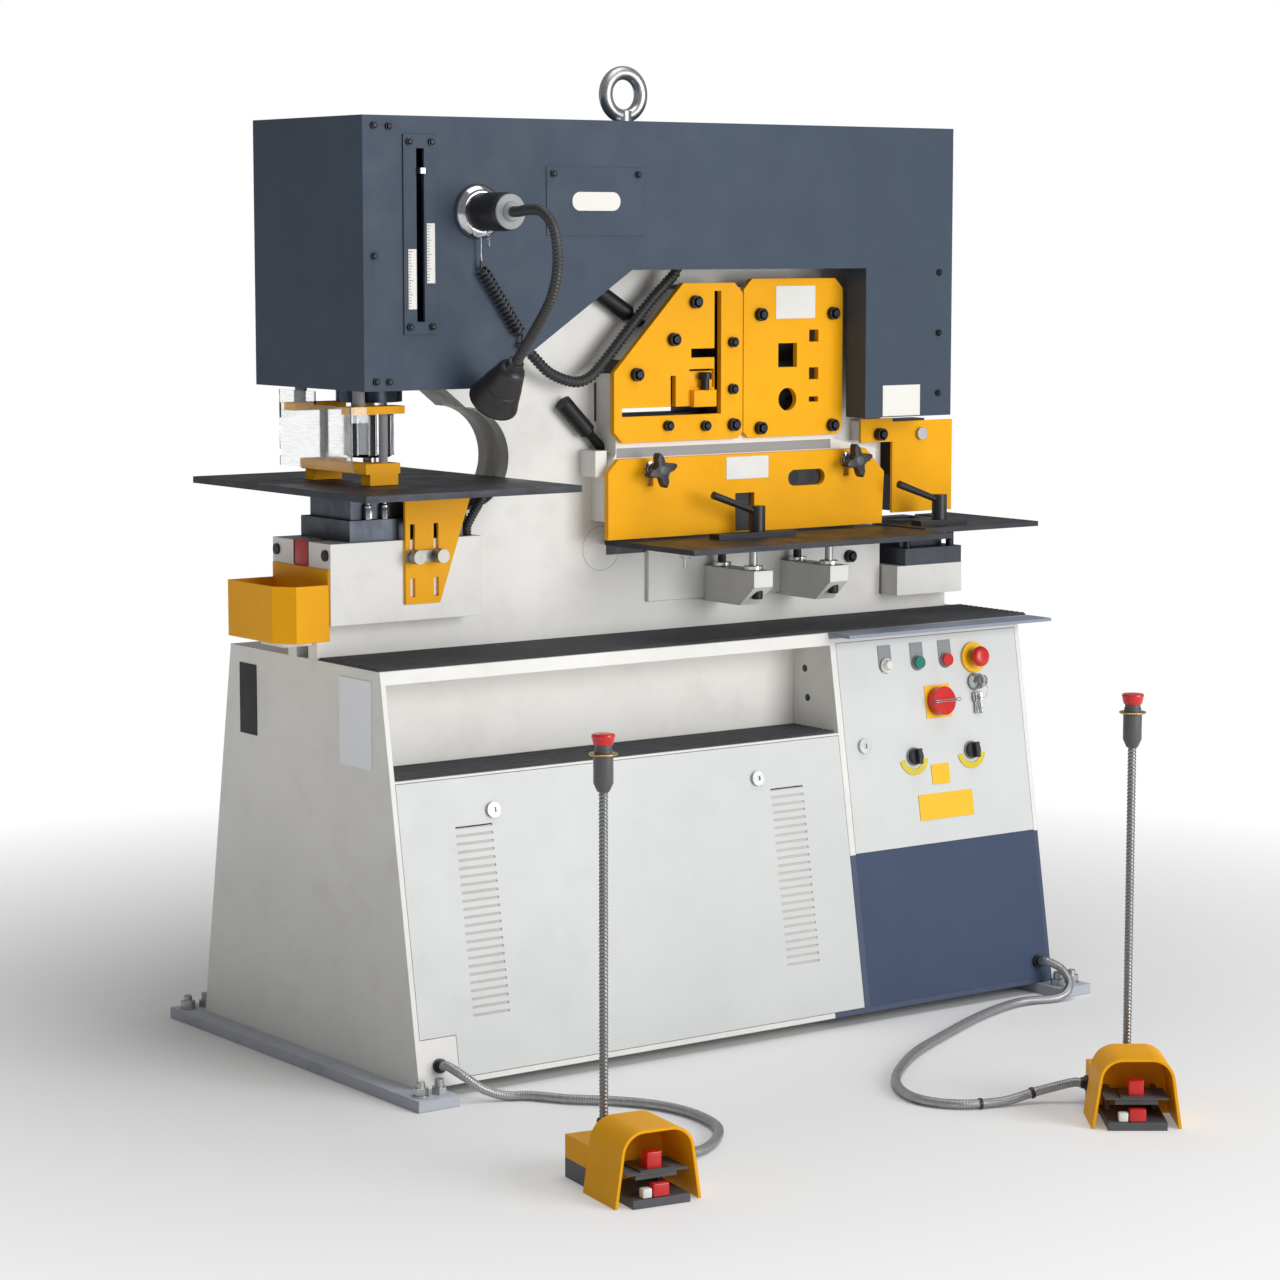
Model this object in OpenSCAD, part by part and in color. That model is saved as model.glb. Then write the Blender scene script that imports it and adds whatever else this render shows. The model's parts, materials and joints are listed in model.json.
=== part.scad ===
// Hydraulic ironworker with punch, angle, bar, flat and notch stations.
// Floor is z = 0, the operator stands on the -Y side, stations run along X.

/* [Base] */
// Length of the base along the stations
base_len = 1490; // [1400:10:1600]
// Depth of the base at the skids
base_bottom_d = 762; // [700:2:840]
// Depth of the base at the deck
base_top_d = 524; // [500:2:600]
// Height of the base from the skids to the deck
base_h = 719; // [690:1:760]
// Sheet thickness of the base
sheet_t = 4; // [3:0.5:6]
// Width of the sheet border around the front openings
edge_w = 10; // [8:1:14]
// Width of a skid
skid_w = 83; // [80:1:100]
// How far a skid reaches past the base at each end
skid_over = 64; // [49:1:99]
// Thickness of a skid
skid_t = 20; // [16:1:24]
// Anchor hole in a skid
anchor_d = 18; // [14:1:22]
// Offset of the skid holes from the base end
hole_offset = 19; // [16:1:22]
// Distance of the skid holes from the skid end
hole_margin = 30; // [25:1:40]
// Thread of the levelling screws
level_d = 16; // [12:1:20]
// Length of a levelling screw
level_len = 46; // [40:1:60]
// Cabinet wall measured from the left end
wall_at = 1010; // [980:5:1040]
// Height of the recess ledge above the skids
ledge_h = 529; // [500:1:560]
// Height of the deck lip above the recess
lip_h = 24; // [18:1:30]
// Distance of the recess back from the middle plane
recess_d = 156; // [140:1:180]
// Front overhang of the cabinet lid
lid_front = 63; // [50:1:75]
// End overhang of the cabinet lid
lid_side = 35; // [25:1:45]
// Thickness of the cabinet lid
lid_t = 6; // [4:0.5:8]
// Thickness of the ribbed mats
mat_t = 5; // [4:0.5:8]
// Height of a mat rib
rib_h = 2; // [1:0.5:3]
// Spacing of the mat ribs
rib_pitch = 15; // [12:1:20]

/* [Front covers] */
// Gap around a cover
cover_gap = 0.8; // [0.5:0.1:1]
// Height of the cabinet door's lower edge along the front
door_low = 303; // [280:1:330]
// Height of the cabinet door's upper edge along the front
door_high = 707; // [690:1:708]
// Side of the corner that keeps the cord gland
tab_w = 75; // [65:1:90]
// Width of a louvre slot
louvre_w = 77; // [60:1:90]
// Height of a louvre slot
louvre_slot = 4; // [3:0.5:6]
// Height of the lowest louvre along the front
louvre_low = 112; // [100:1:130]
// Height of the highest louvre along the front
louvre_high = 442; // [420:1:460]
// Left edge of the left louvres from the left end
louvre_left_at = 125; // [110:1:140]
// Left edge of the right louvres from the left end
louvre_right_at = 830; // [815:1:845]
// Left cover lock from the left end
lock_left_at = 206; // [203:1:220]
// Right cover lock from the left end
lock_right_at = 800; // [780:1:820]
// Height of the cover locks along the front
lock_up = 469; // [460:1:480]
// Diameter of a lock head
lock_d = 28; // [24:1:32]

/* [Cabinet controls] */
// Height of the button row along the front
row_up = 656; // [650:1:660]
// Pilot lamp from the left end
pilot_at = 1138; // [1130:1:1150]
// Start button from the left end
start_at = 1219; // [1210:1:1230]
// Stop button from the left end
stop_at = 1291; // [1280:1:1300]
// Emergency stop from the left end
panel_estop_at = 1362; // [1355:1:1370]
// Diameter of a push button
button_d = 24; // [20:1:28]
// Travel of a push button
button_travel = 4; // [3:0.5:5]
// Diameter of the emergency stop collar
estop_collar_d = 60; // [54:1:66]
// Diameter of the panel emergency stop
panel_estop_d = 40; // [36:1:44]
// Main switch from the left end
switch_at = 1262; // [1250:1:1275]
// Height of the main switch along the front
switch_up = 577; // [570:1:585]
// Side of the main switch plate
switch_plate_w = 64; // [58:1:70]
// Key switch from the left end
key_at = 1360; // [1350:1:1375]
// Height of the key switch along the front
key_up = 608; // [585:1:609]
// Diameter of the key switch
key_d = 34; // [30:1:36]
// Height of the selectors along the front
selector_up = 475; // [465:1:485]
// Left selector from the left end
selector_left_at = 1187; // [1180:1:1195]
// Right selector from the left end
selector_right_at = 1335; // [1325:1:1345]
// Diameter of a selector knob
selector_d = 30; // [26:1:34]
// Door lock from the left end
door_lock_at = 1065; // [1060:1:1075]
// Height of the door lock along the front
door_lock_up = 506; // [500:1:515]
// Width of a blank legend plate
legend_w = 32; // [28:1:34]
// Height of a blank legend plate
legend_h = 56; // [50:1:60]
// Thickness of the panel plates
legend_t = 1.5; // [1:0.5:2]
// Width of the blank plate low on the door
notice_w = 138; // [120:1:150]
// Height of the blank plate low on the door
notice_h = 50; // [44:1:56]

/* [Frame and head] */
// Thickness of a frame plate
plate_t = 30; // [25:1:35]
// Clear gap between the frame plates
plate_gap = 41; // [38:1:44]
// Height of the punch arm above the deck
arm_rise = 159; // [150:1:170]
// Throat from the left end
throat_at = 320; // [310:1:330]
// Height of the throat middle above the deck
throat_rise = 348; // [340:1:352]
// Radius of the throat
throat_r = 94; // [90:1:95]
// End face of the upper arm from the left end
nose_at = 232; // [228:1:240]
// Lower edge of the upper arm above the deck
nose_rise = 511; // [505:1:520]
// Top of the frame above the shear part of the frame
frame_step = 122; // [111:1:141]
// Step in the frame top from the left end
step_at = 790; // [770:5:820]
// Top of the shear part of the frame above the deck
beam_rise = 739; // [730:1:745]
// Right end of the frame from the left end
frame_right_at = 1310; // [1300:1:1312]
// Right end of the frame foot from the left end
foot_at = 1484; // [1470:1:1488]
// Height of the frame foot above the deck
foot_rise = 38; // [34:1:42]
// Sheet thickness of the head
head_t = 3; // [2:0.5:4]
// Depth of the head
head_d = 378; // [360:2:400]
// Depth of the rear cover of the head
rear_d = 42; // [36:1:50]
// Left end of the head from the left end of the base
head_left_at = 20; // [15:1:25]
// Right end of the head from the left end
head_right_at = 1373; // [1360:1:1390]
// Low left edge of the head above the deck
head_low_rise = 483; // [480:1:490]
// End of the low edge from the left end
head_low_at = 277; // [270:1:310]
// Middle lower edge of the head above the deck
head_mid_rise = 691; // [688:1:700]
// Start of the middle edge from the left end
head_mid_at = 596; // [560:1:600]
// Inner wall of the head from the left end
head_wall_at = 1154; // [1152:1:1165]
// Right lower edge of the head above the deck
head_right_rise = 402; // [396:1:410]
// Top of the head above the highest piece under it
head_over = 40; // [30:1:60]
// Half width of the opening under the head
head_open = 130; // [127:1:135]
// Lifting eye from the left end
eye_at = 712; // [700:1:725]
// Outer diameter of the lifting eye
eye_d = 107; // [100:1:115]
// Bar diameter of the lifting eye
eye_bar_d = 26; // [22:1:30]

/* [Punch station] */
// Punch axis from the left end
punch_at = 145; // [140:1:150]
// Diameter of the punch holder
holder_d = 86; // [80:1:88]
// Height of the punch holder
holder_h = 80; // [74:1:84]
// Diameter of the ram nose
nose_d = 120; // [110:1:124]
// Diameter of the ram
ram_d = 100; // [90:1:104]
// Lower face of the ram nose above the table
nose_up = 145; // [140:1:150]
// Travel of the ram below its shown place
ram_down = 35; // [30:1:36]
// Travel of the ram above its shown place
ram_up = 28; // [25:1:29]
// Diameter of the punch
punch_d = 24; // [18:1:30]
// Free length of the punch under its holder
punch_len = 30; // [26:1:31]
// Side of the punch cylinder
cylinder_w = 150; // [140:2:152]
// Height of the punch cylinder
cylinder_h = 310; // [290:5:320]
// Length of the bolster
bolster_len = 320; // [316:1:322]
// Half width of the bolster
bolster_half = 101; // [95:1:105]
// Thickness of the bolster
bolster_h = 52; // [48:1:56]
// Depth of the bolster cheeks
cheek_h = 94; // [88:1:100]
// Width of the slug chute
chute_w = 46; // [40:1:48]
// Height of the lower die tier
die_low_h = 38; // [34:1:42]
// Height of the upper die tier
die_up_h = 50; // [46:1:54]
// Diameter of the die
die_d = 60; // [54:1:64]
// Punch table length
table_len = 450; // [430:1:452]
// Left end of the punch table before the base end
table_over = 50; // [45:1:60]
// Punch table depth
table_d = 612; // [590:2:640]
// Punch table thickness
table_t = 12; // [10:1:14]
// Left edge of the table bracket from the left end
bracket_at = 153; // [148:1:158]
// Upper width of the table bracket
bracket_w = 145; // [135:1:150]
// Lower width of the table bracket
bracket_low_w = 73; // [65:1:80]
// Height of the table bracket
bracket_h = 204; // [196:1:210]
// Thickness of the table bracket
bracket_t = 6; // [5:0.5:8]
// Half spacing of the stripper legs
strip_half = 100; // [98:1:102]
// Width of a stripper arm
strip_arm_w = 38; // [34:1:41]
// Thickness of the stripper arms
strip_t = 14; // [12:1:16]
// Height of the stripper arms above the table
strip_up = 128; // [124:1:132]
// Lower face of the stripper foot above the table
strip_clear = 1; // [0.5:0.1:2]
// Height of the stripper foot
foot_h = 39; // [36:1:41]
// Sheet thickness of the clear guard
guard_t = 4; // [3:0.5:5]
// Left face of the clear guard from the left end
guard_at = 30; // [28:1:36]
// Length of the lugs of the clear guard along the stripper
guard_len = 36; // [30:1:44]
// Height of the clear guard
guard_h = 138; // [130:1:142]
// Lower edge of the clear guard above the table
guard_up = 28; // [24:1:32]
// Length of the slug bin
bin_len = 96; // [90:1:110]
// Width of the slug bin
bin_w = 194; // [180:1:200]
// Height of the slug bin
bin_h = 101; // [95:1:110]
// Height of the slug bin's back plate
bin_back_h = 128; // [120:1:134]
// Sheet thickness of the slug bin
bin_t = 3; // [2:0.5:4]

/* [Shear stations] */
// Depth of the front block on the frame
block_d = 62; // [58:1:66]
// Thickness of the yellow plates
yellow_t = 12; // [10:1:14]
// Lower edge of the shear plates above the deck
plate_rise = 369; // [365:1:372]
// Left edge of the angle plate from the left end
angle_at = 601; // [595:1:610]
// Width of the angle plate
angle_w = 304; // [296:1:310]
// Height of the angle plate
angle_h = 296; // [285:1:300]
// Width of the bar plate
bar_w = 244; // [236:1:246]
// Height of the bar plate
bar_h = 303; // [290:1:306]
// Leg of the angle aperture
angle_leg = 232; // [220:1:236]
// Width of the angle aperture
angle_slot = 16; // [13:1:20]
// Side of the square bar hole
square_hole = 46; // [40:1:50]
// Diameter of the round bar hole
round_hole = 44; // [38:1:48]
// Lower edge of the flat guard above the deck
flat_guard_rise = 189; // [187:1:192]
// Height of the flat guard
flat_guard_h = 150; // [145:1:154]
// Left edge of the flat guard from the left end
flat_guard_at = 587; // [580:1:594]
// Length of the flat guard
flat_guard_len = 670; // [655:1:680]
// Travel of the flat guard
flat_guard_travel = 25; // [20:1:28]
// Lower edge of the front block above the deck
block_rise = 221; // [215:1:230]
// Left wing knob from the left end
wing_left_at = 684; // [675:1:695]
// Right wing knob from the left end
wing_right_at = 1160; // [1150:1:1170]
// Height of the wing knobs above the deck
wing_rise = 318; // [312:1:322]
// Thread of the wing knobs
wing_bolt_d = 12; // [10:1:14]
// Span of a wing knob
wing_span = 70; // [60:1:80]
// Downward stroke of the shear slide
shear_stroke = 45; // [35:1:48]
// Clearance of the shear slide in the frame gap
slide_clear = 1; // [0.5:0.1:1.5]
// Diameter of the shear cylinder rod
rod_d = 36; // [32:1:38]
// Flat table height above the deck
flat_rise = 184; // [180:1:186]
// Thickness of the side tables
side_t = 10; // [8:1:12]
// Left edge of the flat table from the left end
flat_at = 625; // [615:1:632]
// Length of the flat table
flat_len = 625; // [610:1:640]
// Front edge of the side tables from the middle plane
flat_front = 340; // [320:1:350]
// Left edge of the notch table from the left end
notch_at = 1275; // [1270:1:1280]
// Length of the notch table
notch_len = 300; // [285:1:310]
// Front edge of the notch table from the middle plane
notch_front = 229; // [220:1:240]
// Width of a table arm
arm_w = 45; // [40:1:50]
// Left table arm from the left end
arm_at = 862; // [850:1:870]
// Spacing of the table arms
arm_pitch = 186; // [176:1:196]
// Reach of the table arms from the middle plane
arm_reach = 215; // [205:1:225]
// Width of the notch punch
notch_w = 84; // [76:1:90]
// Thread of the hold-down screws
hold_d = 18; // [16:1:20]
// Diameter of a hold-down grip
grip_d = 32; // [28:1:34]
// Length of a hold-down grip
grip_len = 88; // [80:1:96]
// Distance of the hold-down axes from the middle plane
hold_out = 68; // [67:1:70]
// Travel of a hold-down screw
hold_travel = 18; // [12:1:20]

/* [Foot controls] */
// Width of a pedal hood
hood_w = 152; // [144:1:160]
// Height of a pedal hood
hood_h = 120; // [112:1:128]
// Depth of a pedal hood
hood_d = 110; // [104:1:116]
// Overall depth of a pedal
pedal_d = 205; // [198:1:212]
// Sheet thickness of a hood
hood_t = 5; // [4:0.5:6]
// Height of the rear box of a hood
rear_h = 70; // [64:1:76]
// Thickness of a pedal sole
sole_t = 14; // [12:1:16]
// Width of a treadle
treadle_w = 72; // [66:1:76]
// Thickness of a treadle
treadle_t = 9; // [8:1:11]
// Press angle of a treadle
treadle_swing = 8; // [5:1:10]
// Diameter of a post
post_d = 15; // [13:1:18]
// Top of a post above the floor
post_top = 624; // [600:1:650]
// Diameter of a post head
post_head_d = 32; // [30:1:36]
// Height of a post head
post_head_h = 68; // [58:1:72]
// Diameter of a post's stop button
post_estop_d = 38; // [34:1:42]
// Diameter of a pedal cord
cord_d = 17; // [14:1:20]
// Diameter of a cord gland
gland_d = 26; // [24:1:30]
// Length of a cord gland
gland_len = 12; // [10:1:16]

/* [Lamp] */
// Lamp from the left end
lamp_at = 257; // [252:1:262]
// Height of the lamp mount above the deck
lamp_rise = 795; // [785:1:805]
// Diameter of the lamp ring
lamp_ring_d = 98; // [92:1:104]
// Thickness of the lamp ring
lamp_ring_t = 18; // [14:1:22]
// Diameter of the lamp body
lamp_body_d = 68; // [62:1:72]
// Length of the lamp body
lamp_body_len = 96; // [88:1:104]
// Diameter of the gooseneck
neck_d = 18; // [16:1:20]
// Length of the lamp head
lamp_head_len = 105; // [96:1:112]
// Diameter of the lamp head's mouth
lamp_mouth_d = 104; // [96:1:110]
// Diameter of the lamp head's cap
lamp_cap_d = 46; // [40:1:50]
// Wire of the curly cord
curl_wire_d = 5; // [4:0.5:6]
// Diameter of the curls over the middle of the wire
curl_d = 15; // [13:1:17]
// Diameter of the corrugated conduit
conduit_d = 21; // [18:1:22]
// Diameter of the short hose under the table
hose_d = 18; // [16:1:20]

/* [Hidden] */
$fn = 48;

// Overrun of every cut
cut = 2;
// Radial clearance of a turning or sliding fit
fit = 0.08;
// Clearance between a mover and a fixed face
slack = 0.3;

// Heights
deck_z = skid_t + base_h;
table_z = deck_z + arm_rise + bolster_h + die_low_h + die_up_h + table_t;
flat_z = deck_z + flat_rise;
arm_z = deck_z + arm_rise;
bolster_z = arm_z + bolster_h;

// Front slope of the base
tilt = atan((base_bottom_d - base_top_d) / 2 / base_h);

// Depths
frame_half = plate_gap / 2 + plate_t;
block_y = frame_half + block_d;
yellow_y = block_y + yellow_t;
head_front = head_d / 2;
frame_top_rise = beam_rise + frame_step;
shear_cyl_h = 182;
head_top_rise = max(frame_top_rise, beam_rise + shear_cyl_h) + head_over;
skid_len = base_bottom_d + 2 * skid_over;

function at(d) = d - base_len / 2;
function up(h) = deck_z + h;
function unit(v) = v / norm(v);
function share(a, b, s) = a + (b - a) * s;

// Point on the sloped front: distance from the left end, height along the slope, distance outward
function front_point(x, u, o) = [at(x), -base_bottom_d / 2 + u * sin(tilt) - o * cos(tilt),
    skid_t + u * cos(tilt) + o * sin(tilt)];

// Outline moved inward by t, points given counter-clockwise
function cross2(a, b) = a[0] * b[1] - a[1] * b[0];
function inward(a, b) = let (d = unit(b - a)) [-d[1], d[0]];
function meet(p, d, q, e) = p + d * cross2(q - p, e) / cross2(d, e);
function inset(o, t) = [for (i = [0 : len(o) - 1])
    let (a = o[(i + len(o) - 1) % len(o)], b = o[i], c = o[(i + 1) % len(o)])
    meet(b + inward(a, b) * t, b - a, b + inward(b, c) * t, c - b)];

module block(x0, x1, y0, y1, z0, z1)
    translate([x0, y0, z0])
        cube([x1 - x0, y1 - y0, z1 - z0]);

// Outline in Y and Z drawn out along X
module prism_x(outline, x0, x1)
    translate([x0, 0, 0])
        rotate([90, 0, 90])
            linear_extrude(x1 - x0)
                polygon(outline);

// Outline in X and Z drawn out along Y
module prism_y(outline, y0, y1)
    translate([0, y1, 0])
        rotate([90, 0, 0])
            linear_extrude(y1 - y0)
                polygon(outline);

// Cylinder along Y from y0 to y1
module rod_y(x, z, d, y0, y1)
    translate([x, y1, z])
        rotate([90, 0, 0])
            cylinder(h = y1 - y0, d = d);

// Cylinder along X from x0 to x1
module rod_x(y, z, d, x0, x1)
    translate([x0, y, z])
        rotate([0, 90, 0])
            cylinder(h = x1 - x0, d = d);

module on_front()
    translate([0, -base_bottom_d / 2, skid_t])
        rotate([90 - tilt, 0, 0])
            children();

// Moves to a place on the sloped front with z pointing outward
module at_front(x, u)
    on_front()
        translate([at(x), u, 0])
            children();

// Sheet on the sloped front, its outer face flush with the front
module front_sheet(x0, x1, u0, u1, t)
    on_front()
        translate([x0, u0, -t])
            cube([x1 - x0, u1 - u0, t]);

base_outline = [[-base_bottom_d / 2, skid_t], [base_bottom_d / 2, skid_t],
    [base_top_d / 2, deck_z], [-base_top_d / 2, deck_z]];
base_left = at(0);
base_right = at(base_len);
wall_x = at(wall_at);
ledge_z = skid_t + ledge_h;
ledge_up = ledge_h / cos(tilt);

// Base

skid_sides = [-1, 1];

module skids() {
    color("DimGray")
        for (s = skid_sides)
            translate([s * base_len / 2, 0, 0])
                difference() {
                    translate([-skid_w / 2, -skid_len / 2, 0])
                        cube([skid_w, skid_len, skid_t]);
                    for (e = skid_sides) {
                        translate([s * hole_offset, e * (skid_len / 2 - hole_margin), -cut])
                            cylinder(h = skid_t + 2 * cut, d = anchor_d);
                        translate([-s * hole_offset, e * (skid_len / 2 - hole_margin), -cut])
                            cylinder(h = skid_t + 2 * cut, d = level_d + 2 * fit);
                    }
                }
}

module recess_space(grow)
    block(base_left + edge_w - grow, wall_x - sheet_t + grow, -base_bottom_d, -recess_d + grow,
        ledge_z - grow, deck_z - lip_h + grow);

module front_openings() {
    // cover opening with its fixed lower left corner
    difference() {
        front_sheet(base_left + edge_w, wall_x - sheet_t, edge_w, ledge_up - sheet_t, sheet_t + cut);
        front_sheet(base_left, base_left + edge_w + tab_w, 0, edge_w + tab_w, sheet_t + 2 * cut);
    }
    // cabinet opening
    front_sheet(wall_x + edge_w, base_right - edge_w, edge_w, door_high + cover_gap, sheet_t + cut);
}

// Through holes for the cuts above reach past the outer face
module front_openings_cut()
    for (o = [0, cut])
        translate([0, -o * cos(tilt), o * sin(tilt)])
            front_openings();

pipe_d = 16;
pipe_left_at = 470;
pipe_right_at = 512;

module base_shell() {
    color("Beige")
        difference() {
            union() {
                prism_x(base_outline, base_left, base_right);
                block(at(wall_at - sheet_t), base_right + lid_side, -base_top_d / 2 - lid_front,
                    base_top_d / 2, deck_z - lid_t, deck_z);
            }
            // main room
            difference() {
                prism_x(inset(base_outline, sheet_t), base_left + sheet_t, wall_x - sheet_t);
                recess_space(sheet_t);
            }
            // cabinet room
            prism_x(inset(base_outline, sheet_t), wall_x, base_right - sheet_t);
            recess_space(0);
            front_openings_cut();
            // pipe holes in the deck
            for (d = [pipe_left_at, pipe_right_at])
                translate([at(d), 0, deck_z - sheet_t - cut])
                    cylinder(h = sheet_t + 2 * cut, d = pipe_d + 2 * slack);
        }
}

rib_share = 0.55;

function rib_row(y0, y1, z) = let (n = floor((y1 - y0) / rib_pitch), p = (y1 - y0) / n)
    concat([[y1, z], [y1, z + mat_t - rib_h]],
        [for (i = [n - 1 : -1 : 0]) for (q = [0 : 3])
            [y0 + p * (i + (q < 2 ? 1 + rib_share : 1 - rib_share) / 2),
                z + mat_t - (q % 3 == 0 ? rib_h : 0)]],
        [[y0, z + mat_t - rib_h], [y0, z]]);

mat_margin = 6;

module rib_mats() {
    color("DarkSlateGray") {
        prism_x(rib_row(-base_top_d / 2 + mat_margin, -frame_half - mat_margin, deck_z), base_left,
            base_right + lid_side - mat_margin);
        prism_x(rib_row(-base_bottom_d / 2 + ledge_h * tan(tilt) + mat_margin, -recess_d - mat_margin,
            ledge_z),
            base_left + edge_w + mat_margin, wall_x - sheet_t - mat_margin);
    }
}

module cabinet_lower_panel() {
    color("SlateGray")
        difference() {
            front_sheet(wall_x + edge_w, base_right - edge_w, edge_w, door_low - cover_gap, sheet_t);
            at_front(gland_right_at, gland_right_up)
                translate([0, 0, -sheet_t - cut])
                    cylinder(h = sheet_t + 2 * cut, d = cord_d);
        }
}

// Cord glands on the base and on the pedals
gland_left_at = 45;
gland_left_up = 37;
gland_right_at = 1455;
gland_right_up = 43;
// Place of the gland along the pedal and its height
pedal_gland_y = 175;
pedal_gland_z = 35;
// Mains inlet on the right end of the base
inlet_d = 32;
inlet_bore_d = 20;
inlet_up_share = 0.2;
inlet_len = 34;

module gland() {
    cylinder(h = gland_len / 2, d = gland_d, $fn = 6 * 4);
    cylinder(h = gland_len, d = gland_d - gland_len / 2);
}

module cable_glands() {
    color("Gray") {
        at_front(gland_left_at, gland_left_up)
            gland();
        at_front(gland_right_at, gland_right_up)
            gland();
        for (i = [0, 1])
            at_pedal(i)
                translate([pedal_side_x(i), pedal_gland_y, pedal_gland_z])
                    rotate([0, i == 0 ? 90 : -90, 0])
                        gland();
        difference() {
            rod_x(0, share(skid_t, deck_z, inlet_up_share), inlet_d, base_right, base_right + inlet_len);
            rod_x(0, share(skid_t, deck_z, inlet_up_share), inlet_bore_d, base_right + sheet_t,
                base_right + inlet_len + cut);
        }
    }
}

louvre_n = 24;

module front_cover() {
    color("Beige")
        difference() {
            front_sheet(base_left + edge_w + cover_gap, wall_x - sheet_t - cover_gap, edge_w + cover_gap,
                ledge_up - sheet_t - cover_gap, sheet_t);
            front_sheet(base_left, base_left + edge_w + tab_w + cover_gap, 0, edge_w + tab_w + cover_gap,
                sheet_t + cut);
            at_front(0, 0)
                cube([edge_w + tab_w + cover_gap, edge_w + tab_w + cover_gap, cut]);
            for (d = [louvre_left_at, louvre_right_at])
                for (k = [0 : louvre_n - 1])
                    at_front(d, share(louvre_low, louvre_high, k / (louvre_n - 1)))
                        translate([0, 0, -sheet_t - cut])
                            cube([louvre_w, louvre_slot, sheet_t + 2 * cut]);
            for (d = [lock_left_at, lock_right_at])
                at_front(d, lock_up)
                    translate([0, 0, -sheet_t - cut])
                        cylinder(h = sheet_t + 2 * cut, d = lock_shaft_d + 2 * fit);
        }
}

// Quarter-turn lock: head, shaft and tongue behind the sheet
lock_shaft_d = 18;
lock_head_t = 6;
lock_key_share = 0.3;
tongue_w = 16;
tongue_len = 40;
door_tongue_len = 62;
tongue_t = 4;

module quarter_lock(reach) {
    difference() {
        translate([0, 0, slack])
            cylinder(h = lock_head_t, d = lock_d);
        translate([-lock_d * lock_key_share / 2, -lock_d * lock_key_share / 2, slack + lock_head_t / 2])
            cube([lock_d * lock_key_share, lock_d * lock_key_share, lock_head_t]);
    }
    translate([0, 0, -sheet_t - slack - tongue_t])
        cylinder(h = sheet_t + 2 * slack + tongue_t, d = lock_shaft_d);
    translate([-tongue_w / 2, -tongue_w / 2, -sheet_t - slack - tongue_t])
        cube([tongue_w, reach, tongue_t]);
}

module cover_lock_left()
    color("Silver")
        at_front(lock_left_at, lock_up)
            quarter_lock(tongue_len);

module cover_lock_right()
    color("Silver")
        at_front(lock_right_at, lock_up)
            quarter_lock(tongue_len);

module door_lock()
    color("Silver")
        at_front(door_lock_at, door_lock_up)
            rotate([0, 0, 90])
                quarter_lock(door_tongue_len);

// Shafts of the controls behind the door
shaft_d = 14;
shaft_len = 20;
control_places = [[start_at, row_up], [stop_at, row_up], [panel_estop_at, row_up], [switch_at, switch_up],
    [key_at, key_up], [selector_left_at, selector_up], [selector_right_at, selector_up]];

module cabinet_door() {
    color("Beige")
        difference() {
            front_sheet(wall_x + edge_w + cover_gap, base_right - edge_w - cover_gap, door_low,
                door_high, sheet_t);
            for (p = control_places)
                at_front(p[0], p[1])
                    translate([0, 0, -sheet_t - cut])
                        cylinder(h = sheet_t + 2 * cut, d = shaft_d + 2 * fit);
            at_front(door_lock_at, door_lock_up)
                translate([0, 0, -sheet_t - cut])
                    cylinder(h = sheet_t + 2 * cut, d = lock_shaft_d + 2 * fit);
        }
}

collar_t = 6;
legend_drop_share = 0.2;
selector_ring_share = 1.2;
arc_in_share = 1.67;
arc_out_share = 2.27;
pilot_h = 9;
square_plate_at = 1251;
square_plate_w = 45;
square_plate_h = 39;
square_plate_up = 436;
notice_at = 1258;
notice_up = 374;

module hole(d)
    translate([0, 0, -cut])
        cylinder(h = collar_t * 3, d = d + 2 * fit);

module legend(d)
    difference() {
        union() {
            translate([-legend_w / 2, 0, 0])
                cube([legend_w, legend_h / 2 + legend_h * legend_drop_share, legend_t]);
            cylinder(h = legend_t, d = legend_w);
            cylinder(h = collar_t, d = button_d + 2 * legend_t + 2 * slack);
        }
        if (d > 0)
            hole(d);
    }

module panel_bezels() {
    color("Gray") {
        at_front(pilot_at, row_up) {
            legend(0);
            translate([0, 0, collar_t])
                cylinder(h = pilot_h, d1 = button_d, d2 = button_d - pilot_h);
        }
        for (d = [start_at, stop_at])
            at_front(d, row_up)
                difference() {
                    legend(shaft_d);
                    translate([0, 0, legend_t])
                        cylinder(h = collar_t + cut, d = button_d + 2 * slack);
                }
        at_front(panel_estop_at, row_up)
            difference() {
                cylinder(h = collar_t, d = estop_collar_d);
                hole(shaft_d);
            }
        at_front(key_at, key_up)
            difference() {
                cylinder(h = legend_t, d = key_d);
                hole(shaft_d);
            }
        at_front(switch_at, switch_up)
            difference() {
                translate([-switch_plate_w / 2, -switch_plate_w / 2, 0])
                    cube([switch_plate_w, switch_plate_w, legend_t]);
                hole(shaft_d);
            }
        for (d = [selector_left_at, selector_right_at])
            at_front(d, selector_up) {
                difference() {
                    cylinder(h = legend_t * 2, d = selector_d * selector_ring_share);
                    hole(shaft_d);
                }
                difference() {
                    cylinder(h = legend_t, d = selector_d * arc_out_share);
                    hole(selector_d * arc_in_share);
                    translate([-selector_d * arc_out_share, -selector_d * arc_in_share / 5, -cut])
                        cube([2 * selector_d * arc_out_share, selector_d * arc_out_share, collar_t]);
                }
            }
        at_front(square_plate_at, square_plate_up)
            translate([-square_plate_w / 2, -square_plate_h / 2, 0])
                cube([square_plate_w, square_plate_h, legend_t]);
        at_front(notice_at, notice_up)
            translate([-notice_w / 2, -notice_h / 2, 0])
                cube([notice_w, notice_h, legend_t]);
    }
}

module control_shaft(from)
    translate([0, 0, -sheet_t - shaft_len])
        cylinder(h = sheet_t + shaft_len + from, d = shaft_d);

switch_knob_d = 56;
switch_knob_t = 24;
switch_dome_share = 0.85;
switch_bar_share = 0.1;
switch_grip_share = 0.3;

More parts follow.
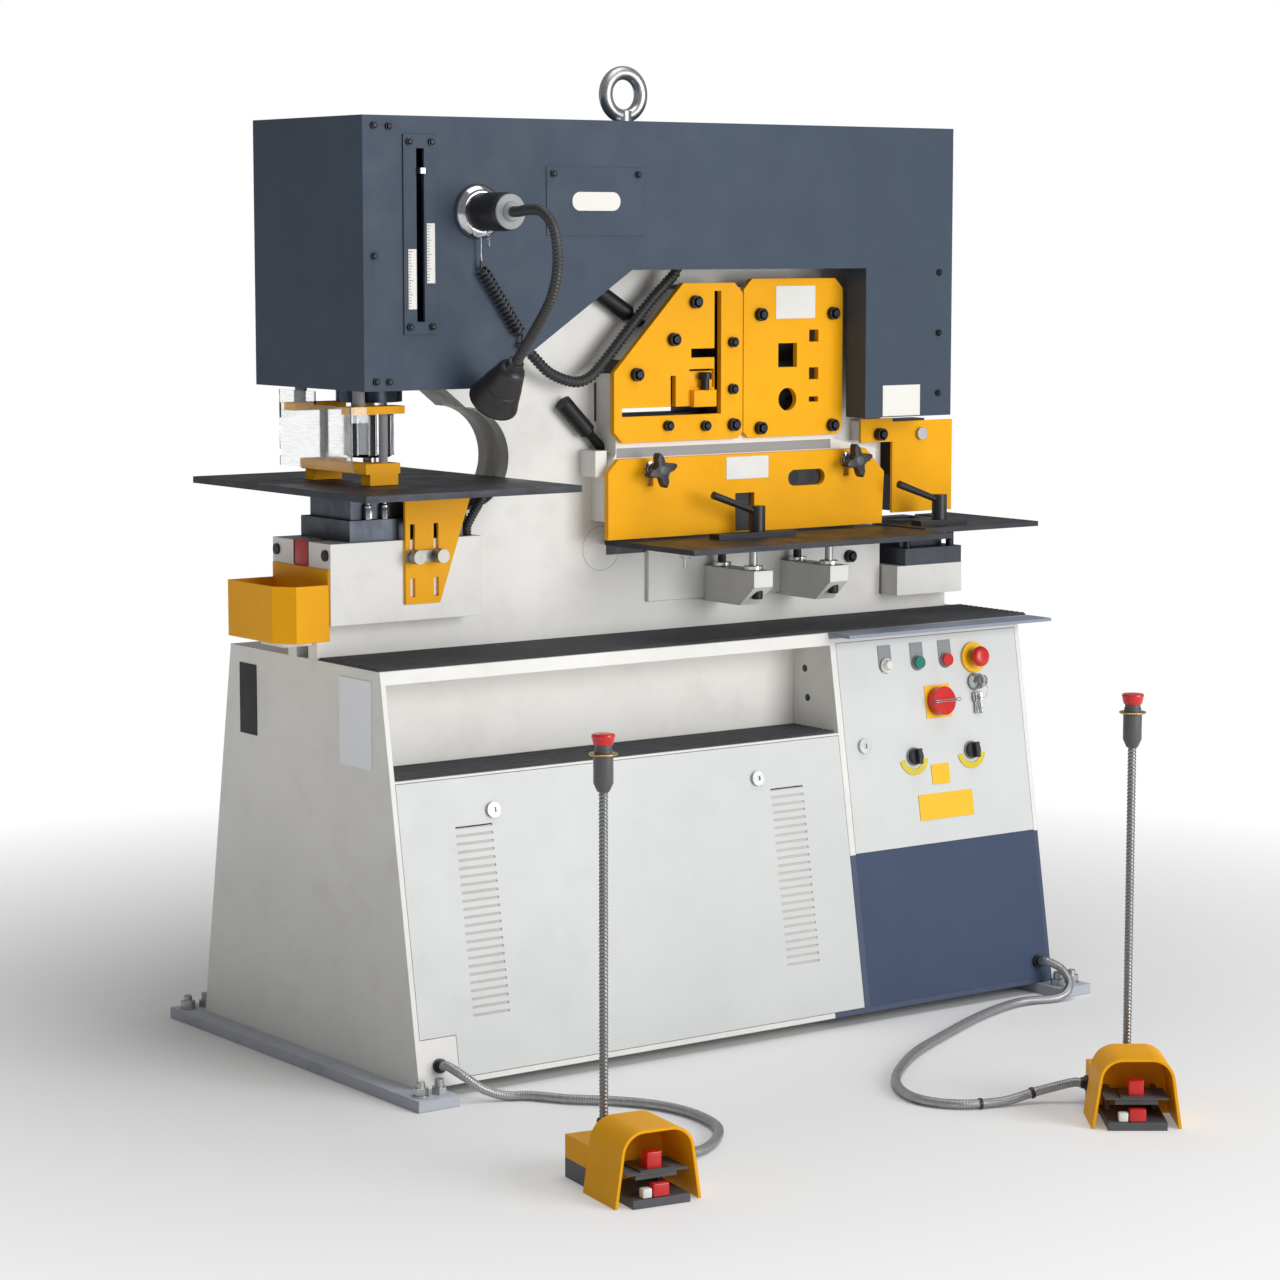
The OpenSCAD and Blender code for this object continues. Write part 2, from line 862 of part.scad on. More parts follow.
module main_switch()
    color("Crimson")
        at_front(switch_at, switch_up) {
            control_shaft(legend_t + slack);
            translate([0, 0, legend_t + slack]) {
                cylinder(h = switch_knob_t * switch_dome_share, d = switch_knob_d);
                translate([-switch_knob_d / 2, -switch_knob_d * switch_bar_share / 2, 0])
                    cube([switch_knob_d, switch_knob_d * switch_bar_share, switch_knob_t]);
            }
        }

selector_t = 20;

module selector(x)
    color("Black")
        at_front(x, selector_up) {
            control_shaft(2 * legend_t + slack);
            translate([0, 0, 2 * legend_t + slack]) {
                cylinder(h = selector_t / 2, d = selector_d);
                translate([-selector_d * switch_grip_share / 2, -selector_d / 2, 0])
                    cube([selector_d * switch_grip_share, selector_d, selector_t]);
            }
        }

module selector_left()
    selector(selector_left_at);

module selector_right()
    selector(selector_right_at);

module push_button(x)
    at_front(x, row_up) {
        control_shaft(legend_t + button_travel + slack);
        translate([0, 0, legend_t + button_travel + slack])
            cylinder(h = collar_t, d = button_d);
    }

module start_button()
    color("Teal")
        push_button(start_at);

module stop_button()
    color("Crimson")
        push_button(stop_at);

mushroom_t = 15;
estop_neck = 9;
post_neck = 5;
mushroom_stem_share = 0.55;

// Mushroom button with z = 0 on the face it travels to
module mushroom(d, stem_d, stem_len, neck) {
    translate([0, 0, -stem_len])
        cylinder(h = stem_len + button_travel + slack, d = stem_d);
    translate([0, 0, button_travel + slack])
        rotate_extrude()
            polygon([[0, 0], [d * mushroom_stem_share / 2, 0], [d * mushroom_stem_share / 2, neck],
                [d / 2, neck + mushroom_t / 3], [d / 2, neck + mushroom_t * 2 / 3],
                [d * mushroom_stem_share / 2, neck + mushroom_t], [0, neck + mushroom_t]]);
}

module panel_estop()
    color("Crimson")
        at_front(panel_estop_at, row_up)
            translate([0, 0, collar_t])
                mushroom(panel_estop_d, shaft_d, collar_t + sheet_t + shaft_len, estop_neck);

key_t = 14;
key_bow_w = 22;
key_bow_t = 2;
key_bow_len = 18;

module key_switch()
    color("Silver")
        at_front(key_at, key_up) {
            control_shaft(legend_t + slack);
            translate([0, 0, legend_t + slack])
                cylinder(h = key_t, d = key_d - 2 * legend_t);
            translate([-key_bow_t / 2, -key_bow_w / 2, legend_t + slack + key_t])
                cube([key_bow_t, key_bow_w, key_bow_len]);
        }

// Drive inside the base

tank_at = 120;
tank_len = 860;
tank_w = 300;
tank_h = 266;
valve_at = 440;
valve_len = 100;
valve_w = 100;
valve_h = 110;
pump_at = 545;
pump_len = 75;
pump_w = 90;
bell_len = 80;
bell_d = 130;
motor_len = 220;
motor_d = 190;
motor_foot_w = 150;
drive_shaft_d = 28;
coupling_d = 74;
coupling_share = 0.6;
shaft_grip = 18;
bell_window_share = 0.5;
panel_back = 60;
panel_margin = 24;
tank_z = skid_t + sheet_t;
tank_top = tank_z + tank_h;
drive_z = tank_top + motor_d / 2 + panel_margin / 2;
pump_x = at(pump_at);
bell_x = pump_x + pump_len;
motor_x = bell_x + bell_len;
pipe_left_share = 0.8;
elbow_w = 1.5 * pipe_d;
pipe_right_share = 0.6;
pipe_left_z = up(nose_rise + cylinder_h * pipe_left_share);
pipe_right_z = up(beam_rise + plate_gap * pipe_right_share);

module power_pack() {
    color("SteelBlue") {
        block(at(tank_at), at(tank_at + tank_len), -tank_w / 2, tank_w / 2, tank_z, tank_top);
        block(at(valve_at), at(valve_at + valve_len), -valve_w / 2, valve_w / 2, tank_top,
            tank_top + valve_h);
        // pump on its foot
        difference() {
            union() {
                block(pump_x, bell_x, -pump_w / 2, pump_w / 2, drive_z - pump_w / 2, drive_z + pump_w / 2);
                block(pump_x, bell_x, -pump_w / 4, pump_w / 4, tank_top, drive_z);
            }
            rod_x(0, drive_z, drive_shaft_d + 2 * fit, bell_x - shaft_grip - slack, bell_x + cut);
        }
        // bell housing with side windows
        difference() {
            rod_x(0, drive_z, bell_d, bell_x, motor_x);
            rod_x(0, drive_z, bell_d - panel_margin, bell_x - cut, motor_x + cut);
            block(share(bell_x, motor_x, (1 - bell_window_share) / 2), share(bell_x, motor_x,
                (1 + bell_window_share) / 2),
                -bell_d, bell_d, drive_z - bell_d / 4, drive_z + bell_d / 4);
        }
        // motor on its foot
        difference() {
            union() {
                rod_x(0, drive_z, motor_d, motor_x, motor_x + motor_len);
                block(motor_x + panel_margin, motor_x + motor_len - panel_margin, -motor_foot_w / 2,
                    motor_foot_w / 2,
                    tank_top, drive_z);
            }
            rod_x(0, drive_z, drive_shaft_d + 2 * fit, motor_x - cut, motor_x + shaft_grip + slack);
        }
        // pressure pipes up the frame gap
        translate([at(pipe_left_at), 0, tank_top + valve_h])
            cylinder(h = pipe_left_z - tank_top - valve_h, d = pipe_d);
        translate([at(pipe_left_at), 0, pipe_left_z])
            cube(elbow_w, center = true);
        rod_x(0, pipe_left_z, pipe_d, at(nose_at), at(pipe_left_at));
        translate([at(pipe_right_at), 0, tank_top + valve_h])
            cylinder(h = pipe_right_z - tank_top - valve_h, d = pipe_d);
        translate([at(pipe_right_at), 0, pipe_right_z])
            cube(elbow_w, center = true);
        rod_x(0, pipe_right_z, pipe_d, at(pipe_right_at), at(shear_cyl_at));
        // electrical plate with its switchgear in the cabinet
        block(wall_x, base_right - sheet_t, -panel_back, -panel_back + sheet_t, tank_z,
            up(-panel_margin * 2));
        for (r = [0, 1])
            for (k = [0 : 3])
                translate([wall_x + panel_margin * (3 + 4 * k), -panel_back - panel_margin * 2,
                        skid_t + panel_margin * (9 + 9 * r)])
                    cube([panel_margin * 3, panel_margin * 2, panel_margin * 4]);
    }
}

module motor_shaft()
    color("Silver") {
        rod_x(0, drive_z, drive_shaft_d, bell_x - shaft_grip, motor_x + shaft_grip);
        rod_x(0, drive_z, coupling_d, share(bell_x, motor_x, (1 - coupling_share) / 2),
            share(bell_x, motor_x, (1 + coupling_share) / 2));
    }

// Frame

throat_steps = 24;
frame_outline = concat(
    [[at(0), deck_z], [at(foot_at), deck_z], [at(foot_at), up(foot_rise)], [at(frame_right_at),
        up(foot_rise)],
        [at(frame_right_at), up(beam_rise)], [at(step_at + plate_gap), up(beam_rise)],
        [at(step_at), up(frame_top_rise)], [at(nose_at), up(frame_top_rise)], [at(nose_at), up(nose_rise)]],
    [[at(throat_at), up(throat_rise + throat_r)], [at(throat_at), up(throat_rise - throat_r)],
        [at(throat_at), arm_z], [at(0), arm_z]]);

// Windows of the shear stations
angle_x = at(angle_at);
bar_x = at(angle_at + angle_w);
plate_z = up(plate_rise);
window_margin = 11;
angle_diag_share = 0.445;
angle_diag_w_share = 0.527;
angle_leg_x = angle_x + (angle_w - angle_leg) / 4;
angle_leg_share = 0.21;
angle_leg_z = plate_z + angle_leg * angle_leg_share;
angle_cut_shares = [0.72, 0.26];
angle_window = [[angle_leg_x - window_margin, angle_leg_z - window_margin],
    [angle_leg_x + angle_leg + window_margin, angle_leg_z - window_margin],
    [angle_leg_x + angle_leg + window_margin, angle_leg_z + angle_leg + window_margin],
    [angle_leg_x + angle_leg * angle_cut_shares[0], angle_leg_z + angle_leg + window_margin],
    [angle_leg_x - window_margin, angle_leg_z + angle_leg * angle_cut_shares[1]]];
bar_wide_shares = [0.24, 0.84];
bar_high_shares = [0.12, 0.75];
bar_window_x0 = bar_x + bar_w * bar_wide_shares[0];
bar_window_x1 = bar_x + bar_w * bar_wide_shares[1];
bar_window_z0 = plate_z + bar_h * bar_high_shares[0];
bar_window_z1 = plate_z + bar_h * bar_high_shares[1];
flat_x0 = at(flat_at) + side_t;
flat_x1 = at(flat_at + flat_len) - side_t;
flat_blade_h = 30;
flat_open = 76;

module windows(y0, y1) {
    prism_y(angle_window, y0, y1);
    block(bar_window_x0, bar_window_x1, y0, y1, bar_window_z0, bar_window_z1);
}

module flat_window(y0, y1)
    block(flat_x0, flat_x1, y0, y1, flat_z - flat_blade_h, flat_z + flat_open);

// Spacers between the plates
spacer_foot_h = 34;
spacer_w = 40;
throat_spacer_share = 0.85;

module main_frame() {
    color("Beige") {
        difference() {
            for (s = [-1, 1])
                prism_y(frame_outline, s < 0 ? -frame_half : plate_gap / 2,
                    s < 0 ? -plate_gap / 2 : frame_half);
            rod_y(at(throat_at), up(throat_rise), 2 * throat_r, -frame_half - cut, frame_half + cut);
            windows(-frame_half - cut, frame_half + cut);
            flat_window(-frame_half - cut, frame_half + cut);
        }
        // foot spacers left and right of the pipes
        block(at(throat_at), at(pipe_left_at) - spacer_w, -plate_gap / 2, plate_gap / 2, deck_z,
            deck_z + spacer_foot_h);
        block(at(pipe_right_at) + spacer_w, at(foot_at) - spacer_w, -plate_gap / 2, plate_gap / 2, deck_z,
            deck_z + spacer_foot_h);
        // spacer behind the throat
        block(at(throat_at + throat_r) + spacer_w / 4,
            at(throat_at + throat_r) + spacer_w * throat_spacer_share, -plate_gap / 2,
            plate_gap / 2, up(throat_rise - throat_r), up(throat_rise + throat_r));
        // lifting spacer
        block(at(eye_at) - spacer_w, at(eye_at) + spacer_w, -plate_gap / 2, plate_gap / 2,
            up(frame_top_rise) - 2 * spacer_w, up(frame_top_rise));
        // spacer inside the nose
        block(at(nose_at), at(nose_at) + spacer_w, -plate_gap / 2, plate_gap / 2,
            up(nose_rise) + spacer_w / 2,
            up(nose_rise) + 2 * spacer_w);
    }
}

// Head

head_outline = [[at(head_left_at), up(head_low_rise)], [at(head_low_at), up(head_low_rise)],
    [at(head_mid_at), up(head_mid_rise)], [at(head_wall_at), up(head_mid_rise)],
    [at(head_wall_at), up(head_right_rise)], [at(head_right_at), up(head_right_rise)],
    [at(head_right_at), up(head_top_rise)], [at(head_left_at), up(head_top_rise)]];
head_rear = head_front - rear_d;
slot_at = 136;
slot_low_rise = 603;
slot_high_rise = 905;
slot_w = 16;
pointer_w = 10;
eye_shank_d = 32;

module head_housing() {
    color("SlateGray")
        difference() {
            prism_y(head_outline, -head_front, head_rear);
            prism_y(inset(head_outline, head_t), -head_front + head_t, head_rear + cut);
            // open underside
            block(at(head_left_at) + head_t * 2, at(head_right_at) - head_t * 2, -head_open, head_open,
                up(head_right_rise) - cut, up(head_mid_rise) + head_t + cut);
            block(at(slot_at) - slot_w / 2, at(slot_at) + slot_w / 2, -head_front - cut,
                -head_front + head_t + cut,
                up(slot_low_rise), up(slot_high_rise));
            translate([at(eye_at), 0, up(head_top_rise) - head_t - cut])
                cylinder(h = head_t + 2 * cut, d = eye_shank_d + 2 * slack);
        }
}

module head_rear_cover() {
    color("LightSlateGray")
        difference() {
            prism_y(head_outline, head_rear, head_front);
            prism_y(inset(head_outline, head_t), head_rear - cut, head_front - head_t);
        }
}

// Plates on the head and on the base end
slot_plate_w = 69;
slot_plate_rise = 581;
slot_plate_h = 348;
access_at = 405;
access_w = 218;
access_rise = 753;
access_h = 124;
pill_w = 107;
pill_h = 34;
head_label_at = 1197;
head_label_w = 95;
head_label_rise = 404;
head_label_h = 60;
base_plate_y = -236;
base_plate_w = 108;
base_plate_z = 563;
base_plate_h = 157;
far_plate_y = 167;
far_plate_w = 61;
far_plate_h = 131;

module cover_plates() {
    color("LightGray") {
        difference() {
            block(at(slot_at) - slot_plate_w / 2, at(slot_at) + slot_plate_w / 2,
                -head_front - legend_t * 2, -head_front,
                up(slot_plate_rise), up(slot_plate_rise + slot_plate_h));
            block(at(slot_at) - slot_w / 2, at(slot_at) + slot_w / 2, -head_front - legend_t * 2 - cut,
                -head_front + cut,
                up(slot_low_rise), up(slot_high_rise));
        }
        block(at(access_at), at(access_at + access_w), -head_front - legend_t, -head_front, up(access_rise),
            up(access_rise + access_h));
        translate([at(access_at + access_w / 2), -head_front - legend_t, up(access_rise + access_h / 2)])
            rotate([90, 0, 0])
                linear_extrude(legend_t)
                    union() {
                        square([pill_w - pill_h, pill_h], center = true);
                        for (s = [-1, 1])
                            translate([s * (pill_w - pill_h) / 2, 0])
                                circle(d = pill_h);
                    }
        block(at(head_label_at), at(head_label_at + head_label_w), -head_front - legend_t, -head_front,
            up(head_label_rise), up(head_label_rise + head_label_h));
        block(base_left - legend_t, base_left, base_plate_y, base_plate_y + base_plate_w, base_plate_z,
            base_plate_z + base_plate_h);
        block(base_left - legend_t, base_left, far_plate_y, far_plate_y + far_plate_w,
            base_plate_z + legend_h / 4, base_plate_z + legend_h / 4 + far_plate_h);
    }
}

eye_collar_d = 64;
eye_collar_t = 12;

eye_collar_share = 0.75;

module eyebolt() {
    color("DarkSlateGray")
        translate([at(eye_at), 0, 0]) {
            translate([0, 0, up(frame_top_rise)])
                cylinder(h = eye_collar_t, d = eye_collar_d);
            translate([0, 0, up(frame_top_rise) + eye_collar_t])
                cylinder(h = head_top_rise - frame_top_rise + eye_bar_d - eye_collar_t, d = eye_shank_d);
            translate([0, 0, up(head_top_rise) + slack])
                cylinder(h = eye_collar_t / 2, d = eye_collar_d * eye_collar_share);
            translate([0, 0, up(head_top_rise) + eye_d / 2 + eye_collar_t / 4])
                rotate([90, 0, 0])
                    rotate_extrude()
                        translate([(eye_d - eye_bar_d) / 2, 0])
                            circle(d = eye_bar_d);
        }
}

// Cylinders

flange_h = 26;
flange_half = 122;
flange_at = 32;
shear_cyl_at = 960;
shear_cyl_len = 200;
shear_cyl_w = 160;
ram_x = at(punch_at);
ram_top = up(nose_rise + cylinder_h);
tail_d = 30;
slide_top_rise = 700;

module cylinders() {
    color("SlateGray") {
        difference() {
            union() {
                block(at(punch_at) - cylinder_w / 2, at(nose_at), -cylinder_w / 2, cylinder_w / 2,
                    up(nose_rise), ram_top);
                block(at(flange_at), at(nose_at), -flange_half, flange_half, up(nose_rise),
                    up(nose_rise) + flange_h);
            }
            translate([ram_x, 0, up(nose_rise) - cut])
                cylinder(h = cylinder_h - flange_h, d = ram_d + 2 * fit);
            translate([ram_x, 0, up(nose_rise)])
                cylinder(h = cylinder_h + cut, d = tail_d + 2 * fit);
        }
        difference() {
            block(at(shear_cyl_at), at(shear_cyl_at + shear_cyl_len), -shear_cyl_w / 2, shear_cyl_w / 2,
                up(beam_rise),
                up(beam_rise + shear_cyl_h));
            translate([at(shear_cyl_at + shear_cyl_len / 2), 0, up(beam_rise) - cut])
                cylinder(h = shear_cyl_h - flange_h, d = rod_d + 2 * fit);
        }
    }
}

nose_z = table_z + nose_up;
nose_h = 22;
pointer_rise = 861;
ram_bore_top = up(nose_rise) + cylinder_h - flange_h - cut;

module punch_ram() {
    color("Silver") {
        translate([ram_x, 0, nose_z])
            cylinder(h = nose_h, d = nose_d);
        translate([ram_x, 0, nose_z])
            cylinder(h = ram_bore_top - ram_up - slack - nose_z, d = ram_d);
        translate([ram_x, 0, nose_z])
            cylinder(h = up(pointer_rise) + pointer_w * 2 - nose_z, d = tail_d);
        block(at(slot_at) - pointer_w / 2, at(slot_at) + pointer_w / 2,
            -head_front - legend_t * 2 - pointer_w, 0,
            up(pointer_rise), up(pointer_rise) + pointer_w);
    }
}

holder_ring_h = 10;
holder_ring_share = 0.76;
holder_chamfer = 6;

module punch_holder() {
    color("Silver")
        translate([ram_x, 0, nose_z]) {
            translate([0, 0, -holder_ring_h * 2])
                cylinder(h = holder_ring_h * 2, d = holder_d * holder_ring_share);
            translate([0, 0, -holder_ring_h * 2])
                rotate([180, 0, 0])
                    rotate_extrude()
                        polygon([[0, 0], [holder_d / 2, 0], [holder_d / 2, holder_h - holder_chamfer],
                            [holder_d / 2 - holder_chamfer, holder_h], [0, holder_h]]);
            translate([0, 0, -holder_ring_h * 2 - holder_h - punch_len])
                cylinder(h = punch_len, d = punch_d);
        }
}

// Punch bed

die_low_at = 50;
die_low_len = 240;
die_low_half = 85;
die_up_at = 61;
die_up_len = 180;
die_up_half = 70;
die_clear = 0.6;
slug_d = 42;
notch_body_at = 1335;
notch_body_len = 148;
notch_body_h = 34;
notch_support_h = 59;
notch_die_half = 60;
notch_die_margin = 14;
notch_z = up(foot_rise + notch_support_h);
notch_punch_at = 1368;
stud_d = 16;
stud_out = 85;

module die_blocks() {
    color("DarkSlateGray") {
        difference() {
            union() {
                block(at(die_low_at), at(die_low_at + die_low_len), -die_low_half, die_low_half,
                    bolster_z, bolster_z + die_low_h);
                block(at(die_up_at), at(die_up_at + die_up_len), -die_up_half, die_up_half, bolster_z,
                    table_z - table_t);
                translate([ram_x, 0, bolster_z])
                    cylinder(h = table_z - bolster_z, d = die_d);
            }
            translate([ram_x, 0, bolster_z - cut])
                cylinder(h = table_z - bolster_z + 2 * cut, d = punch_d + 2 * die_clear);
            translate([ram_x, 0, bolster_z - cut])
                cylinder(h = die_low_h + cut, d = slug_d);
        }
        // notch die on its support
        difference() {
            union() {
                block(at(notch_body_at), at(notch_body_at + notch_body_len), -bolster_half, bolster_half,
                    notch_z,
                    notch_z + notch_body_h);
                block(at(notch_punch_at) - notch_die_margin,
                    at(notch_punch_at) + notch_w + notch_die_margin, -notch_die_half,
                    notch_die_half, notch_z, flat_z - slack);
            }
            block(at(notch_punch_at) - die_clear, at(notch_punch_at) + notch_w + die_clear,
                -slide_half - die_clear,
                slide_half + die_clear, notch_z - cut, flat_z + cut);
        }
    }
}

chute_low = 8;
chute_high = 34;
chute_end_at = 186;

module slug_chute()
    color("Crimson")
        prism_y([[at(0), arm_z], [at(chute_end_at), arm_z], [at(chute_end_at), arm_z + chute_high],
            [at(0), arm_z + chute_low]],
            -chute_w / 2, chute_w / 2);

module punch_table()
    color("LightSteelBlue")
        difference() {
            block(at(-table_over), at(table_len - table_over), -table_d / 2, table_d / 2,
                table_z - table_t, table_z);
            translate([ram_x, 0, table_z - table_t - cut])
                cylinder(h = table_t + 2 * cut, d = die_d + 2 * slack);
        }

bracket_slot_w = 10;
bracket_slot_h = 46;
bracket_slot_gap = 50;
bracket_slot_low_h = 34;
bracket_slot_up_share = 0.48;
bracket_slot_low_share = 0.06;
bracket_flange_h = 6;
bracket_top = table_z - table_t;

module table_bracket() {
    color("Orange") {
        difference() {
            prism_y([[at(bracket_at), bracket_top], [at(bracket_at), bracket_top - bracket_h],
                    [at(bracket_at + bracket_low_w), bracket_top - bracket_h],
                        [at(bracket_at + bracket_w), bracket_top]],
                -bolster_half - bracket_t, -bolster_half);
            for (k = [0, 1]) {
                block(at(bracket_at + bracket_slot_w + k * bracket_slot_gap),
                    at(bracket_at + 2 * bracket_slot_w + k * bracket_slot_gap),
                    -bolster_half - bracket_t - cut, -bolster_half + cut,
                        bracket_top - bracket_h * (1 - bracket_slot_up_share),
                    bracket_top - bracket_h * (1 - bracket_slot_up_share) + bracket_slot_h);
                block(at(bracket_at + bracket_slot_w + k * bracket_slot_gap),
                    at(bracket_at + 2 * bracket_slot_w + k * bracket_slot_gap),
                    -bolster_half - bracket_t - cut, -bolster_half + cut,
                        bracket_top - bracket_h * (1 - bracket_slot_low_share),
                    bracket_top - bracket_h * (1 - bracket_slot_low_share) + bracket_slot_low_h);
            }
        }
        block(at(bracket_at), at(bracket_at + bracket_w), -bolster_half - bracket_t, -die_up_half - slack,
            bracket_top - bracket_flange_h, bracket_top);
    }
}

strip_rod_d = 22;
strip_post_d = 16;
strip_arm_at = 40;
strip_arm_len = 106;
strip_rod_at = 62;
strip_post_at = 112;
strip_leg_at = 68;
strip_leg_len = 72;
strip_bar_w = 26;
strip_foot_h = 20;
strip_foot_margin = 9;
strip_out = strip_half + strip_arm_w / 2 + slack + slack / 2;
strip_leg_share = 0.9;

module stripper() {
    color("Orange")
        for (s = [-1, 1]) {
            mirror([0, s < 0 ? 1 : 0, 0]) {
                block(at(strip_arm_at), at(strip_arm_at + strip_arm_len), strip_half - strip_arm_w / 2,
                    strip_out,
                    table_z + strip_up, table_z + strip_up + strip_t);
                translate([at(strip_rod_at), strip_half, table_z + strip_up])
                    cylinder(h = up(nose_rise) - table_z - strip_up, d = strip_rod_d);
                translate([at(strip_post_at), strip_half, table_z + foot_h - strip_t])
                    cylinder(h = strip_up - foot_h + 2 * strip_t, d = strip_post_d);
                block(at(strip_leg_at), at(strip_leg_at + strip_leg_len),
                    strip_half - strip_arm_w * strip_leg_share, strip_out - strip_t / 2,
                    table_z + strip_clear + strip_foot_h, table_z + foot_h + strip_clear);
                block(at(strip_leg_at + strip_foot_margin),
                    at(strip_leg_at + strip_leg_len) - strip_foot_margin / 2,
                    strip_half - strip_arm_w / 2, strip_out - strip_t / 2, table_z + strip_clear,
                    table_z + foot_h + strip_clear);
                block(at(strip_leg_at), at(strip_leg_at) + strip_bar_w, 0, strip_half,
                    table_z + strip_clear + strip_foot_h,
                    table_z + foot_h + strip_clear);
            }
        }
}

guard_half = strip_out + slack;
guard_step = 24;
guard_lug_h = 28;
guard_top = table_z + guard_up + guard_h;
guard_lug_top = guard_top - guard_step;
guard_outline = [[-guard_half - guard_t, table_z + guard_up], [guard_half + guard_t, table_z + guard_up],
    [guard_half + guard_t, guard_top], [0, guard_top], [0, guard_lug_top], [-guard_half - guard_t, guard_lug_top]];

module punch_guard()
    color("LightCyan", 0.5) {
        prism_x(guard_outline, at(guard_at), at(guard_at) + guard_t);
        for (s = [-1, 1])
            mirror([0, s < 0 ? 1 : 0, 0])
                block(at(guard_at), at(guard_at + guard_len), guard_half, guard_half + guard_t,
                    guard_lug_top - guard_lug_h, guard_lug_top);
    }

bin_rise = 38;
bin_bevel_x = 28;
bin_bevel_y = 37;
bin_x = at(0) - slack;
bin_plan = [[bin_x, bin_w / 2], [bin_x - bin_len, bin_w / 2], [bin_x - bin_len, -bin_w / 2 + bin_bevel_y],
    [bin_x - bin_len + bin_bevel_x, -bin_w / 2], [bin_x, -bin_w / 2]];

module slug_bin() {
    color("Orange") {
        difference() {
            translate([0, 0, up(bin_rise)])
                linear_extrude(bin_h)
                    polygon(bin_plan);
            translate([0, 0, up(bin_rise) + bin_t])
                linear_extrude(bin_h + cut)
                    polygon(inset(bin_plan, bin_t));
        }
        block(bin_x - bin_t, bin_x, -bin_w / 2, bin_w / 2, up(bin_rise), up(bin_rise + bin_back_h));
    }
}

// Shear slide with its blades and the notch punch

slide_half = plate_gap / 2 - slide_clear;
slide_at = 590;
slide_right_at = 1300;
slide_left_rise = 261;
slide_diag_rise = 500;
slide_diag_at = 786;
rake_low = 34;
rake_high = 58;
notch_arm_low_rise = 276;
notch_arm_high_rise = 386;
notch_tip_rise = 201;
slide_shoulder_at = 1190;
slide_shoulder_rise = 560;

module angle_aperture(y0, y1, grow) {
    block(angle_leg_x - grow, angle_leg_x + angle_leg + grow, y0, y1, angle_leg_z - grow,
        angle_leg_z + angle_slot + grow);
    block(angle_leg_x + angle_leg - angle_slot - grow, angle_leg_x + angle_leg + grow, y0, y1,
        angle_leg_z - grow,
        angle_leg_z + angle_leg + grow);
}

// Bar holes as shares of the bar plate
square_share = [0.44, 0.515];
round_share = [0.44, 0.235];
small_shares = [[0.705, 0.635], [0.705, 0.395]];
small_hole = 23;
oval_share = [0.705, 0.23];
oval_h = 10;

function bar_point(s) = [bar_x + bar_w * s[0], plate_z + bar_h * s[1]];

module bar_apertures(y0, y1) {
    for (p = [[square_share, square_hole], [small_shares[0], small_hole], [small_shares[1], small_hole]])
        block(bar_point(p[0])[0] - p[1] / 2, bar_point(p[0])[0] + p[1] / 2, y0, y1,
            bar_point(p[0])[1] - p[1] / 2,
            bar_point(p[0])[1] + p[1] / 2);
    rod_y(bar_point(round_share)[0], bar_point(round_share)[1], round_hole, y0, y1);
    block(bar_point(oval_share)[0] - small_hole / 2, bar_point(oval_share)[0] + small_hole / 2, y0, y1,
        bar_point(oval_share)[1] - oval_h / 2, bar_point(oval_share)[1] + oval_h / 2);
}

module shear_slide() {
    color("Silver") {
        difference() {
            prism_y([[at(slide_at), up(slide_left_rise)], [flat_x0 + slack, flat_z + rake_low],
                    [flat_x1 - slack, flat_z + rake_high], [at(slide_right_at), up(slide_left_rise)],
                    [at(slide_right_at), up(notch_arm_low_rise)], [at(notch_punch_at),
                        up(notch_arm_low_rise)],
                    [at(notch_punch_at), up(notch_tip_rise)], [at(notch_punch_at) + notch_w,
                        up(notch_tip_rise)],
                    [at(notch_punch_at) + notch_w, up(notch_arm_high_rise)], [at(slide_right_at),
                        up(notch_arm_high_rise)],
                    [at(slide_right_at), up(slide_shoulder_rise)], [at(slide_shoulder_at),
                        up(slide_top_rise)],
                    [at(slide_diag_at), up(slide_top_rise)], [at(slide_at), up(slide_diag_rise)]],
                -slide_half, slide_half);
            angle_aperture(-frame_half, frame_half, slack);
            bar_apertures(-frame_half, frame_half);
        }
        translate([at(shear_cyl_at + shear_cyl_len / 2), 0, up(slide_top_rise)])
            cylinder(h = beam_rise + shear_cyl_h / 2 - slide_top_rise, d = rod_d);
    }
}

module fixed_blades() {
    color("Gray") {
        difference() {
            prism_y(angle_window, -frame_half, -plate_gap / 2);
            angle_aperture(-frame_half - cut, frame_half, slack);
        }
        difference() {
            block(bar_window_x0, bar_window_x1, -frame_half, -plate_gap / 2, bar_window_z0, bar_window_z1);
            bar_apertures(-frame_half - cut, frame_half);
        }
        block(flat_x0, flat_x1, -frame_half, -plate_gap / 2, flat_z - flat_blade_h, flat_z);
    }
}

// Yellow plates

plate_corner = 20;
foot_corner = 12;
seam_gap = 2;
angle_right = bar_x - seam_gap;
angle_outline = [[angle_x + plate_corner, plate_z], [angle_right - foot_corner, plate_z],
    [angle_right, plate_z + foot_corner], [angle_right, plate_z + angle_h - plate_corner],
    [angle_right - plate_corner, plate_z + angle_h],
    [angle_x + angle_w * angle_diag_w_share, plate_z + angle_h],
    [angle_x, plate_z + angle_h * angle_diag_share], [angle_x, plate_z + plate_corner]];
bar_outline = [[bar_x + foot_corner, plate_z], [bar_x + bar_w - foot_corner, plate_z],
    [bar_x + bar_w, plate_z + foot_corner], [bar_x + bar_w, plate_z + bar_h - plate_corner],
    [bar_x + bar_w - plate_corner, plate_z + bar_h], [bar_x + plate_corner, plate_z + bar_h],
    [bar_x, plate_z + bar_h - plate_corner], [bar_x, plate_z + foot_corner]];
notch_guard_out = 80;
notch_guard_t = 6;
notch_guard_at = 1311;
notch_guard_w = 157;
notch_guard_rise = 204;
notch_guard_h = 182;
notch_ear_at = 1229;
notch_ear_rise = 346;
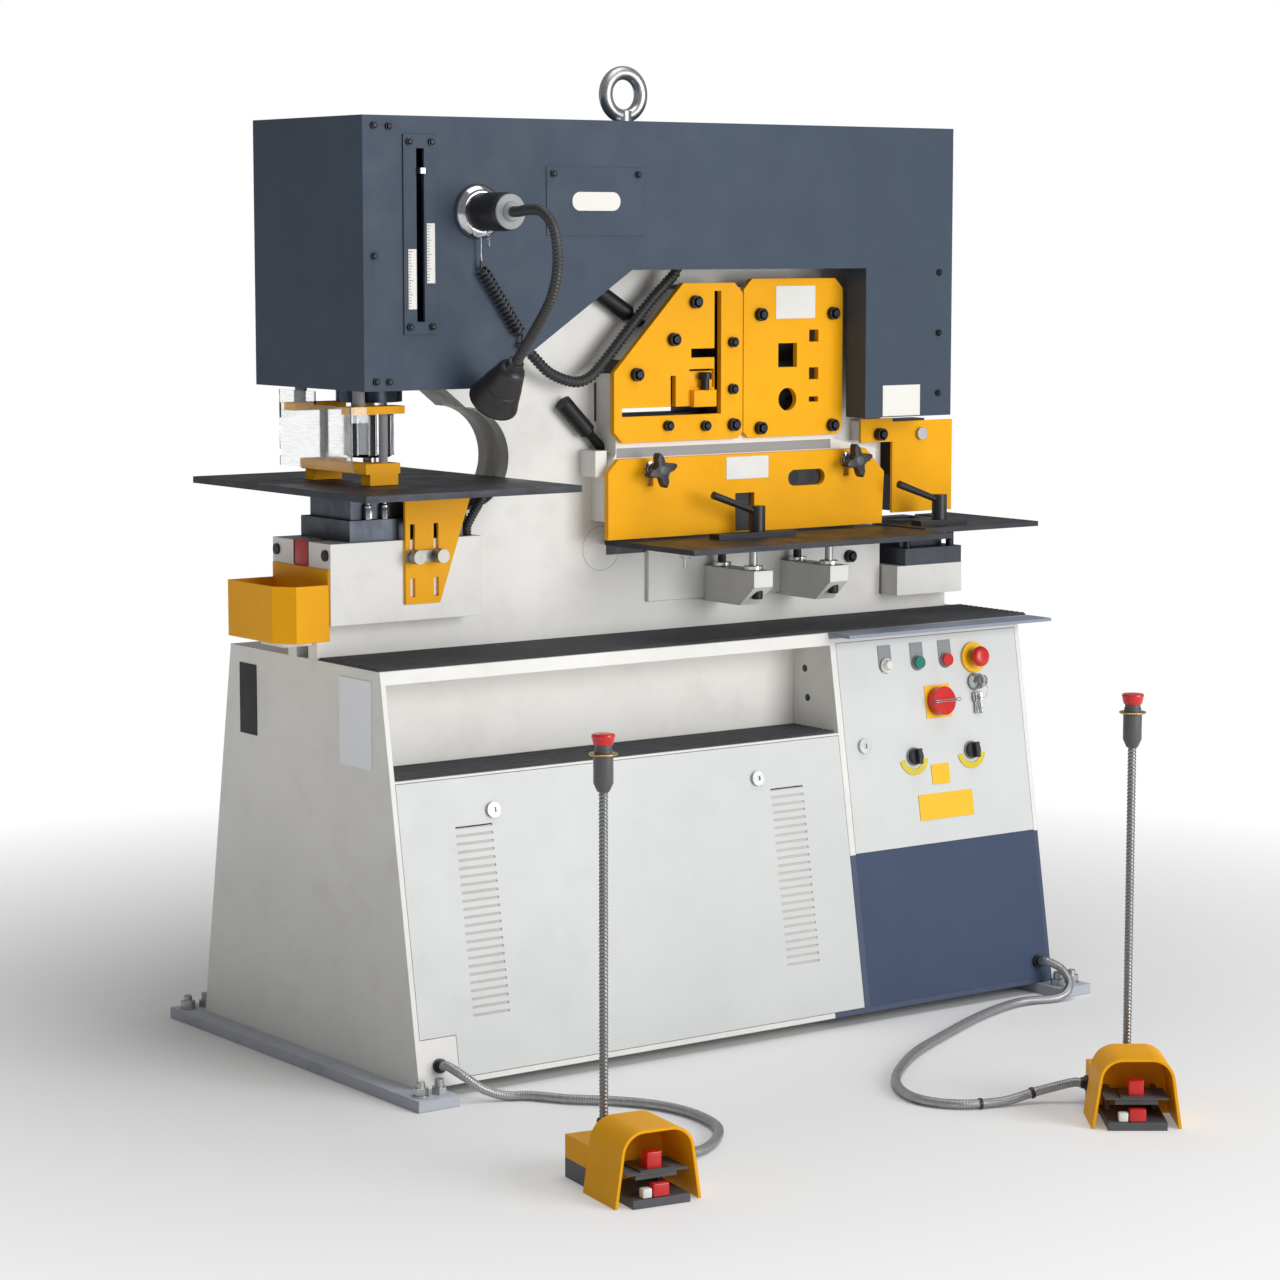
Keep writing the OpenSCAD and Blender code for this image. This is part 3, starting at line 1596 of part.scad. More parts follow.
notch_ear_h = 47;
clamp_slot_h = 70;
clamp_slot_w = 58;
clamp_share = [0.67, 0.335];
side_slot_w = 12;
side_slot_h = 62;
side_slot_share = [0.45, 0.31];
upper_slot_h = 17;
upper_slot_share = [0.685, 0.555];

function angle_point(s) = [angle_x + angle_w * s[0], plate_z + angle_h * s[1]];

module slot_at_share(s, w, h)
    block(angle_point(s)[0] - w / 2, angle_point(s)[0] + w / 2, -yellow_y - cut, -block_y + cut,
        angle_point(s)[1] - h / 2, angle_point(s)[1] + h / 2);

module shear_plates() {
    color("Orange") {
        difference() {
            prism_y(angle_outline, -yellow_y, -block_y);
            angle_aperture(-yellow_y - cut, -block_y + cut, 0);
            slot_at_share(clamp_share, clamp_slot_w, clamp_slot_h);
            slot_at_share(side_slot_share, side_slot_w, side_slot_h);
            slot_at_share(upper_slot_share, clamp_slot_w, upper_slot_h);
        }
        // clamp of the angle stock in its slot
        block(angle_point(clamp_share)[0] - clamp_slot_w / 2,
            angle_point(clamp_share)[0] + clamp_slot_w / 2, -yellow_y, -block_y,
            angle_point(clamp_share)[1] - clamp_slot_h / 2, angle_point(clamp_share)[1]);
        difference() {
            prism_y(bar_outline, -yellow_y, -block_y);
            bar_apertures(-yellow_y - cut, -block_y + cut);
        }
        block(at(notch_guard_at), at(notch_guard_at + notch_guard_w), -notch_guard_out - notch_guard_t,
            -notch_guard_out,
            up(notch_guard_rise), up(notch_guard_rise + notch_guard_h));
        block(at(notch_ear_at), at(notch_guard_at), -notch_guard_out - notch_guard_t, -notch_guard_out,
            up(notch_ear_rise),
            up(notch_ear_rise + notch_ear_h));
    }
}

// White blocks on the frame

block_margin = 12;
block_z = up(block_rise);
front_block_outline = [[angle_x, block_z], [at(flat_guard_at + flat_guard_len) - block_margin, block_z],
    [at(flat_guard_at + flat_guard_len) - block_margin, plate_z - plate_corner - block_margin],
    [bar_x + bar_w - block_margin, plate_z - plate_corner / 2], [bar_x + bar_w - block_margin,
        plate_z + bar_h - block_margin],
    [angle_x + angle_w * angle_diag_w_share + block_margin / 2, plate_z + angle_h - block_margin],
    [angle_x + block_margin, plate_z + angle_h * angle_diag_share - block_margin / 4],
    [angle_x + block_margin, plate_z - plate_corner], [angle_x, plate_z - 2 * plate_corner]];
lug_w = 26;
lug_rise = 306;
lug_h = 49;
mount_w = 40;
mount_rise = 820;
mount_left_at = 330;
mount_right_at = 1240;
mount_right_rise = 640;
brace_at = 728;
brace_w = 402;
brace_rise = 60;
brace_t = 9;
shelf_len = 62;
shelf_half = 40;
shelf_t = 12;
arm_low_h = 68;
arm_top_rise = 122;
arm_nose = 31;
clip_w = 30;
clip_h = 24;

// Hold-down screws: tip place and direction
hold_upper_tip = [718, 580];
hold_lower_tip = [646, 324];
hold_upper_angle = 31.5;
hold_lower_angle = 45;

module along_hold(p, a)
    translate([at(p[0]), -hold_out, up(p[1])])
        rotate([0, -90 + a, 0])
            children();

module hold_bore(p, a)
    along_hold(p, a)
        translate([0, 0, -hold_travel * 2])
            cylinder(h = grip_len * 2, d = hold_d + 2 * slack);

module white_blocks() {
    color("Beige") {
        // bolster with cheeks and chute slot
        difference() {
            union() {
                block(at(0), at(bolster_len) - slack * 2, -bolster_half, bolster_half, arm_z, bolster_z);
                for (s = [0, 1])
                    mirror([0, s, 0])
                        block(at(0), at(bolster_len) - slack * 2, frame_half, bolster_half,
                            arm_z - cheek_h, bolster_z);
            }
            block(at(0) - cut, at(chute_end_at), -chute_w / 2, chute_w / 2, arm_z - cut, bolster_z + cut);
        }
        // front block behind the yellow plates
        difference() {
            prism_y(front_block_outline, -block_y, -frame_half);
            windows(-block_y - cut, -frame_half + cut);
            hold_bore(hold_upper_tip, hold_upper_angle);
            hold_bore(hold_lower_tip, hold_lower_angle);
            for (d = [wing_left_at, wing_right_at])
                rod_y(at(d), up(wing_rise), wing_bolt_d + 2 * fit, -block_y - cut, -block_y + yellow_t * 2);
        }
        // lug beside the lower hold-down screw
        block(angle_x - lug_w, angle_x, -block_y + block_margin, -frame_half, up(lug_rise),
            up(lug_rise + lug_h));
        // head mounts
        for (s = [0, 1])
            mirror([0, s, 0]) {
                block(at(mount_left_at), at(mount_left_at) + mount_w, frame_half, head_front - head_t,
                    up(mount_rise),
                    up(mount_rise) + mount_w);
                block(at(mount_right_at), at(mount_right_at) + mount_w, frame_half, head_front - head_t,
                    up(mount_right_rise),
                    up(mount_right_rise) + mount_w);
            }
        // table brace with two arms
        block(at(brace_at), at(brace_at + brace_w), -frame_half - brace_t, -frame_half, up(brace_rise),
            flat_z - side_t);
        for (k = [0, 1])
            prism_x([[-frame_half - brace_t, up(arm_top_rise)], [-arm_reach, up(arm_top_rise)],
                    [-arm_reach, up(arm_top_rise - arm_nose)], [-arm_reach + arm_w,
                        up(arm_top_rise - arm_low_h)],
                    [-frame_half - brace_t, up(arm_top_rise - arm_low_h)]],
                at(arm_at + k * arm_pitch), at(arm_at + k * arm_pitch) + arm_w);
        // bin shelf
        block(at(0) - shelf_len, at(0), -shelf_half, shelf_half, up(bin_rise) - shelf_t - slack,
            up(bin_rise) - slack);
        // notch support
        block(at(frame_right_at) + block_margin / 3, at(foot_at), -bolster_half, bolster_half,
            up(foot_rise), notch_z);
        // notch guard spacer
        block(at(notch_ear_at) + block_margin / 3, at(frame_right_at), -notch_guard_out, -frame_half,
            up(notch_ear_rise) + block_margin / 3, up(notch_ear_rise + notch_ear_h) - block_margin / 3);
        // conduit clips
        for (p = [conduit_start, conduit_end])
            block(p[0] - clip_w / 2, p[0] + clip_w / 2, -conduit_out - clip_w / 2, -frame_half, p[2],
                p[2] + clip_h);
    }
}

// Flat-shear guard with its knobs

guard_gap = slack;
guard_window_at = 886;
guard_window_w = 46;
guard_window_h = 75;
guard_slot_at = 1015;
guard_slot_w = 91;
guard_slot_h = 31;
guard_slot_rise = 272;
guard_corner = 24;
guard_x0 = at(flat_guard_at);
guard_x1 = at(flat_guard_at + flat_guard_len);
guard_z0 = up(flat_guard_rise);
guard_z1 = up(flat_guard_rise + flat_guard_h);

module flat_guard()
    color("Orange")
        difference() {
            prism_y([[guard_x0, guard_z0], [guard_x1 - plate_corner / 4, guard_z0], [guard_x1,
                guard_z1 - 2 * guard_corner],
                    [guard_x1 - 2 * guard_corner, guard_z1], [guard_x0 + guard_corner, guard_z1],
                    [guard_x0, guard_z1 - guard_corner]],
                -yellow_y - guard_gap, -block_y - guard_gap);
            block(at(guard_window_at), at(guard_window_at + guard_window_w), -yellow_y - cut,
                -block_y + cut,
                guard_z0 + guard_gap * 4, guard_z0 + guard_window_h);
            block(at(guard_slot_at) + guard_slot_h / 2, at(guard_slot_at + guard_slot_w) - guard_slot_h / 2,
                -yellow_y - cut, -block_y + cut, up(guard_slot_rise), up(guard_slot_rise) + guard_slot_h);
            for (x = [guard_slot_h / 2, guard_slot_w - guard_slot_h / 2])
                rod_y(at(guard_slot_at) + x, up(guard_slot_rise) + guard_slot_h / 2, guard_slot_h,
                    -yellow_y - cut, -block_y + cut);
            for (d = [wing_left_at, wing_right_at])
                block(at(d) - wing_bolt_d / 2 - slack, at(d) + wing_bolt_d / 2 + slack, -yellow_y - cut,
                    -block_y + cut,
                    up(wing_rise) - wing_bolt_d / 2 - slack - flat_guard_travel,
                    up(wing_rise) + wing_bolt_d / 2 + slack);
        }

wing_boss_d = 30;
wing_boss_t = 16;
wing_t = 9;
wing_h = 30;
wing_grip = 20;
wing_cut_share = 0.45;

// Wing knob along -Y with its face on the guard
module wing_knob(x)
    color("Black")
        translate([at(x), -yellow_y - guard_gap - slack, up(wing_rise)])
            rotate([90, 0, 0]) {
                translate([0, 0, -yellow_t - slack - guard_gap - wing_grip])
                    cylinder(h = yellow_t + slack + guard_gap + wing_grip, d = wing_bolt_d);
                cylinder(h = wing_boss_t, d = wing_boss_d);
                for (a = [45, 135])
                    rotate([0, 0, a])
                        difference() {
                            translate([-wing_span / 2, -wing_t / 2, wing_boss_t / 2])
                                cube([wing_span, wing_t, wing_h]);
                            translate([0, wing_t, wing_boss_t / 2 + wing_h])
                                rotate([90, 0, 0])
                                    cylinder(h = 2 * wing_t, d = wing_span * wing_cut_share);
                        }
            }

module wing_knob_left()
    wing_knob(wing_left_at);

module wing_knob_right()
    wing_knob(wing_right_at);

// Side tables with fences and clamp levers

flat_back = frame_half + brace_t + 2 * slack;
fence_at = 793;
fence_len = 184;
fence_y = -196;
fence_w = 30;
fence_t = 10;
notch_back = 47;
notch_cut = 68;
flat_hub_at = 896;
notch_hub_at = 1365;
notch_hub_y = -168;
notch_fence_len = 120;
hub_d = 30;
hub_h = 49;
lever_len = 106;
lever_d = 12;
lever_end_d = 15;
lever_rise = 37;
hub_bolt_d = 10;

module fence_hole(x, y)
    translate([at(x), y, flat_z - side_t - cut])
        cylinder(h = side_t + fence_t + 2 * cut, d = hub_bolt_d + 2 * fit);

module side_tables() {
    color("LightSteelBlue") {
        difference() {
            union() {
                block(at(flat_at), at(flat_at + flat_len), -flat_front, -flat_back, flat_z - side_t,
                    flat_z);
                block(at(fence_at), at(fence_at + fence_len), fence_y, fence_y + fence_w, flat_z,
                    flat_z + fence_t);
            }
            fence_hole(flat_hub_at, fence_y + fence_w / 2);
        }
        difference() {
            union() {
                translate([0, 0, flat_z - side_t])
                    linear_extrude(side_t)
                        polygon([[at(notch_at), -notch_front], [at(notch_at + notch_len), -notch_front],
                            [at(notch_at + notch_len), notch_back], [at(foot_at) + cut, notch_back],
                            [at(foot_at) + cut, -notch_cut], [at(notch_at), -notch_cut]]);
                block(at(notch_hub_at) - notch_fence_len / 2, at(notch_hub_at) + notch_fence_len / 2,
                    notch_hub_y - fence_w / 2,
                    notch_hub_y + fence_w / 2, flat_z, flat_z + fence_t);
            }
            fence_hole(notch_hub_at, notch_hub_y);
        }
    }
}

// Clamp lever with its pivot on the fence
module clamp_lever() {
    translate([0, 0, -fence_t - side_t])
        cylinder(h = fence_t + side_t + slack, d = hub_bolt_d);
    translate([0, 0, slack])
        cylinder(h = hub_h, d = hub_d);
    translate([0, 0, hub_h - lever_d])
        rotate([0, -90 + atan(lever_rise / lever_len), 0])
            cylinder(h = norm([lever_len, lever_rise]), d1 = lever_d, d2 = lever_end_d);
}

module flat_lever()
    color("Black")
        translate([at(flat_hub_at), fence_y + fence_w / 2, flat_z + fence_t])
            clamp_lever();

module notch_lever()
    color("Black")
        translate([at(notch_hub_at), notch_hub_y, flat_z + fence_t])
            clamp_lever();

hold_rod_len = 44;
hold_lower_rod_len = 84;
grip_neck = 10;

// Hold-down screw: threaded rod from its tip, then the grip
module hold_down(rod_len) {
    cylinder(h = rod_len + grip_neck, d = hold_d);
    translate([0, 0, rod_len])
        cylinder(h = grip_neck, d1 = hold_d, d2 = grip_d - grip_neck / 2);
    translate([0, 0, rod_len + grip_neck])
        cylinder(h = grip_len - grip_neck, d = grip_d);
}

module hold_down_upper()
    color("Black")
        along_hold(hold_upper_tip, hold_upper_angle)
            hold_down(hold_rod_len);

module hold_down_lower()
    color("Black")
        along_hold(hold_lower_tip, hold_lower_angle)
            hold_down(hold_lower_rod_len);

// Screws, studs and clamp parts

big_head_d = 25;
small_head_d = 20;
head_h = 4;
angle_big_shares = [[0.615, 0.88], [0.447, 0.645], [0.164, 0.43], [0.915, 0.09]];
angle_small_shares = [[0.908, 0.62], [0.908, 0.32], [0.694, 0.09], [0.405, 0.1]];
bar_big_shares = [[0.16, 0.775], [0.89, 0.775], [0.16, 0.06], [0.89, 0.06]];
bolster_screw_y = 85;
bolster_screw_rise = 190;
clamp_bar_h = 22;
clamp_bar_w = 78;
clamp_bar_t = 6;
clamp_knob_d = 26;
clamp_knob_t = 20;
clamp_bar_drop = 118;
table_stud_y = [85, 183];
washer_d = 36;
washer_t = 8;
nut_d = 28;
nut_h = 12;
notch_stud_at = [1352, 1466];
frame_bolt_at = 1230;
frame_bolt_rise = 119;
ear_bolts = [[1275, 362], [1384, 360]];

module fasteners() {
    color("DimGray") {
        for (s = angle_big_shares)
            rod_y(angle_point(s)[0], angle_point(s)[1], big_head_d, -yellow_y - head_h, -yellow_y);
        for (s = angle_small_shares)
            rod_y(angle_point(s)[0], angle_point(s)[1], small_head_d, -yellow_y - head_h, -yellow_y);
        for (s = bar_big_shares)
            rod_y(bar_point(s)[0], bar_point(s)[1], big_head_d, -yellow_y - head_h, -yellow_y);
        for (s = [-1, 1])
            rod_x(s * bolster_screw_y, up(bolster_screw_rise), small_head_d, at(0) - head_h, at(0));
        // clamp bar of the table bracket
        block(at(bracket_at), at(bracket_at) + clamp_bar_w, -bolster_half - bracket_t - clamp_bar_t,
            -bolster_half - bracket_t,
            bracket_top - clamp_bar_drop - clamp_bar_h / 2, bracket_top - clamp_bar_drop + clamp_bar_h / 2);
        for (k = [0, 1])
            rod_y(at(bracket_at + bracket_slot_w * 3 / 2 + k * bracket_slot_gap),
                bracket_top - clamp_bar_drop, clamp_knob_d,
                -bolster_half - bracket_t - clamp_bar_t - clamp_knob_t,
                    -bolster_half - bracket_t - clamp_bar_t);
        // studs under the flat table
        for (k = [0, 1])
            for (y = table_stud_y)
                translate([at(arm_at + k * arm_pitch) + arm_w / 2, -y, up(arm_top_rise)]) {
                    cylinder(h = flat_z - side_t - up(arm_top_rise), d = stud_d);
                    cylinder(h = washer_t, d = washer_d);
                    translate([0, 0, flat_z - side_t - up(arm_top_rise) - nut_h])
                        cylinder(h = nut_h, d = nut_d, $fn = 6);
                }
        // studs under the notch table
        for (d = notch_stud_at)
            translate([at(d), -stud_out, notch_z + notch_body_h])
                cylinder(h = flat_z - side_t - notch_z - notch_body_h, d = stud_d);
        // bolts on the frame and on the notch guard
        rod_y(at(frame_bolt_at), up(frame_bolt_rise), big_head_d, -frame_half - head_h, -frame_half);
        for (p = ear_bolts)
            rod_y(at(p[0]), up(p[1]), big_head_d, -notch_guard_out - notch_guard_t - head_h * 2,
                -notch_guard_out - notch_guard_t);
        // levelling screws with their nuts
        for (s = skid_sides)
            for (e = skid_sides)
                translate([s * (base_len / 2 - hole_offset), e * (skid_len / 2 - hole_margin), 0]) {
                    cylinder(h = level_len, d = level_d);
                    translate([0, 0, skid_t])
                        cylinder(h = nut_h, d = nut_d, $fn = 6);
                }
    }
}

// Foot controls

pedal_at = [[-109, -1114, -8.5], [819, -1197, -36.1]];
rear_margin = 16;
post_y = 165;
post_shifts = [-11, 5];
boss_d = 26;
boss_h = 14;
cheek_t = 8;
cheek_out = 4;
pin_d = 8;
pin_y = 88;
pin_z = 44;
treadle_front = 8;
sole_front = 12;
sole_margin = 26;

module at_pedal(i)
    translate([at(pedal_at[i][0]), pedal_at[i][1], 0])
        rotate([0, 0, pedal_at[i][2]])
            children();

function pedal_side_x(i) = i == 0 ? hood_w - rear_margin : rear_margin;
function pedal_point(i, p) = let (a = pedal_at[i][2])
    [at(pedal_at[i][0]) + p[0] * cos(a) - p[1] * sin(a), pedal_at[i][1] + p[0] * sin(a) + p[1] * cos(a),
        p[2]];

treadle_x0 = (hood_w - treadle_w) / 2;
cheek_x = treadle_x0 - slack - cheek_t;

module pedal_bases() {
    color("DimGray")
        for (i = [0, 1])
            at_pedal(i)
                difference() {
                    union() {
                        block(sole_margin, hood_w - sole_margin, -sole_front, hood_d - hood_t, 0, sole_t);
                        block(rear_margin, hood_w - rear_margin, hood_d, pedal_d, 0, rear_split);
                        for (x = [cheek_x, treadle_x0 + treadle_w + slack])
                            block(x, x + cheek_t, pin_y - pin_d * 2, pin_y + pin_d * 3 / 2, 0,
                                pin_z + pin_d);
                    }
                    rod_x(pin_y, pin_z, pin_d + 2 * fit, cheek_x - cut, hood_w - cheek_x + cut);
                }
}

arch_r = 40;
arch_in = 12;
rear_split = 32;

function arch_touch(c, p, r) = let (d = p - c, a = atan2(d[1], d[0]) + acos(r / norm(d)))
    c + r * [cos(a), sin(a)];

// Splayed arch with round shoulders of radius r
module arch(w, h, r)
    for (s = [0, 1])
        mirror([s, 0])
            let (c = [w / 2 - arch_in - r, h - r], a = arch_touch(c, [w / 2, 0], r)) {
                translate(c)
                    circle(r = r);
                polygon([[0, 0], [w / 2, 0], a, c, [c[0], h], [0, h]]);
            }

module pedal_hoods() {
    color("Orange")
        for (i = [0, 1])
            at_pedal(i) {
                difference() {
                    translate([hood_w / 2, hood_d, 0])
                        rotate([90, 0, 0])
                            linear_extrude(hood_d)
                                arch(hood_w, hood_h, arch_r);
                    translate([hood_w / 2, hood_d - hood_t, -cut])
                        rotate([90, 0, 0])
                            linear_extrude(hood_d)
                                arch(hood_w - 2 * hood_t, hood_h - hood_t + cut, arch_r - hood_t);
                }
                block(rear_margin, hood_w - rear_margin, hood_d, pedal_d, rear_split, rear_h);
                translate([hood_w / 2 + post_shifts[i], post_y, rear_h - hood_t])
                    cylinder(h = boss_h + hood_t, d = boss_d);
            }
}

red_pad_t = 5;
pad_share = 0.55;

module treadle(i)
    at_pedal(i) {
        block(treadle_x0, treadle_x0 + treadle_w, treadle_front, pin_y, pin_z - treadle_t / 2,
            pin_z + treadle_t / 2);
        block(treadle_x0 + treadle_t, treadle_x0 + treadle_w - treadle_t, treadle_front,
            treadle_front + hood_d * pad_share,
            pin_z + treadle_t / 2, pin_z + treadle_t / 2 + red_pad_t);
        rod_x(pin_y, pin_z, pin_d, cheek_x, hood_w - cheek_x);
    }

module treadle_left()
    color("Gray")
        treadle(0);

module treadle_right()
    color("Gray")
        treadle(1);

post_z = rear_h + boss_h;
post_ribs = 48;
post_rib_h = 1.5;
post_bore_share = 0.55;
post_collar_d = 46;
post_collar_t = 3;
post_collar_drop = 9;
post_taper = 14;
post_stem_d = 12;
post_stem_len = 26;

module pedal_posts() {
    color("Silver")
        for (i = [0, 1])
            at_pedal(i)
                translate([hood_w / 2 + post_shifts[i], post_y, 0]) {
                    straight_hose(post_z, post_top, post_d / 2, post_rib_h, post_ribs,
                        post_d * post_bore_share / 2);
                    difference() {
                        union() {
                            translate([0, 0, post_top])
                                cylinder(h = post_taper, d1 = post_d + post_rib_h, d2 = post_head_d);
                            translate([0, 0, post_top + post_taper])
                                cylinder(h = post_head_h - post_taper, d = post_head_d);
                            translate([0, 0, post_top + post_head_h - post_collar_drop])
                                cylinder(h = post_collar_t, d = post_collar_d);
                        }
                        translate([0, 0, post_top + post_head_h - post_stem_len - slack - button_travel])
                            cylinder(h = post_stem_len + slack + button_travel + cut,
                                d = post_stem_d + 2 * fit);
                    }
                }
}

module post_estop(i)
    color("Crimson")
        at_pedal(i)
            translate([hood_w / 2 + post_shifts[i], post_y, post_top + post_head_h])
                mushroom(post_estop_d, post_stem_d, post_stem_len, post_neck);

module estop_left()
    post_estop(0);

module estop_right()
    post_estop(1);

// Swept tubes

function curve(a, b, c, d, t) = (2 * b + (c - a) * t + (2 * a - 5 * b + 4 * c - d) * t * t
    + (3 * b - a - 3 * c + d) * t * t * t) / 2;
function smooth(p, n) = concat([for (i = [0 : len(p) - 2]) for (k = [0 : n - 1])
    curve(p[max(i - 1, 0)], p[i], p[i + 1], p[min(i + 2, len(p) - 1)], k / n)], [p[len(p) - 1]]);
function tangent(p, i) = unit(p[min(i + 1, len(p) - 1)] - p[max(i - 1, 0)]);
function ring(p, i, r, n, ref) = let (t = tangent(p, i), s = unit(cross(t, ref)), u = cross(s, t))
    [for (k = [0 : n - 1]) p[i] + r * (cos(360 * k / n) * s + sin(360 * k / n) * u)];
function carried(p, ref) = [for (i = 0, s = unit(cross(tangent(p, 0), ref)); i < len(p);
    s = let (t = tangent(p, min(i + 1, len(p) - 1))) unit(s - t * (s * t)), i = i + 1) s];
function carried_ring(p, i, r, n, s) = let (u = cross(s, tangent(p, i)))
    [for (k = [0 : n - 1]) p[i] + r * (cos(360 * k / n) * s + sin(360 * k / n) * u)];
function flat_list(a) = [for (b = a) for (c = b) c];
function run(p) = [for (i = 0, s = 0; i < len(p); s = s + (i + 1 < len(p) ? norm(p[i + 1] - p[i]) : 0),
    i = i + 1) s];
function spot(p, r, d, i = 0) = i + 2 >= len(p) || r[i + 1] >= d ? share(p[i], p[i + 1],
    (d - r[i]) / (r[i + 1] - r[i]))
    : spot(p, r, d, i + 1);
function even(p, n) = let (r = run(p), l = r[len(r) - 1]) [for (k = [0 : n]) spot(p, r, l * k / n)];

function wall_faces(from, m, n, turn) = [for (i = [0 : m - 2]) for (k = [0 : n - 1]) for (h = [0, 1])
    let (a = from + i * n + k, b = from + i * n + (k + 1) % n, c = a + n, d = b + n)
    turn ? (h == 0 ? [a, c, b] : [b, c, d]) : (h == 0 ? [a, b, c] : [b, d, c])];
function cap_faces(from, n, turn) = [for (k = [1 : n - 2]) turn ? [from, from + k, from + k + 1] : [from,
    from + k + 1, from + k]];
function lip_faces(a0, b0, n, turn) = [for (k = [0 : n - 1]) for (h = [0, 1])
    let (a = a0 + k, b = a0 + (k + 1) % n, c = b0 + k, d = b0 + (k + 1) % n)
    turn ? (h == 0 ? [a, b, c] : [b, d, c]) : (h == 0 ? [a, c, b] : [b, c, d])];

// Solid tube over rings
module solid_tube(rings) {
    m = len(rings);
    n = len(rings[0]);
    polyhedron(flat_list(rings), concat(wall_faces(0, m, n, false), cap_faces(0, n, false),
        cap_faces((m - 1) * n, n, true)));
}

// Tube with a bore: outer rings and inner rings share their end planes
module bored_tube(outer, inner) {
    m = len(outer);
    q = len(inner);
    n = len(outer[0]);
    polyhedron(flat_list(concat(outer, inner)), concat(wall_faces(0, m, n, false), wall_faces(m * n, q,
        n, true),
        lip_faces(0, m * n, n, false), lip_faces((m - 1) * n, (m + q - 1) * n, n, true)));
}

form_sides = 8;

module straight_hose(z0, z1, r, rib, ribs, bore_r) {
    p = [for (k = [0 : 2 * ribs]) [0, 0, share(z0, z1, k / (2 * ribs))]];
    ends = [p[0], p[2 * ribs]];
    bored_tube([for (k = [0 : 2 * ribs]) ring(p, k, k % 2 == 0 ? r - rib : r, form_sides, [1, 0, 0])],
        [for (k = [0, 1]) ring(ends, k, bore_r, form_sides, [1, 0, 0])]);
}

module curved_hose(p, r, rib, bore_r, ref) {
    m = len(p);
    q = [for (k = [0 : 4 : m - 1]) p[k]];
    bored_tube([for (k = [0 : m - 1]) ring(p, k, k % 2 == 0 ? r - rib : r, form_sides, ref)],
        [for (k = [0 : len(q) - 1]) let (f = ring(p, k * 4, bore_r, form_sides, ref)) f]);
}

cord_sides = 10;
cord_rings = 70;
cord_z = cord_d / 2 + slack;
cord_lead = cord_d;
cord_left_start = front_point(gland_left_at, gland_left_up, gland_len);
cord_left_lead = front_point(gland_left_at, gland_left_up, gland_len + cord_lead);
cord_left_end = pedal_point(0, [pedal_side_x(0) + gland_len, pedal_gland_y, pedal_gland_z]);
cord_left_last = pedal_point(0, [pedal_side_x(0) + gland_len + cord_lead, pedal_gland_y, pedal_gland_z]);
cord_right_start = front_point(gland_right_at, gland_right_up, gland_len);
cord_right_lead = front_point(gland_right_at, gland_right_up, gland_len + cord_lead);
cord_right_end = pedal_point(1, [pedal_side_x(1) - gland_len, pedal_gland_y, pedal_gland_z]);
cord_right_last = pedal_point(1, [pedal_side_x(1) - gland_len - cord_lead, pedal_gland_y, pedal_gland_z]);
cord_left_points = [[62, -428, 46], [92, -444, 22], [128, -460, cord_z], [164, -486, cord_z],
    [205, -545, cord_z], [262, -602, cord_z], [305, -672, cord_z], [318, -755, cord_z], [298, -842, cord_z],
    [245, -905, cord_z], [188, -942, cord_z], [128, -962, 20]];
cord_right_points = [[1470, -428, 54], [1468, -454, 28], [1430, -463, cord_z], [1340, -448, cord_z],
    [1209, -487, cord_z], [1033, -572, cord_z], [891, -651, cord_z], [766, -753, cord_z],
    [705, -841, cord_z], [694, -915, cord_z], [730, -972, cord_z], [800, -998, cord_z], [862, -1014, 20]];
cord_left_route = concat([cord_left_start, cord_left_lead],
    [for (p = cord_left_points) [at(p[0]), p[1], p[2]]], [cord_left_last, cord_left_end]);
cord_right_route = concat([cord_right_start, cord_right_lead],
    [for (p = cord_right_points) [at(p[0]), p[1], p[2]]], [cord_right_last, cord_right_end]);
cord_left_path = even(smooth(cord_left_route, 8), cord_rings);
cord_right_path = even(smooth(cord_right_route, 8), cord_rings);

// First and last ring stand square to their glands
function squared(p, a, b) = concat([p[0], share(p[0], a, 1 / 2)], [for (i = [2 : len(p) - 3]) p[i]],
    [share(p[len(p) - 1], b, 1 / 2), p[len(p) - 1]]);

module cord(p, a, b)
    color("Gray")
        let (q = squared(p, a, b))
            solid_tube([for (k = [0 : len(q) - 1]) ring(q, k, cord_d / 2, cord_sides, [0, 0, 1])]);

module cord_left()
    cord(cord_left_path, cord_left_lead, cord_left_last);

module cord_right()
    cord(cord_right_path, cord_right_lead, cord_right_last);

// Lamp

lamp_x = at(lamp_at);
lamp_z = up(lamp_rise);
lamp_end_y = -head_front - lamp_ring_t - lamp_body_len;
head_tilt = 46;
lamp_head_out = 9;
lamp_head_drop = 260;
lamp_neck_share = 0.8;
lamp_head_top = [lamp_x, lamp_end_y - lamp_head_out, lamp_z - lamp_head_drop];
lamp_shell = 4;
lamp_neck_h = 16;
chain_d = 4;

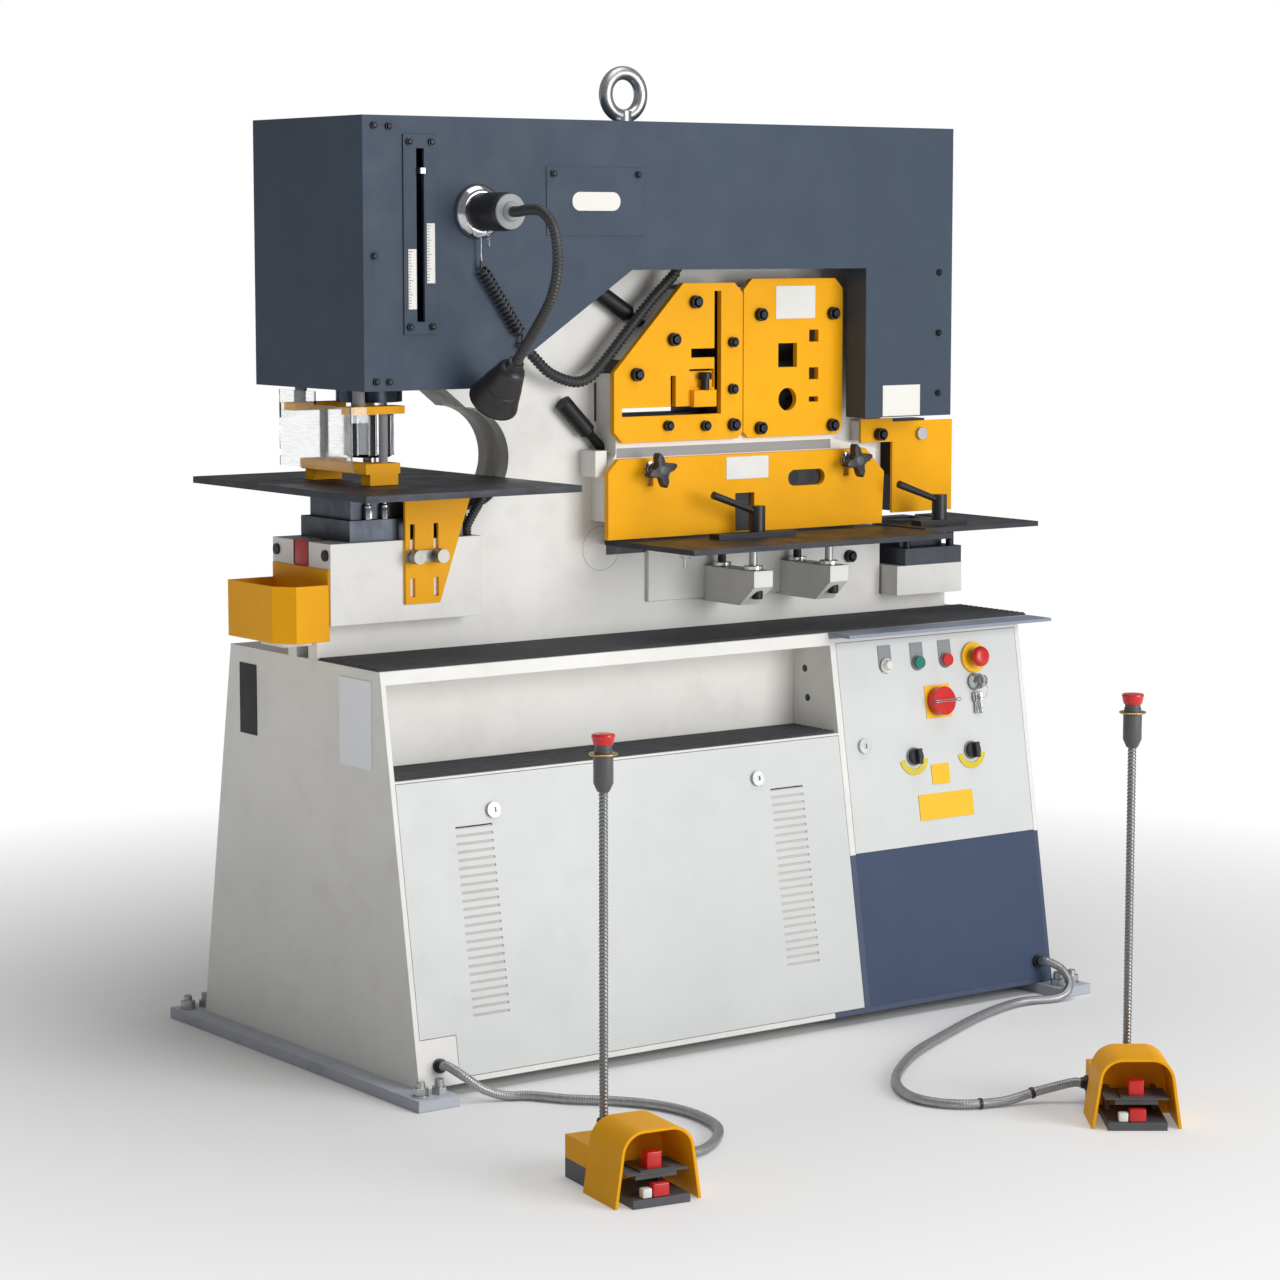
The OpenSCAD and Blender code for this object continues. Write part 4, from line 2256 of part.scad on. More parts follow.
module lamp() {
    color("DimGray") {
        rod_y(lamp_x, lamp_z, lamp_ring_d, -head_front - lamp_ring_t, -head_front);
        rod_y(lamp_x, lamp_z, lamp_body_d, lamp_end_y, -head_front - lamp_ring_t);
        // hook of the curly cord under the body
        translate([lamp_x, curl_start[1], curl_start[2]])
            cylinder(h = lamp_z - lamp_body_d / 4 - curl_start[2], d = curl_wire_d);
        // peg on the head that takes the lower end of the curly cord
        rod_y(curl_end[0], curl_end[2] - peg_d / 2, peg_d, curl_end[1] - curl_d / 2, -head_front);
        translate(lamp_head_top)
            rotate([180 + head_tilt, 0, 0])
                rotate_extrude()
                    polygon([[0, 0], [neck_d * lamp_neck_share, 0], [lamp_cap_d / 2, lamp_neck_h],
                        [lamp_cap_d / 2, lamp_neck_h * 2],
                        [lamp_mouth_d / 2, lamp_head_len], [lamp_mouth_d / 2 - lamp_shell, lamp_head_len],
                        [lamp_cap_d / 2 - lamp_shell, lamp_neck_h * 2 + lamp_shell], [0,
                            lamp_neck_h * 2 + lamp_shell]]);
    }
}

neck_rib = 1.5;
neck_ribs = 50;
head_axis = [0, -sin(head_tilt), cos(head_tilt)];
neck_points = [[47, 3], [91, -1], [127, -34], [135, -94], [117, -146], [82, -188]];
neck_route = concat([[lamp_x, lamp_end_y, lamp_z], [lamp_x, lamp_end_y - neck_d, lamp_z]],
    [for (p = neck_points) [lamp_x, lamp_end_y - p[0], lamp_z + p[1]]],
    [lamp_head_top + neck_d * head_axis, lamp_head_top]);
neck_path = let (p = even(smooth(neck_route, 8), 2 * neck_ribs))
    squared(p, neck_route[1], neck_route[len(neck_route) - 2]);

module gooseneck()
    color("Black")
        solid_tube([for (k = [0 : len(neck_path) - 1])
            ring(neck_path, k, neck_d / 2 - (k % 2 == 0 ? neck_rib : 0), form_sides, [1, 0, 0])]);

// Conduit along the edge of the angle plate
conduit_out = 97;
conduit_rib = 1.5;
conduit_ribs = 44;
conduit_wall = 3;
conduit_lean = 135;
conduit_way = [sin(conduit_lean), 0, cos(conduit_lean)];
conduit_start = [at(424), -conduit_out, up(548)];
conduit_end = [at(764), -conduit_out, up(707)];
conduit_points = [[476, 502], [527, 485], [562, 491], [592, 515], [640, 565], [700, 627], [742, 665]];
conduit_route = concat([conduit_start, conduit_start + conduit_d * conduit_way],
    [for (p = conduit_points) [at(p[0]), -conduit_out, up(p[1])]],
    [conduit_end - [0, 0, conduit_d], conduit_end]);
conduit_path = let (p = even(smooth(conduit_route, 8), 2 * conduit_ribs))
    squared(p, conduit_route[1], conduit_route[len(conduit_route) - 2]);

// Short hose from the bolster to the frame
hose_ribs = 12;
hose_start = [at(301), -82, bolster_z];
hose_end = [at(352), -frame_half, up(246)];
hose_points = [[307, -86, 235], [333, -86, 246]];
hose_route = concat([hose_start, hose_start + [0, 0, hose_d]],
    [for (p = hose_points) [at(p[0]), p[1], up(p[2])]],
    [hose_end - [0, hose_d, 0], hose_end]);
hose_path = let (p = even(smooth(hose_route, 8), 2 * hose_ribs))
    squared(p, hose_route[1], hose_route[len(hose_route) - 2]);

// Curly cord from the hook to the lamp head
curls = 17;
curl_steps = 8;
curl_sides = 6;
curl_lead = 2 * curl_wire_d;
curl_hook_back = 103;
curl_hook_drop = 86;
curl_start = [lamp_x, lamp_end_y + curl_hook_back, lamp_z - curl_hook_drop];
curl_end = [at(345), curl_start[1], up(564)];
peg_d = 12;
curl_from = curl_start - [0, 0, curl_lead];
curl_to = curl_end + [0, 0, curl_lead];
curl_axis = unit(curl_to - curl_from);
curl_out = unit(cross(curl_axis, [0, 0, 1]));
curl_side = cross(curl_axis, curl_out);
curl_len = norm(curl_to - curl_from);
curl_ramp_share = 0.07;
function curl_r(s) = curl_d / 2 * min(1, min(s, 1 - s) / curl_ramp_share);
function curl_turn(a) = cos(a) * curl_out + sin(a) * curl_side;
curl_path = concat([curl_start],
    [for (k = [0 : curls * curl_steps]) let (s = k / (curls * curl_steps), a = 360 * k / curl_steps)
        curl_from + curl_axis * curl_len * s + curl_r(s) * curl_turn(a)],
    [curl_end]);
curl_frames = carried(curl_path, [0, 1, 0]);
curl_gap = min([for (i = [0 : len(curl_path) - 1])
    for (j = [i + curl_steps / 2 : 1 : min(i + 2 * curl_steps, len(curl_path) - 1)])
        norm(curl_path[i] - curl_path[j])]) - curl_wire_d;
echo(least_gap_of_the_curly_cord = curl_gap);

module lamp_cords() {
    color("Black") {
        curved_hose(conduit_path, conduit_d / 2, conduit_rib, conduit_d / 2 - conduit_wall, [0, 1, 0]);
        solid_tube([for (k = [0 : len(curl_path) - 1])
            carried_ring(curl_path, k, curl_wire_d / 2, curl_sides, curl_frames[k])]);
        curved_hose(hose_path, hose_d / 2, conduit_rib, hose_d / 2 - conduit_wall, [1, -1, 0]);
    }
}

skids();
base_shell();
rib_mats();
cabinet_lower_panel();
cable_glands();
front_cover();
cover_lock_left();
cover_lock_right();
cabinet_door();
panel_bezels();
door_lock();
main_switch();
selector_left();
selector_right();
start_button();
stop_button();
panel_estop();
key_switch();
power_pack();
motor_shaft();
main_frame();
head_housing();
head_rear_cover();
cover_plates();
eyebolt();
cylinders();
punch_ram();
punch_holder();
die_blocks();
slug_chute();
punch_table();
table_bracket();
stripper();
punch_guard();
slug_bin();
shear_slide();
fixed_blades();
shear_plates();
white_blocks();
flat_guard();
wing_knob_left();
wing_knob_right();
side_tables();
flat_lever();
notch_lever();
hold_down_upper();
hold_down_lower();
fasteners();
pedal_bases();
pedal_hoods();
treadle_left();
treadle_right();
pedal_posts();
estop_left();
estop_right();
cord_left();
cord_right();
lamp();
gooseneck();
lamp_cords();
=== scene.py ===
import json
import math

import bmesh
import bpy
from mathutils import Matrix, Vector


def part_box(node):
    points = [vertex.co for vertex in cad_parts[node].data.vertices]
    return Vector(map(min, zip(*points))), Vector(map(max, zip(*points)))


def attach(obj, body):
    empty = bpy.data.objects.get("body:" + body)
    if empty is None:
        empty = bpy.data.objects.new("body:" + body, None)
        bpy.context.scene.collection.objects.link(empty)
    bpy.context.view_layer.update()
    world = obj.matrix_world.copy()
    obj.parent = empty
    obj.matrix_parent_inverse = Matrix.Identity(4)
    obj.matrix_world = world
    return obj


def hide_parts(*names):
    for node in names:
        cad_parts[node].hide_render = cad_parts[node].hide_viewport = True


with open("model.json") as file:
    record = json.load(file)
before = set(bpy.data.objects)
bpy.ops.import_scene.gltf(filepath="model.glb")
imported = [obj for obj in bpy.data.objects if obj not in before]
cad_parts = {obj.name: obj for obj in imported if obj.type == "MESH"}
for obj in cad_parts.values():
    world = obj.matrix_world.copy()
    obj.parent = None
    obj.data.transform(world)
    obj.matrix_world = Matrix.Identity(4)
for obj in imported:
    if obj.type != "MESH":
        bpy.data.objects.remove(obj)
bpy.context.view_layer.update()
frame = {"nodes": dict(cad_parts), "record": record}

bl_info = {
    "name": "Hydraulic ironworker",
    "version": (1, 0, 0),
    "blender": (4, 5, 0),
    "location": "View3D > Sidebar > Ironworker",
    "description": "Dresses the machine's solids with finishes, cords, screws and small pieces",
    "category": "Object",
}

MM = 0.001
BASE_LEN = 1490.0
SLOPE = math.atan2(119.0, 719.0)
FRONT_FOOT = (-381.0, 20.0)
HEAD_FRONT = -189.0
CORD_POINTS = 240
MERGE = 0.000002
SHARP, ROUND_BELOW = 38.0, math.radians(28)
RIGHT, BACK, UP = Vector((1, 0, 0)), Vector((0, 1, 0)), Vector((0, 0, 1))
FRONT = Vector((0, -1, 0))


# Places in millimetres, x from the left end of the base

def place(x, y, z):
    return Vector(((x - BASE_LEN / 2) * MM, y * MM, z * MM))


def front_place(x, u, out=0.0):
    """A place on the sloped front, u up the slope and out away from it."""
    y = FRONT_FOOT[0] + u * math.sin(SLOPE) - out * math.cos(SLOPE)
    z = FRONT_FOOT[1] + u * math.cos(SLOPE) + out * math.sin(SLOPE)
    return place(x, y, z)


FRONT_OUT = Vector((0.0, -math.cos(SLOPE), math.sin(SLOPE)))
FRONT_UP = Vector((0.0, math.sin(SLOPE), math.cos(SLOPE)))
PEDALS = ((-109.0, -1114.0, -8.5), (819.0, -1197.0, -36.1))
POST_X, POST_Y, POST_ENDS = (65.0, 81.0), 165.0, (78, 624)


def pedal_place(i, x, y, z):
    ox, oy, turn = PEDALS[i]
    a = math.radians(turn)
    return place(ox + x * math.cos(a) - y * math.sin(a), oy + x * math.sin(a) + y * math.cos(a), z)


def pedal_axes(i):
    turn = Matrix.Rotation(math.radians(PEDALS[i][2]), 3, "Z")
    return turn @ RIGHT, turn @ BACK, UP


def top_along(node, foot):
    """How far a panel piece stands out from the front, in millimetres."""
    return max((v.co - foot).dot(FRONT_OUT) for v in frame["nodes"][node].data.vertices) * 1000


# Shader groups

COLOR, FLOAT, VECTOR = "NodeSocketColor", "NodeSocketFloat", "NodeSocketVector"
GEOMETRY = "NodeSocketGeometry"


def new_group(name, inputs, outputs):
    tree = bpy.data.node_groups.new(name, "ShaderNodeTree")
    for label, kind, value in inputs:
        socket = tree.interface.new_socket(label, in_out="INPUT", socket_type=kind)
        socket.default_value = value
    for label, kind in outputs:
        tree.interface.new_socket(label, in_out="OUTPUT", socket_type=kind)
    return tree, tree.nodes.new("NodeGroupInput").outputs, tree.nodes.new("NodeGroupOutput").inputs


def add_node(tree, kind, links=None, **settings):
    """A node with its settings, and its inputs linked or set."""
    node = tree.nodes.new(kind)
    for key, value in settings.items():
        setattr(node, key, value)
    for key, value in (links or {}).items():
        if isinstance(value, bpy.types.NodeSocket):
            tree.links.new(value, node.inputs[key])
        else:
            node.inputs[key].default_value = value
    return node


def object_place(tree):
    return add_node(tree, "ShaderNodeTexCoord").outputs["Object"]


def noise(tree, vector, scale, detail=2.0, rough=0.5):
    node = add_node(tree, "ShaderNodeTexNoise", {"Vector": vector, "Scale": scale, "Detail": detail,
                                                 "Roughness": rough})
    return node.outputs["Fac"]


def remap(tree, value, low, high, to_low, to_high):
    node = add_node(tree, "ShaderNodeMapRange", {"Value": value, "From Min": low, "From Max": high,
                                                 "To Min": to_low, "To Max": to_high})
    return node.outputs["Result"]


def maths(tree, operation, a, b=0.0, clamp=False):
    return add_node(tree, "ShaderNodeMath", {0: a, 1: b}, operation=operation, use_clamp=clamp).outputs[0]


def mix_colour(tree, share, a, b, blend="MIX"):
    return add_node(tree, "ShaderNodeMix", {0: share, 6: a, 7: b}, data_type="RGBA", blend_type=blend).outputs[2]


def vector_maths(tree, operation, a, b):
    return add_node(tree, "ShaderNodeVectorMath", {0: a, 1: b}, operation=operation).outputs


def tinted(tree, colour, value, low, high, darkest, lightest):
    """A colour made darker and lighter by a value."""
    level = remap(tree, value, low, high, darkest, lightest)
    shade = add_node(tree, "ShaderNodeCombineColor", {"Red": level, "Green": level, "Blue": level})
    return mix_colour(tree, 1.0, colour, shade.outputs[0], "MULTIPLY")


def coat_group():
    """Sprayed coat: slow mottling, grime in soft patches, fine orange peel."""
    tree, given, result = new_group("Sprayed coat", [
        ("Color", COLOR, (0.8, 0.8, 0.8, 1)), ("Mottle", FLOAT, 0.06),
        ("Mottle Scale", FLOAT, 5.0), ("Grime Color", COLOR, (0.1, 0.09, 0.08, 1)),
        ("Grime", FLOAT, 0.1), ("Roughness", FLOAT, 0.4),
        ("Peel Scale", FLOAT, 500.0)],
        [("Color", COLOR), ("Roughness", FLOAT), ("Height", FLOAT)])
    where = object_place(tree)
    slow = noise(tree, where, given["Mottle Scale"], 3.0, 0.55)
    patch = noise(tree, where, 11.0, 6.0, 0.68)
    low = maths(tree, "SUBTRACT", 1.0, given["Mottle"])
    high = maths(tree, "ADD", 1.0, given["Mottle"])
    mottled = tinted(tree, given["Color"], slow, 0.3, 0.7, low, high)
    dirt = maths(tree, "MULTIPLY", remap(tree, patch, 0.52, 0.8, 0.0, 1.0), given["Grime"], True)
    tree.links.new(mix_colour(tree, dirt, mottled, given["Grime Color"]), result["Color"])
    rough = maths(tree, "ADD", given["Roughness"], remap(tree, patch, 0.3, 0.7, -0.06, 0.1), True)
    tree.links.new(rough, result["Roughness"])
    tree.links.new(noise(tree, where, given["Peel Scale"], 2.0, 0.5), result["Height"])
    return tree


def edge_group():
    """Rounded edges for the light, and the mask of where hands and stock rub them."""
    tree, given, result = new_group("Rubbed edges", [
        ("Radius", FLOAT, 0.0015), ("Gain", FLOAT, 5.0)],
        [("Mask", FLOAT), ("Normal", VECTOR)])
    soft = add_node(tree, "ShaderNodeBevel", {"Radius": given["Radius"]}, samples=4)
    flat = add_node(tree, "ShaderNodeNewGeometry")
    facing = vector_maths(tree, "DOT_PRODUCT", soft.outputs[0], flat.outputs["Normal"])["Value"]
    turned = maths(tree, "SUBTRACT", 1.0, facing, True)
    broken = remap(tree, noise(tree, object_place(tree), 60.0, 5.0, 0.7), 0.42, 0.62, 0.0, 1.0)
    gained = maths(tree, "MULTIPLY", turned, given["Gain"], True)
    tree.links.new(maths(tree, "MULTIPLY", gained, broken, True), result["Mask"])
    tree.links.new(soft.outputs[0], result["Normal"])
    return tree


def ground_group():
    """Ground or rolled steel: fine lines one way, cloudy stains and small pits."""
    tree, given, result = new_group("Ground steel", [
        ("Color", COLOR, (0.4, 0.4, 0.4, 1)), ("Stain Color", COLOR, (0.1, 0.09, 0.08, 1)),
        ("Stain", FLOAT, 0.2), ("Roughness", FLOAT, 0.35),
        ("Lines", VECTOR, (20.0, 600.0, 600.0))],
        [("Color", COLOR), ("Roughness", FLOAT), ("Height", FLOAT)])
    where = object_place(tree)
    line = noise(tree, vector_maths(tree, "MULTIPLY", where, given["Lines"])[0], 1.0, 2.0, 0.5)
    cloud = noise(tree, where, 14.0, 5.0, 0.65)
    pit = noise(tree, where, 240.0, 3.0, 0.6)
    lined = tinted(tree, given["Color"], line, 0.25, 0.75, 0.86, 1.12)
    stain = maths(tree, "MULTIPLY", remap(tree, cloud, 0.45, 0.75, 0.0, 1.0), given["Stain"], True)
    tree.links.new(mix_colour(tree, stain, lined, given["Stain Color"]), result["Color"])
    rough = maths(tree, "ADD", given["Roughness"], remap(tree, cloud, 0.3, 0.7, -0.08, 0.14), True)
    tree.links.new(rough, result["Roughness"])
    tree.links.new(maths(tree, "ADD", maths(tree, "MULTIPLY", line, 0.5), remap(tree, pit, 0.3, 0.45, 0.0, 1.0)),
                   result["Height"])
    return tree


def box_group():
    """1 inside a box of the object, 0 outside."""
    tree, given, result = new_group("Box mask", [
        ("Low", VECTOR, (0, 0, 0)), ("High", VECTOR, (1, 1, 1))],
        [("Mask", FLOAT)])
    where = object_place(tree)
    above = vector_maths(tree, "SUBTRACT", where, given["Low"])[0]
    below = vector_maths(tree, "SUBTRACT", given["High"], where)[0]
    least = vector_maths(tree, "MINIMUM", above, below)[0]
    axes = add_node(tree, "ShaderNodeSeparateXYZ", {0: least}).outputs
    smallest = maths(tree, "MINIMUM", maths(tree, "MINIMUM", axes[0], axes[1]), axes[2])
    tree.links.new(maths(tree, "GREATER_THAN", smallest, 0.0), result["Mask"])
    return tree


GROUPS = {}
GROUP_MAKERS = {"Sprayed coat": coat_group, "Rubbed edges": edge_group, "Ground steel": ground_group,
                "Box mask": box_group}


def group_node(tree, name, links):
    if name not in GROUPS:
        GROUPS[name] = GROUP_MAKERS[name]()
    return add_node(tree, "ShaderNodeGroup", links, node_tree=GROUPS[name])


# Finishes

FINISHES = {}


def rgba(colour):
    return (*colour[:3], 1.0)


def start_finish(name, **plain):
    """A new finish, with plain values for its shader's inputs."""
    material = bpy.data.materials.new(name)
    material.use_nodes = True
    tree = material.node_tree
    shader = tree.nodes["Principled BSDF"]
    for key, value in plain.items():
        shader.inputs[key.replace("_", " ")].default_value = value
    FINISHES[name] = material
    return tree, shader


def join_finish(tree, shader, surface, radius, worn_colour, wear, bump, marks):
    """Puts the marks on a surface's colour, rubs its edges and links it to the shader."""
    worn = group_node(tree, "Rubbed edges", {"Radius": radius})
    colour = surface.outputs["Color"]
    for low, high, paint in marks:
        mask = group_node(tree, "Box mask", {"Low": low, "High": high}).outputs["Mask"]
        colour = mix_colour(tree, mask, colour, rgba(paint))
    rubbed = maths(tree, "MULTIPLY", worn.outputs["Mask"], wear, True)
    tree.links.new(mix_colour(tree, rubbed, colour, rgba(worn_colour)), shader.inputs["Base Color"])
    tree.links.new(surface.outputs["Roughness"], shader.inputs["Roughness"])
    bumps = add_node(tree, "ShaderNodeBump", {"Strength": bump[0], "Distance": bump[1],
                                              "Height": surface.outputs["Height"],
                                              "Normal": worn.outputs["Normal"]})
    tree.links.new(bumps.outputs[0], shader.inputs["Normal"])


def coated(name, colour, rough=0.42, mottle=0.05, mottle_scale=5.0, grime=0.12, grime_colour=(0.16, 0.14, 0.12),
           peel=500.0, bump=(0.12, 0.0006), worn_colour=(0.35, 0.34, 0.33), wear=0.35, radius=0.0016,
           marks=(), **plain):
    """A sprayed or moulded surface; marks are boxes in metres that carry other paints, labels and painted shade.
    """
    tree, shader = start_finish(name, **plain)
    surface = group_node(tree, "Sprayed coat", {
        "Color": rgba(colour), "Mottle": mottle, "Mottle Scale": mottle_scale, "Grime": grime,
        "Grime Color": rgba(grime_colour), "Roughness": rough, "Peel Scale": peel})
    join_finish(tree, shader, surface, radius, worn_colour, wear, bump, marks)


def steel(name, colour, rough=0.3, stain=0.2, stain_colour=(0.1, 0.09, 0.08), lines=(20.0, 600.0, 600.0),
          worn_colour=(0.6, 0.6, 0.61), wear=0.4, marks=(), **plain):
    """A bare or blackened metal."""
    tree, shader = start_finish(name, Metallic=plain.pop("Metallic", 1.0), **plain)
    surface = group_node(tree, "Ground steel", {
        "Color": rgba(colour), "Stain Color": rgba(stain_colour), "Stain": stain, "Roughness": rough,
        "Lines": lines})
    join_finish(tree, shader, surface, 0.001, worn_colour, wear, (0.08, 0.0003), marks)


# Shapes

def across(axis):
    """Two directions square to an axis and to each other."""
    start = UP if abs(axis.z) < 0.9 else RIGHT
    side = axis.cross(start).normalized()
    return side, axis.cross(side).normalized()


def circle(middle, side, other, radius, sides):
    """Points round a middle, the radius in mm."""
    turns = [2 * math.pi * k / sides for k in range(sides)]
    return [middle + (side * math.cos(a) + other * math.sin(a)) * radius * MM for a in turns]


def rect(width, height):
    return [(0, 0), (width, 0), (width, height), (0, height)]


class Shape:
    """A piece in the making: its forms gathered in one mesh, each with its finish. Sizes in mm."""

    def __init__(self):
        self.mesh = bmesh.new()
        self.finishes = []

    def paint(self, faces, finish):
        if finish not in self.finishes:
            self.finishes.append(finish)
        for face in faces:
            face.material_index = self.finishes.index(finish)

    def skin(self, rings, finish, closed=False):
        """Faces between rings of points; a ring of one point closes to it."""
        made = [[self.mesh.verts.new(p) for p in ring] for ring in rings]
        faces = []
        pairs = list(zip(made, made[1:])) + ([(made[-1], made[0])] if closed else [])
        for one, two in pairs:
            count = max(len(one), len(two))
            for k in range(count):
                corners = [one[k % len(one)], one[(k + 1) % len(one)], two[(k + 1) % len(two)], two[k % len(two)]]
                faces.append(self.mesh.faces.new(list(dict.fromkeys(corners))))
        if not closed:
            for ring, turn in ((made[0], -1), (made[-1], 1)):
                if len(ring) > 2:
                    faces.append(self.mesh.faces.new(ring[::turn]))
        self.paint(faces, finish)
        return faces

    def turned(self, base, axis, profile, finish, sides=32):
        """A turned form: profile pairs of radius and height along the axis from base."""
        axis = Vector(axis).normalized()
        side, other = across(axis)
        rings = []
        for radius, height in profile:
            middle = base + axis * height * MM
            rings.append(circle(middle, side, other, radius, sides) if radius else [middle])
        self.skin(rings, finish)

    def rod(self, base, axis, radius, height, finish, sides):
        """A plain round bar."""
        self.turned(base, axis, [(0, 0), (radius, 0), (radius, height), (0, height)], finish, sides)

    def bevel(self, edges, round_mm, steps):
        return bmesh.ops.bevel(self.mesh, geom=edges, offset=round_mm * MM, segments=steps, profile=0.5,
                               affect="EDGES", clamp_overlap=True)["faces"]

    def block(self, middle, axes, size, finish, round_mm=1.0, steps=2):
        """A box with rounded edges, its axes given as three directions."""
        before = set(self.mesh.faces)
        made = bmesh.ops.create_cube(self.mesh, size=1.0)["verts"]
        matrix = Matrix([axes[0] * size[0] * MM, axes[1] * size[1] * MM, axes[2] * size[2] * MM]).transposed()
        for vert in made:
            vert.co = middle + matrix @ vert.co
        if round_mm:
            self.bevel(list({e for v in made for e in v.link_edges}), round_mm, steps)
        self.paint([f for f in self.mesh.faces if f not in before], finish)

    def slab(self, outline, base, right, up, depth, finish, round_mm=0.0, steps=2):
        """A flat outline of points in mm along right and up, raised by depth."""
        out = right.cross(up)
        rings = [[base + (right * x + up * y + out * h) * MM for x, y in outline] for h in (0.0, depth)]
        faces = self.skin(rings, finish)
        if round_mm:
            self.paint(self.bevel(list(faces[-1].edges), round_mm, steps), finish)

    def tube(self, path, radius, finish, sides):
        """A round bar along a path of places."""
        self.skin([circle(p, *axes, radius, sides) for p, axes in zip(path, carried_axes(path))], finish)

    def loop(self, middle, axis, radius, wire, finish, sides=10, steps=40):
        """A closed ring of wire."""
        rings = []
        for spot in circle(middle, *across(axis), radius, steps):
            rings.append(circle(spot, (spot - middle).normalized(), axis, wire, sides))
        self.skin(rings, finish, closed=True)

    def done(self, name, body, replaces=(), sharp=SHARP):
        """The finished piece, riding on its body."""
        bmesh.ops.recalc_face_normals(self.mesh, faces=self.mesh.faces)
        data = bpy.data.meshes.new(name)
        self.mesh.to_mesh(data)
        self.mesh.free()
        for finish in self.finishes:
            data.materials.append(FINISHES[finish])
        return settle(name, data, body, replaces, sharp)


def settle(name, data, body, replaces=(), sharp=SHARP):
    """A piece made of finished mesh data, riding on its body."""
    data.shade_smooth()
    data.set_sharp_from_angle(angle=math.radians(sharp))
    piece = bpy.data.objects.new(name, data)
    bpy.context.scene.collection.objects.link(piece)
    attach(piece, body)
    if replaces:
        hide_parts(*replaces)
    return piece


# Paths

def smooth_path(points, per_span):
    """A curve through every point."""
    ends = [points[0] * 2 - points[1]] + list(points) + [points[-1] * 2 - points[-2]]
    out = []
    for a, b, c, d in zip(ends, ends[1:], ends[2:], ends[3:]):
        for k in range(per_span):
            t = k / per_span
            out.append((b * 2 + (c - a) * t + (a * 2 - b * 5 + c * 4 - d) * t * t
                        + (b * 3 - a - c * 3 + d) * t ** 3) / 2)
    return out + [points[-1].copy()]


def path_length(path):
    return sum((b - a).length for a, b in zip(path, path[1:]))


def even_path(path, count):
    """The same path with count even steps."""
    total = path_length(path)
    out, k, gone = [path[0].copy()], 0, 0.0
    for n in range(1, count):
        want = total * n / count
        while gone + (path[k + 1] - path[k]).length < want:
            gone += (path[k + 1] - path[k]).length
            k += 1
        out.append(path[k].lerp(path[k + 1], (want - gone) / (path[k + 1] - path[k]).length))
    return out + [path[-1].copy()]


def carried_axes(path):
    """Two directions square to the path at each of its points, carried along without twist."""
    out, side = [], None
    for k in range(len(path)):
        way = (path[min(k + 1, len(path) - 1)] - path[max(k - 1, 0)]).normalized()
        side = across(way)[0] if side is None else (side - way * side.dot(way)).normalized()
        out.append((side, way.cross(side)))
    return out


def ribbed_tube(shape, path, radius, rib, pitch, finish, sides=14, wound=True, per_rib=4):
    """A ribbed hose along a path: ribs wound as a spiral, or in closed rings."""
    count = max(8, round(path_length(path) / (pitch * MM) * per_rib))
    fine = even_path(path, count)
    rings = []
    for k, (middle, (side, other)) in enumerate(zip(fine, carried_axes(fine))):
        ring = []
        for j in range(sides):
            a = 2 * math.pi * j / sides
            phase = 2 * math.pi * k / per_rib - (a if wound else 0.0)
            r = radius - rib * (0.5 - 0.5 * math.cos(phase))
            ring.append(middle + (side * math.cos(a) + other * math.sin(a)) * r * MM)
        rings.append(ring)
    shape.skin(rings, finish)


# Repeated pieces

def scatter_tree(name, inputs, make):
    """A tree that stands one shape on every point, along the point's own direction."""
    tree = bpy.data.node_groups.new(name, "GeometryNodeTree")
    tree.interface.new_socket("Points", in_out="INPUT", socket_type=GEOMETRY)
    for label, kind, value in inputs:
        tree.interface.new_socket(label, in_out="INPUT", socket_type=kind).default_value = value
    tree.interface.new_socket("Finish", in_out="INPUT", socket_type="NodeSocketMaterial")
    tree.interface.new_socket("Mesh", in_out="OUTPUT", socket_type=GEOMETRY)
    given = tree.nodes.new("NodeGroupInput").outputs
    result = tree.nodes.new("NodeGroupOutput").inputs
    out = add_node(tree, "GeometryNodeInputNamedAttribute", {"Name": "out"}, data_type="FLOAT_VECTOR")
    turn = add_node(tree, "FunctionNodeAlignRotationToVector", {"Vector": out.outputs["Attribute"]}, axis="Z")
    stand = add_node(tree, "GeometryNodeInstanceOnPoints", {
        "Points": given["Points"], "Instance": make(tree, given), "Rotation": turn.outputs["Rotation"]})
    real = add_node(tree, "GeometryNodeRealizeInstances", {"Geometry": stand.outputs["Instances"]})
    paint = add_node(tree, "GeometryNodeSetMaterial", {
        "Geometry": real.outputs["Geometry"], "Material": given["Finish"]})
    tree.links.new(paint.outputs["Geometry"], result["Mesh"])
    return tree


def cap_screw(tree, given):
    """A socket screw: a round head with a rounded rim and a six-sided recess."""
    def times(share, value=given["Head"]):
        return maths(tree, "MULTIPLY", value, share)

    def raised(form, height):
        lift = add_node(tree, "ShaderNodeCombineXYZ", {"Z": height}).outputs[0]
        moved = add_node(tree, "GeometryNodeTransform", {"Geometry": form.outputs["Mesh"], "Translation": lift})
        return moved.outputs[0]

    height = times(0.45)
    rim = times(0.3, height)
    straight = maths(tree, "SUBTRACT", height, rim)
    cone = add_node(tree, "GeometryNodeMeshCone", {"Vertices": 20, "Radius Top": times(0.42),
                                                   "Radius Bottom": times(0.5), "Depth": rim})
    skirt = add_node(tree, "GeometryNodeMeshCylinder", {"Vertices": 20, "Radius": times(0.5), "Depth": straight})
    head = add_node(tree, "GeometryNodeJoinGeometry")
    for form in (raised(cone, straight), raised(skirt, times(0.5, straight))):
        tree.links.new(form, head.inputs[0])
    hexagon = add_node(tree, "GeometryNodeMeshCylinder", {"Vertices": 6, "Radius": times(0.29), "Depth": height})
    cut = add_node(tree, "GeometryNodeMeshBoolean", {0: head.outputs[0], 1: raised(hexagon, height)},
                   operation="DIFFERENCE", solver="EXACT")
    return cut.outputs["Mesh"]


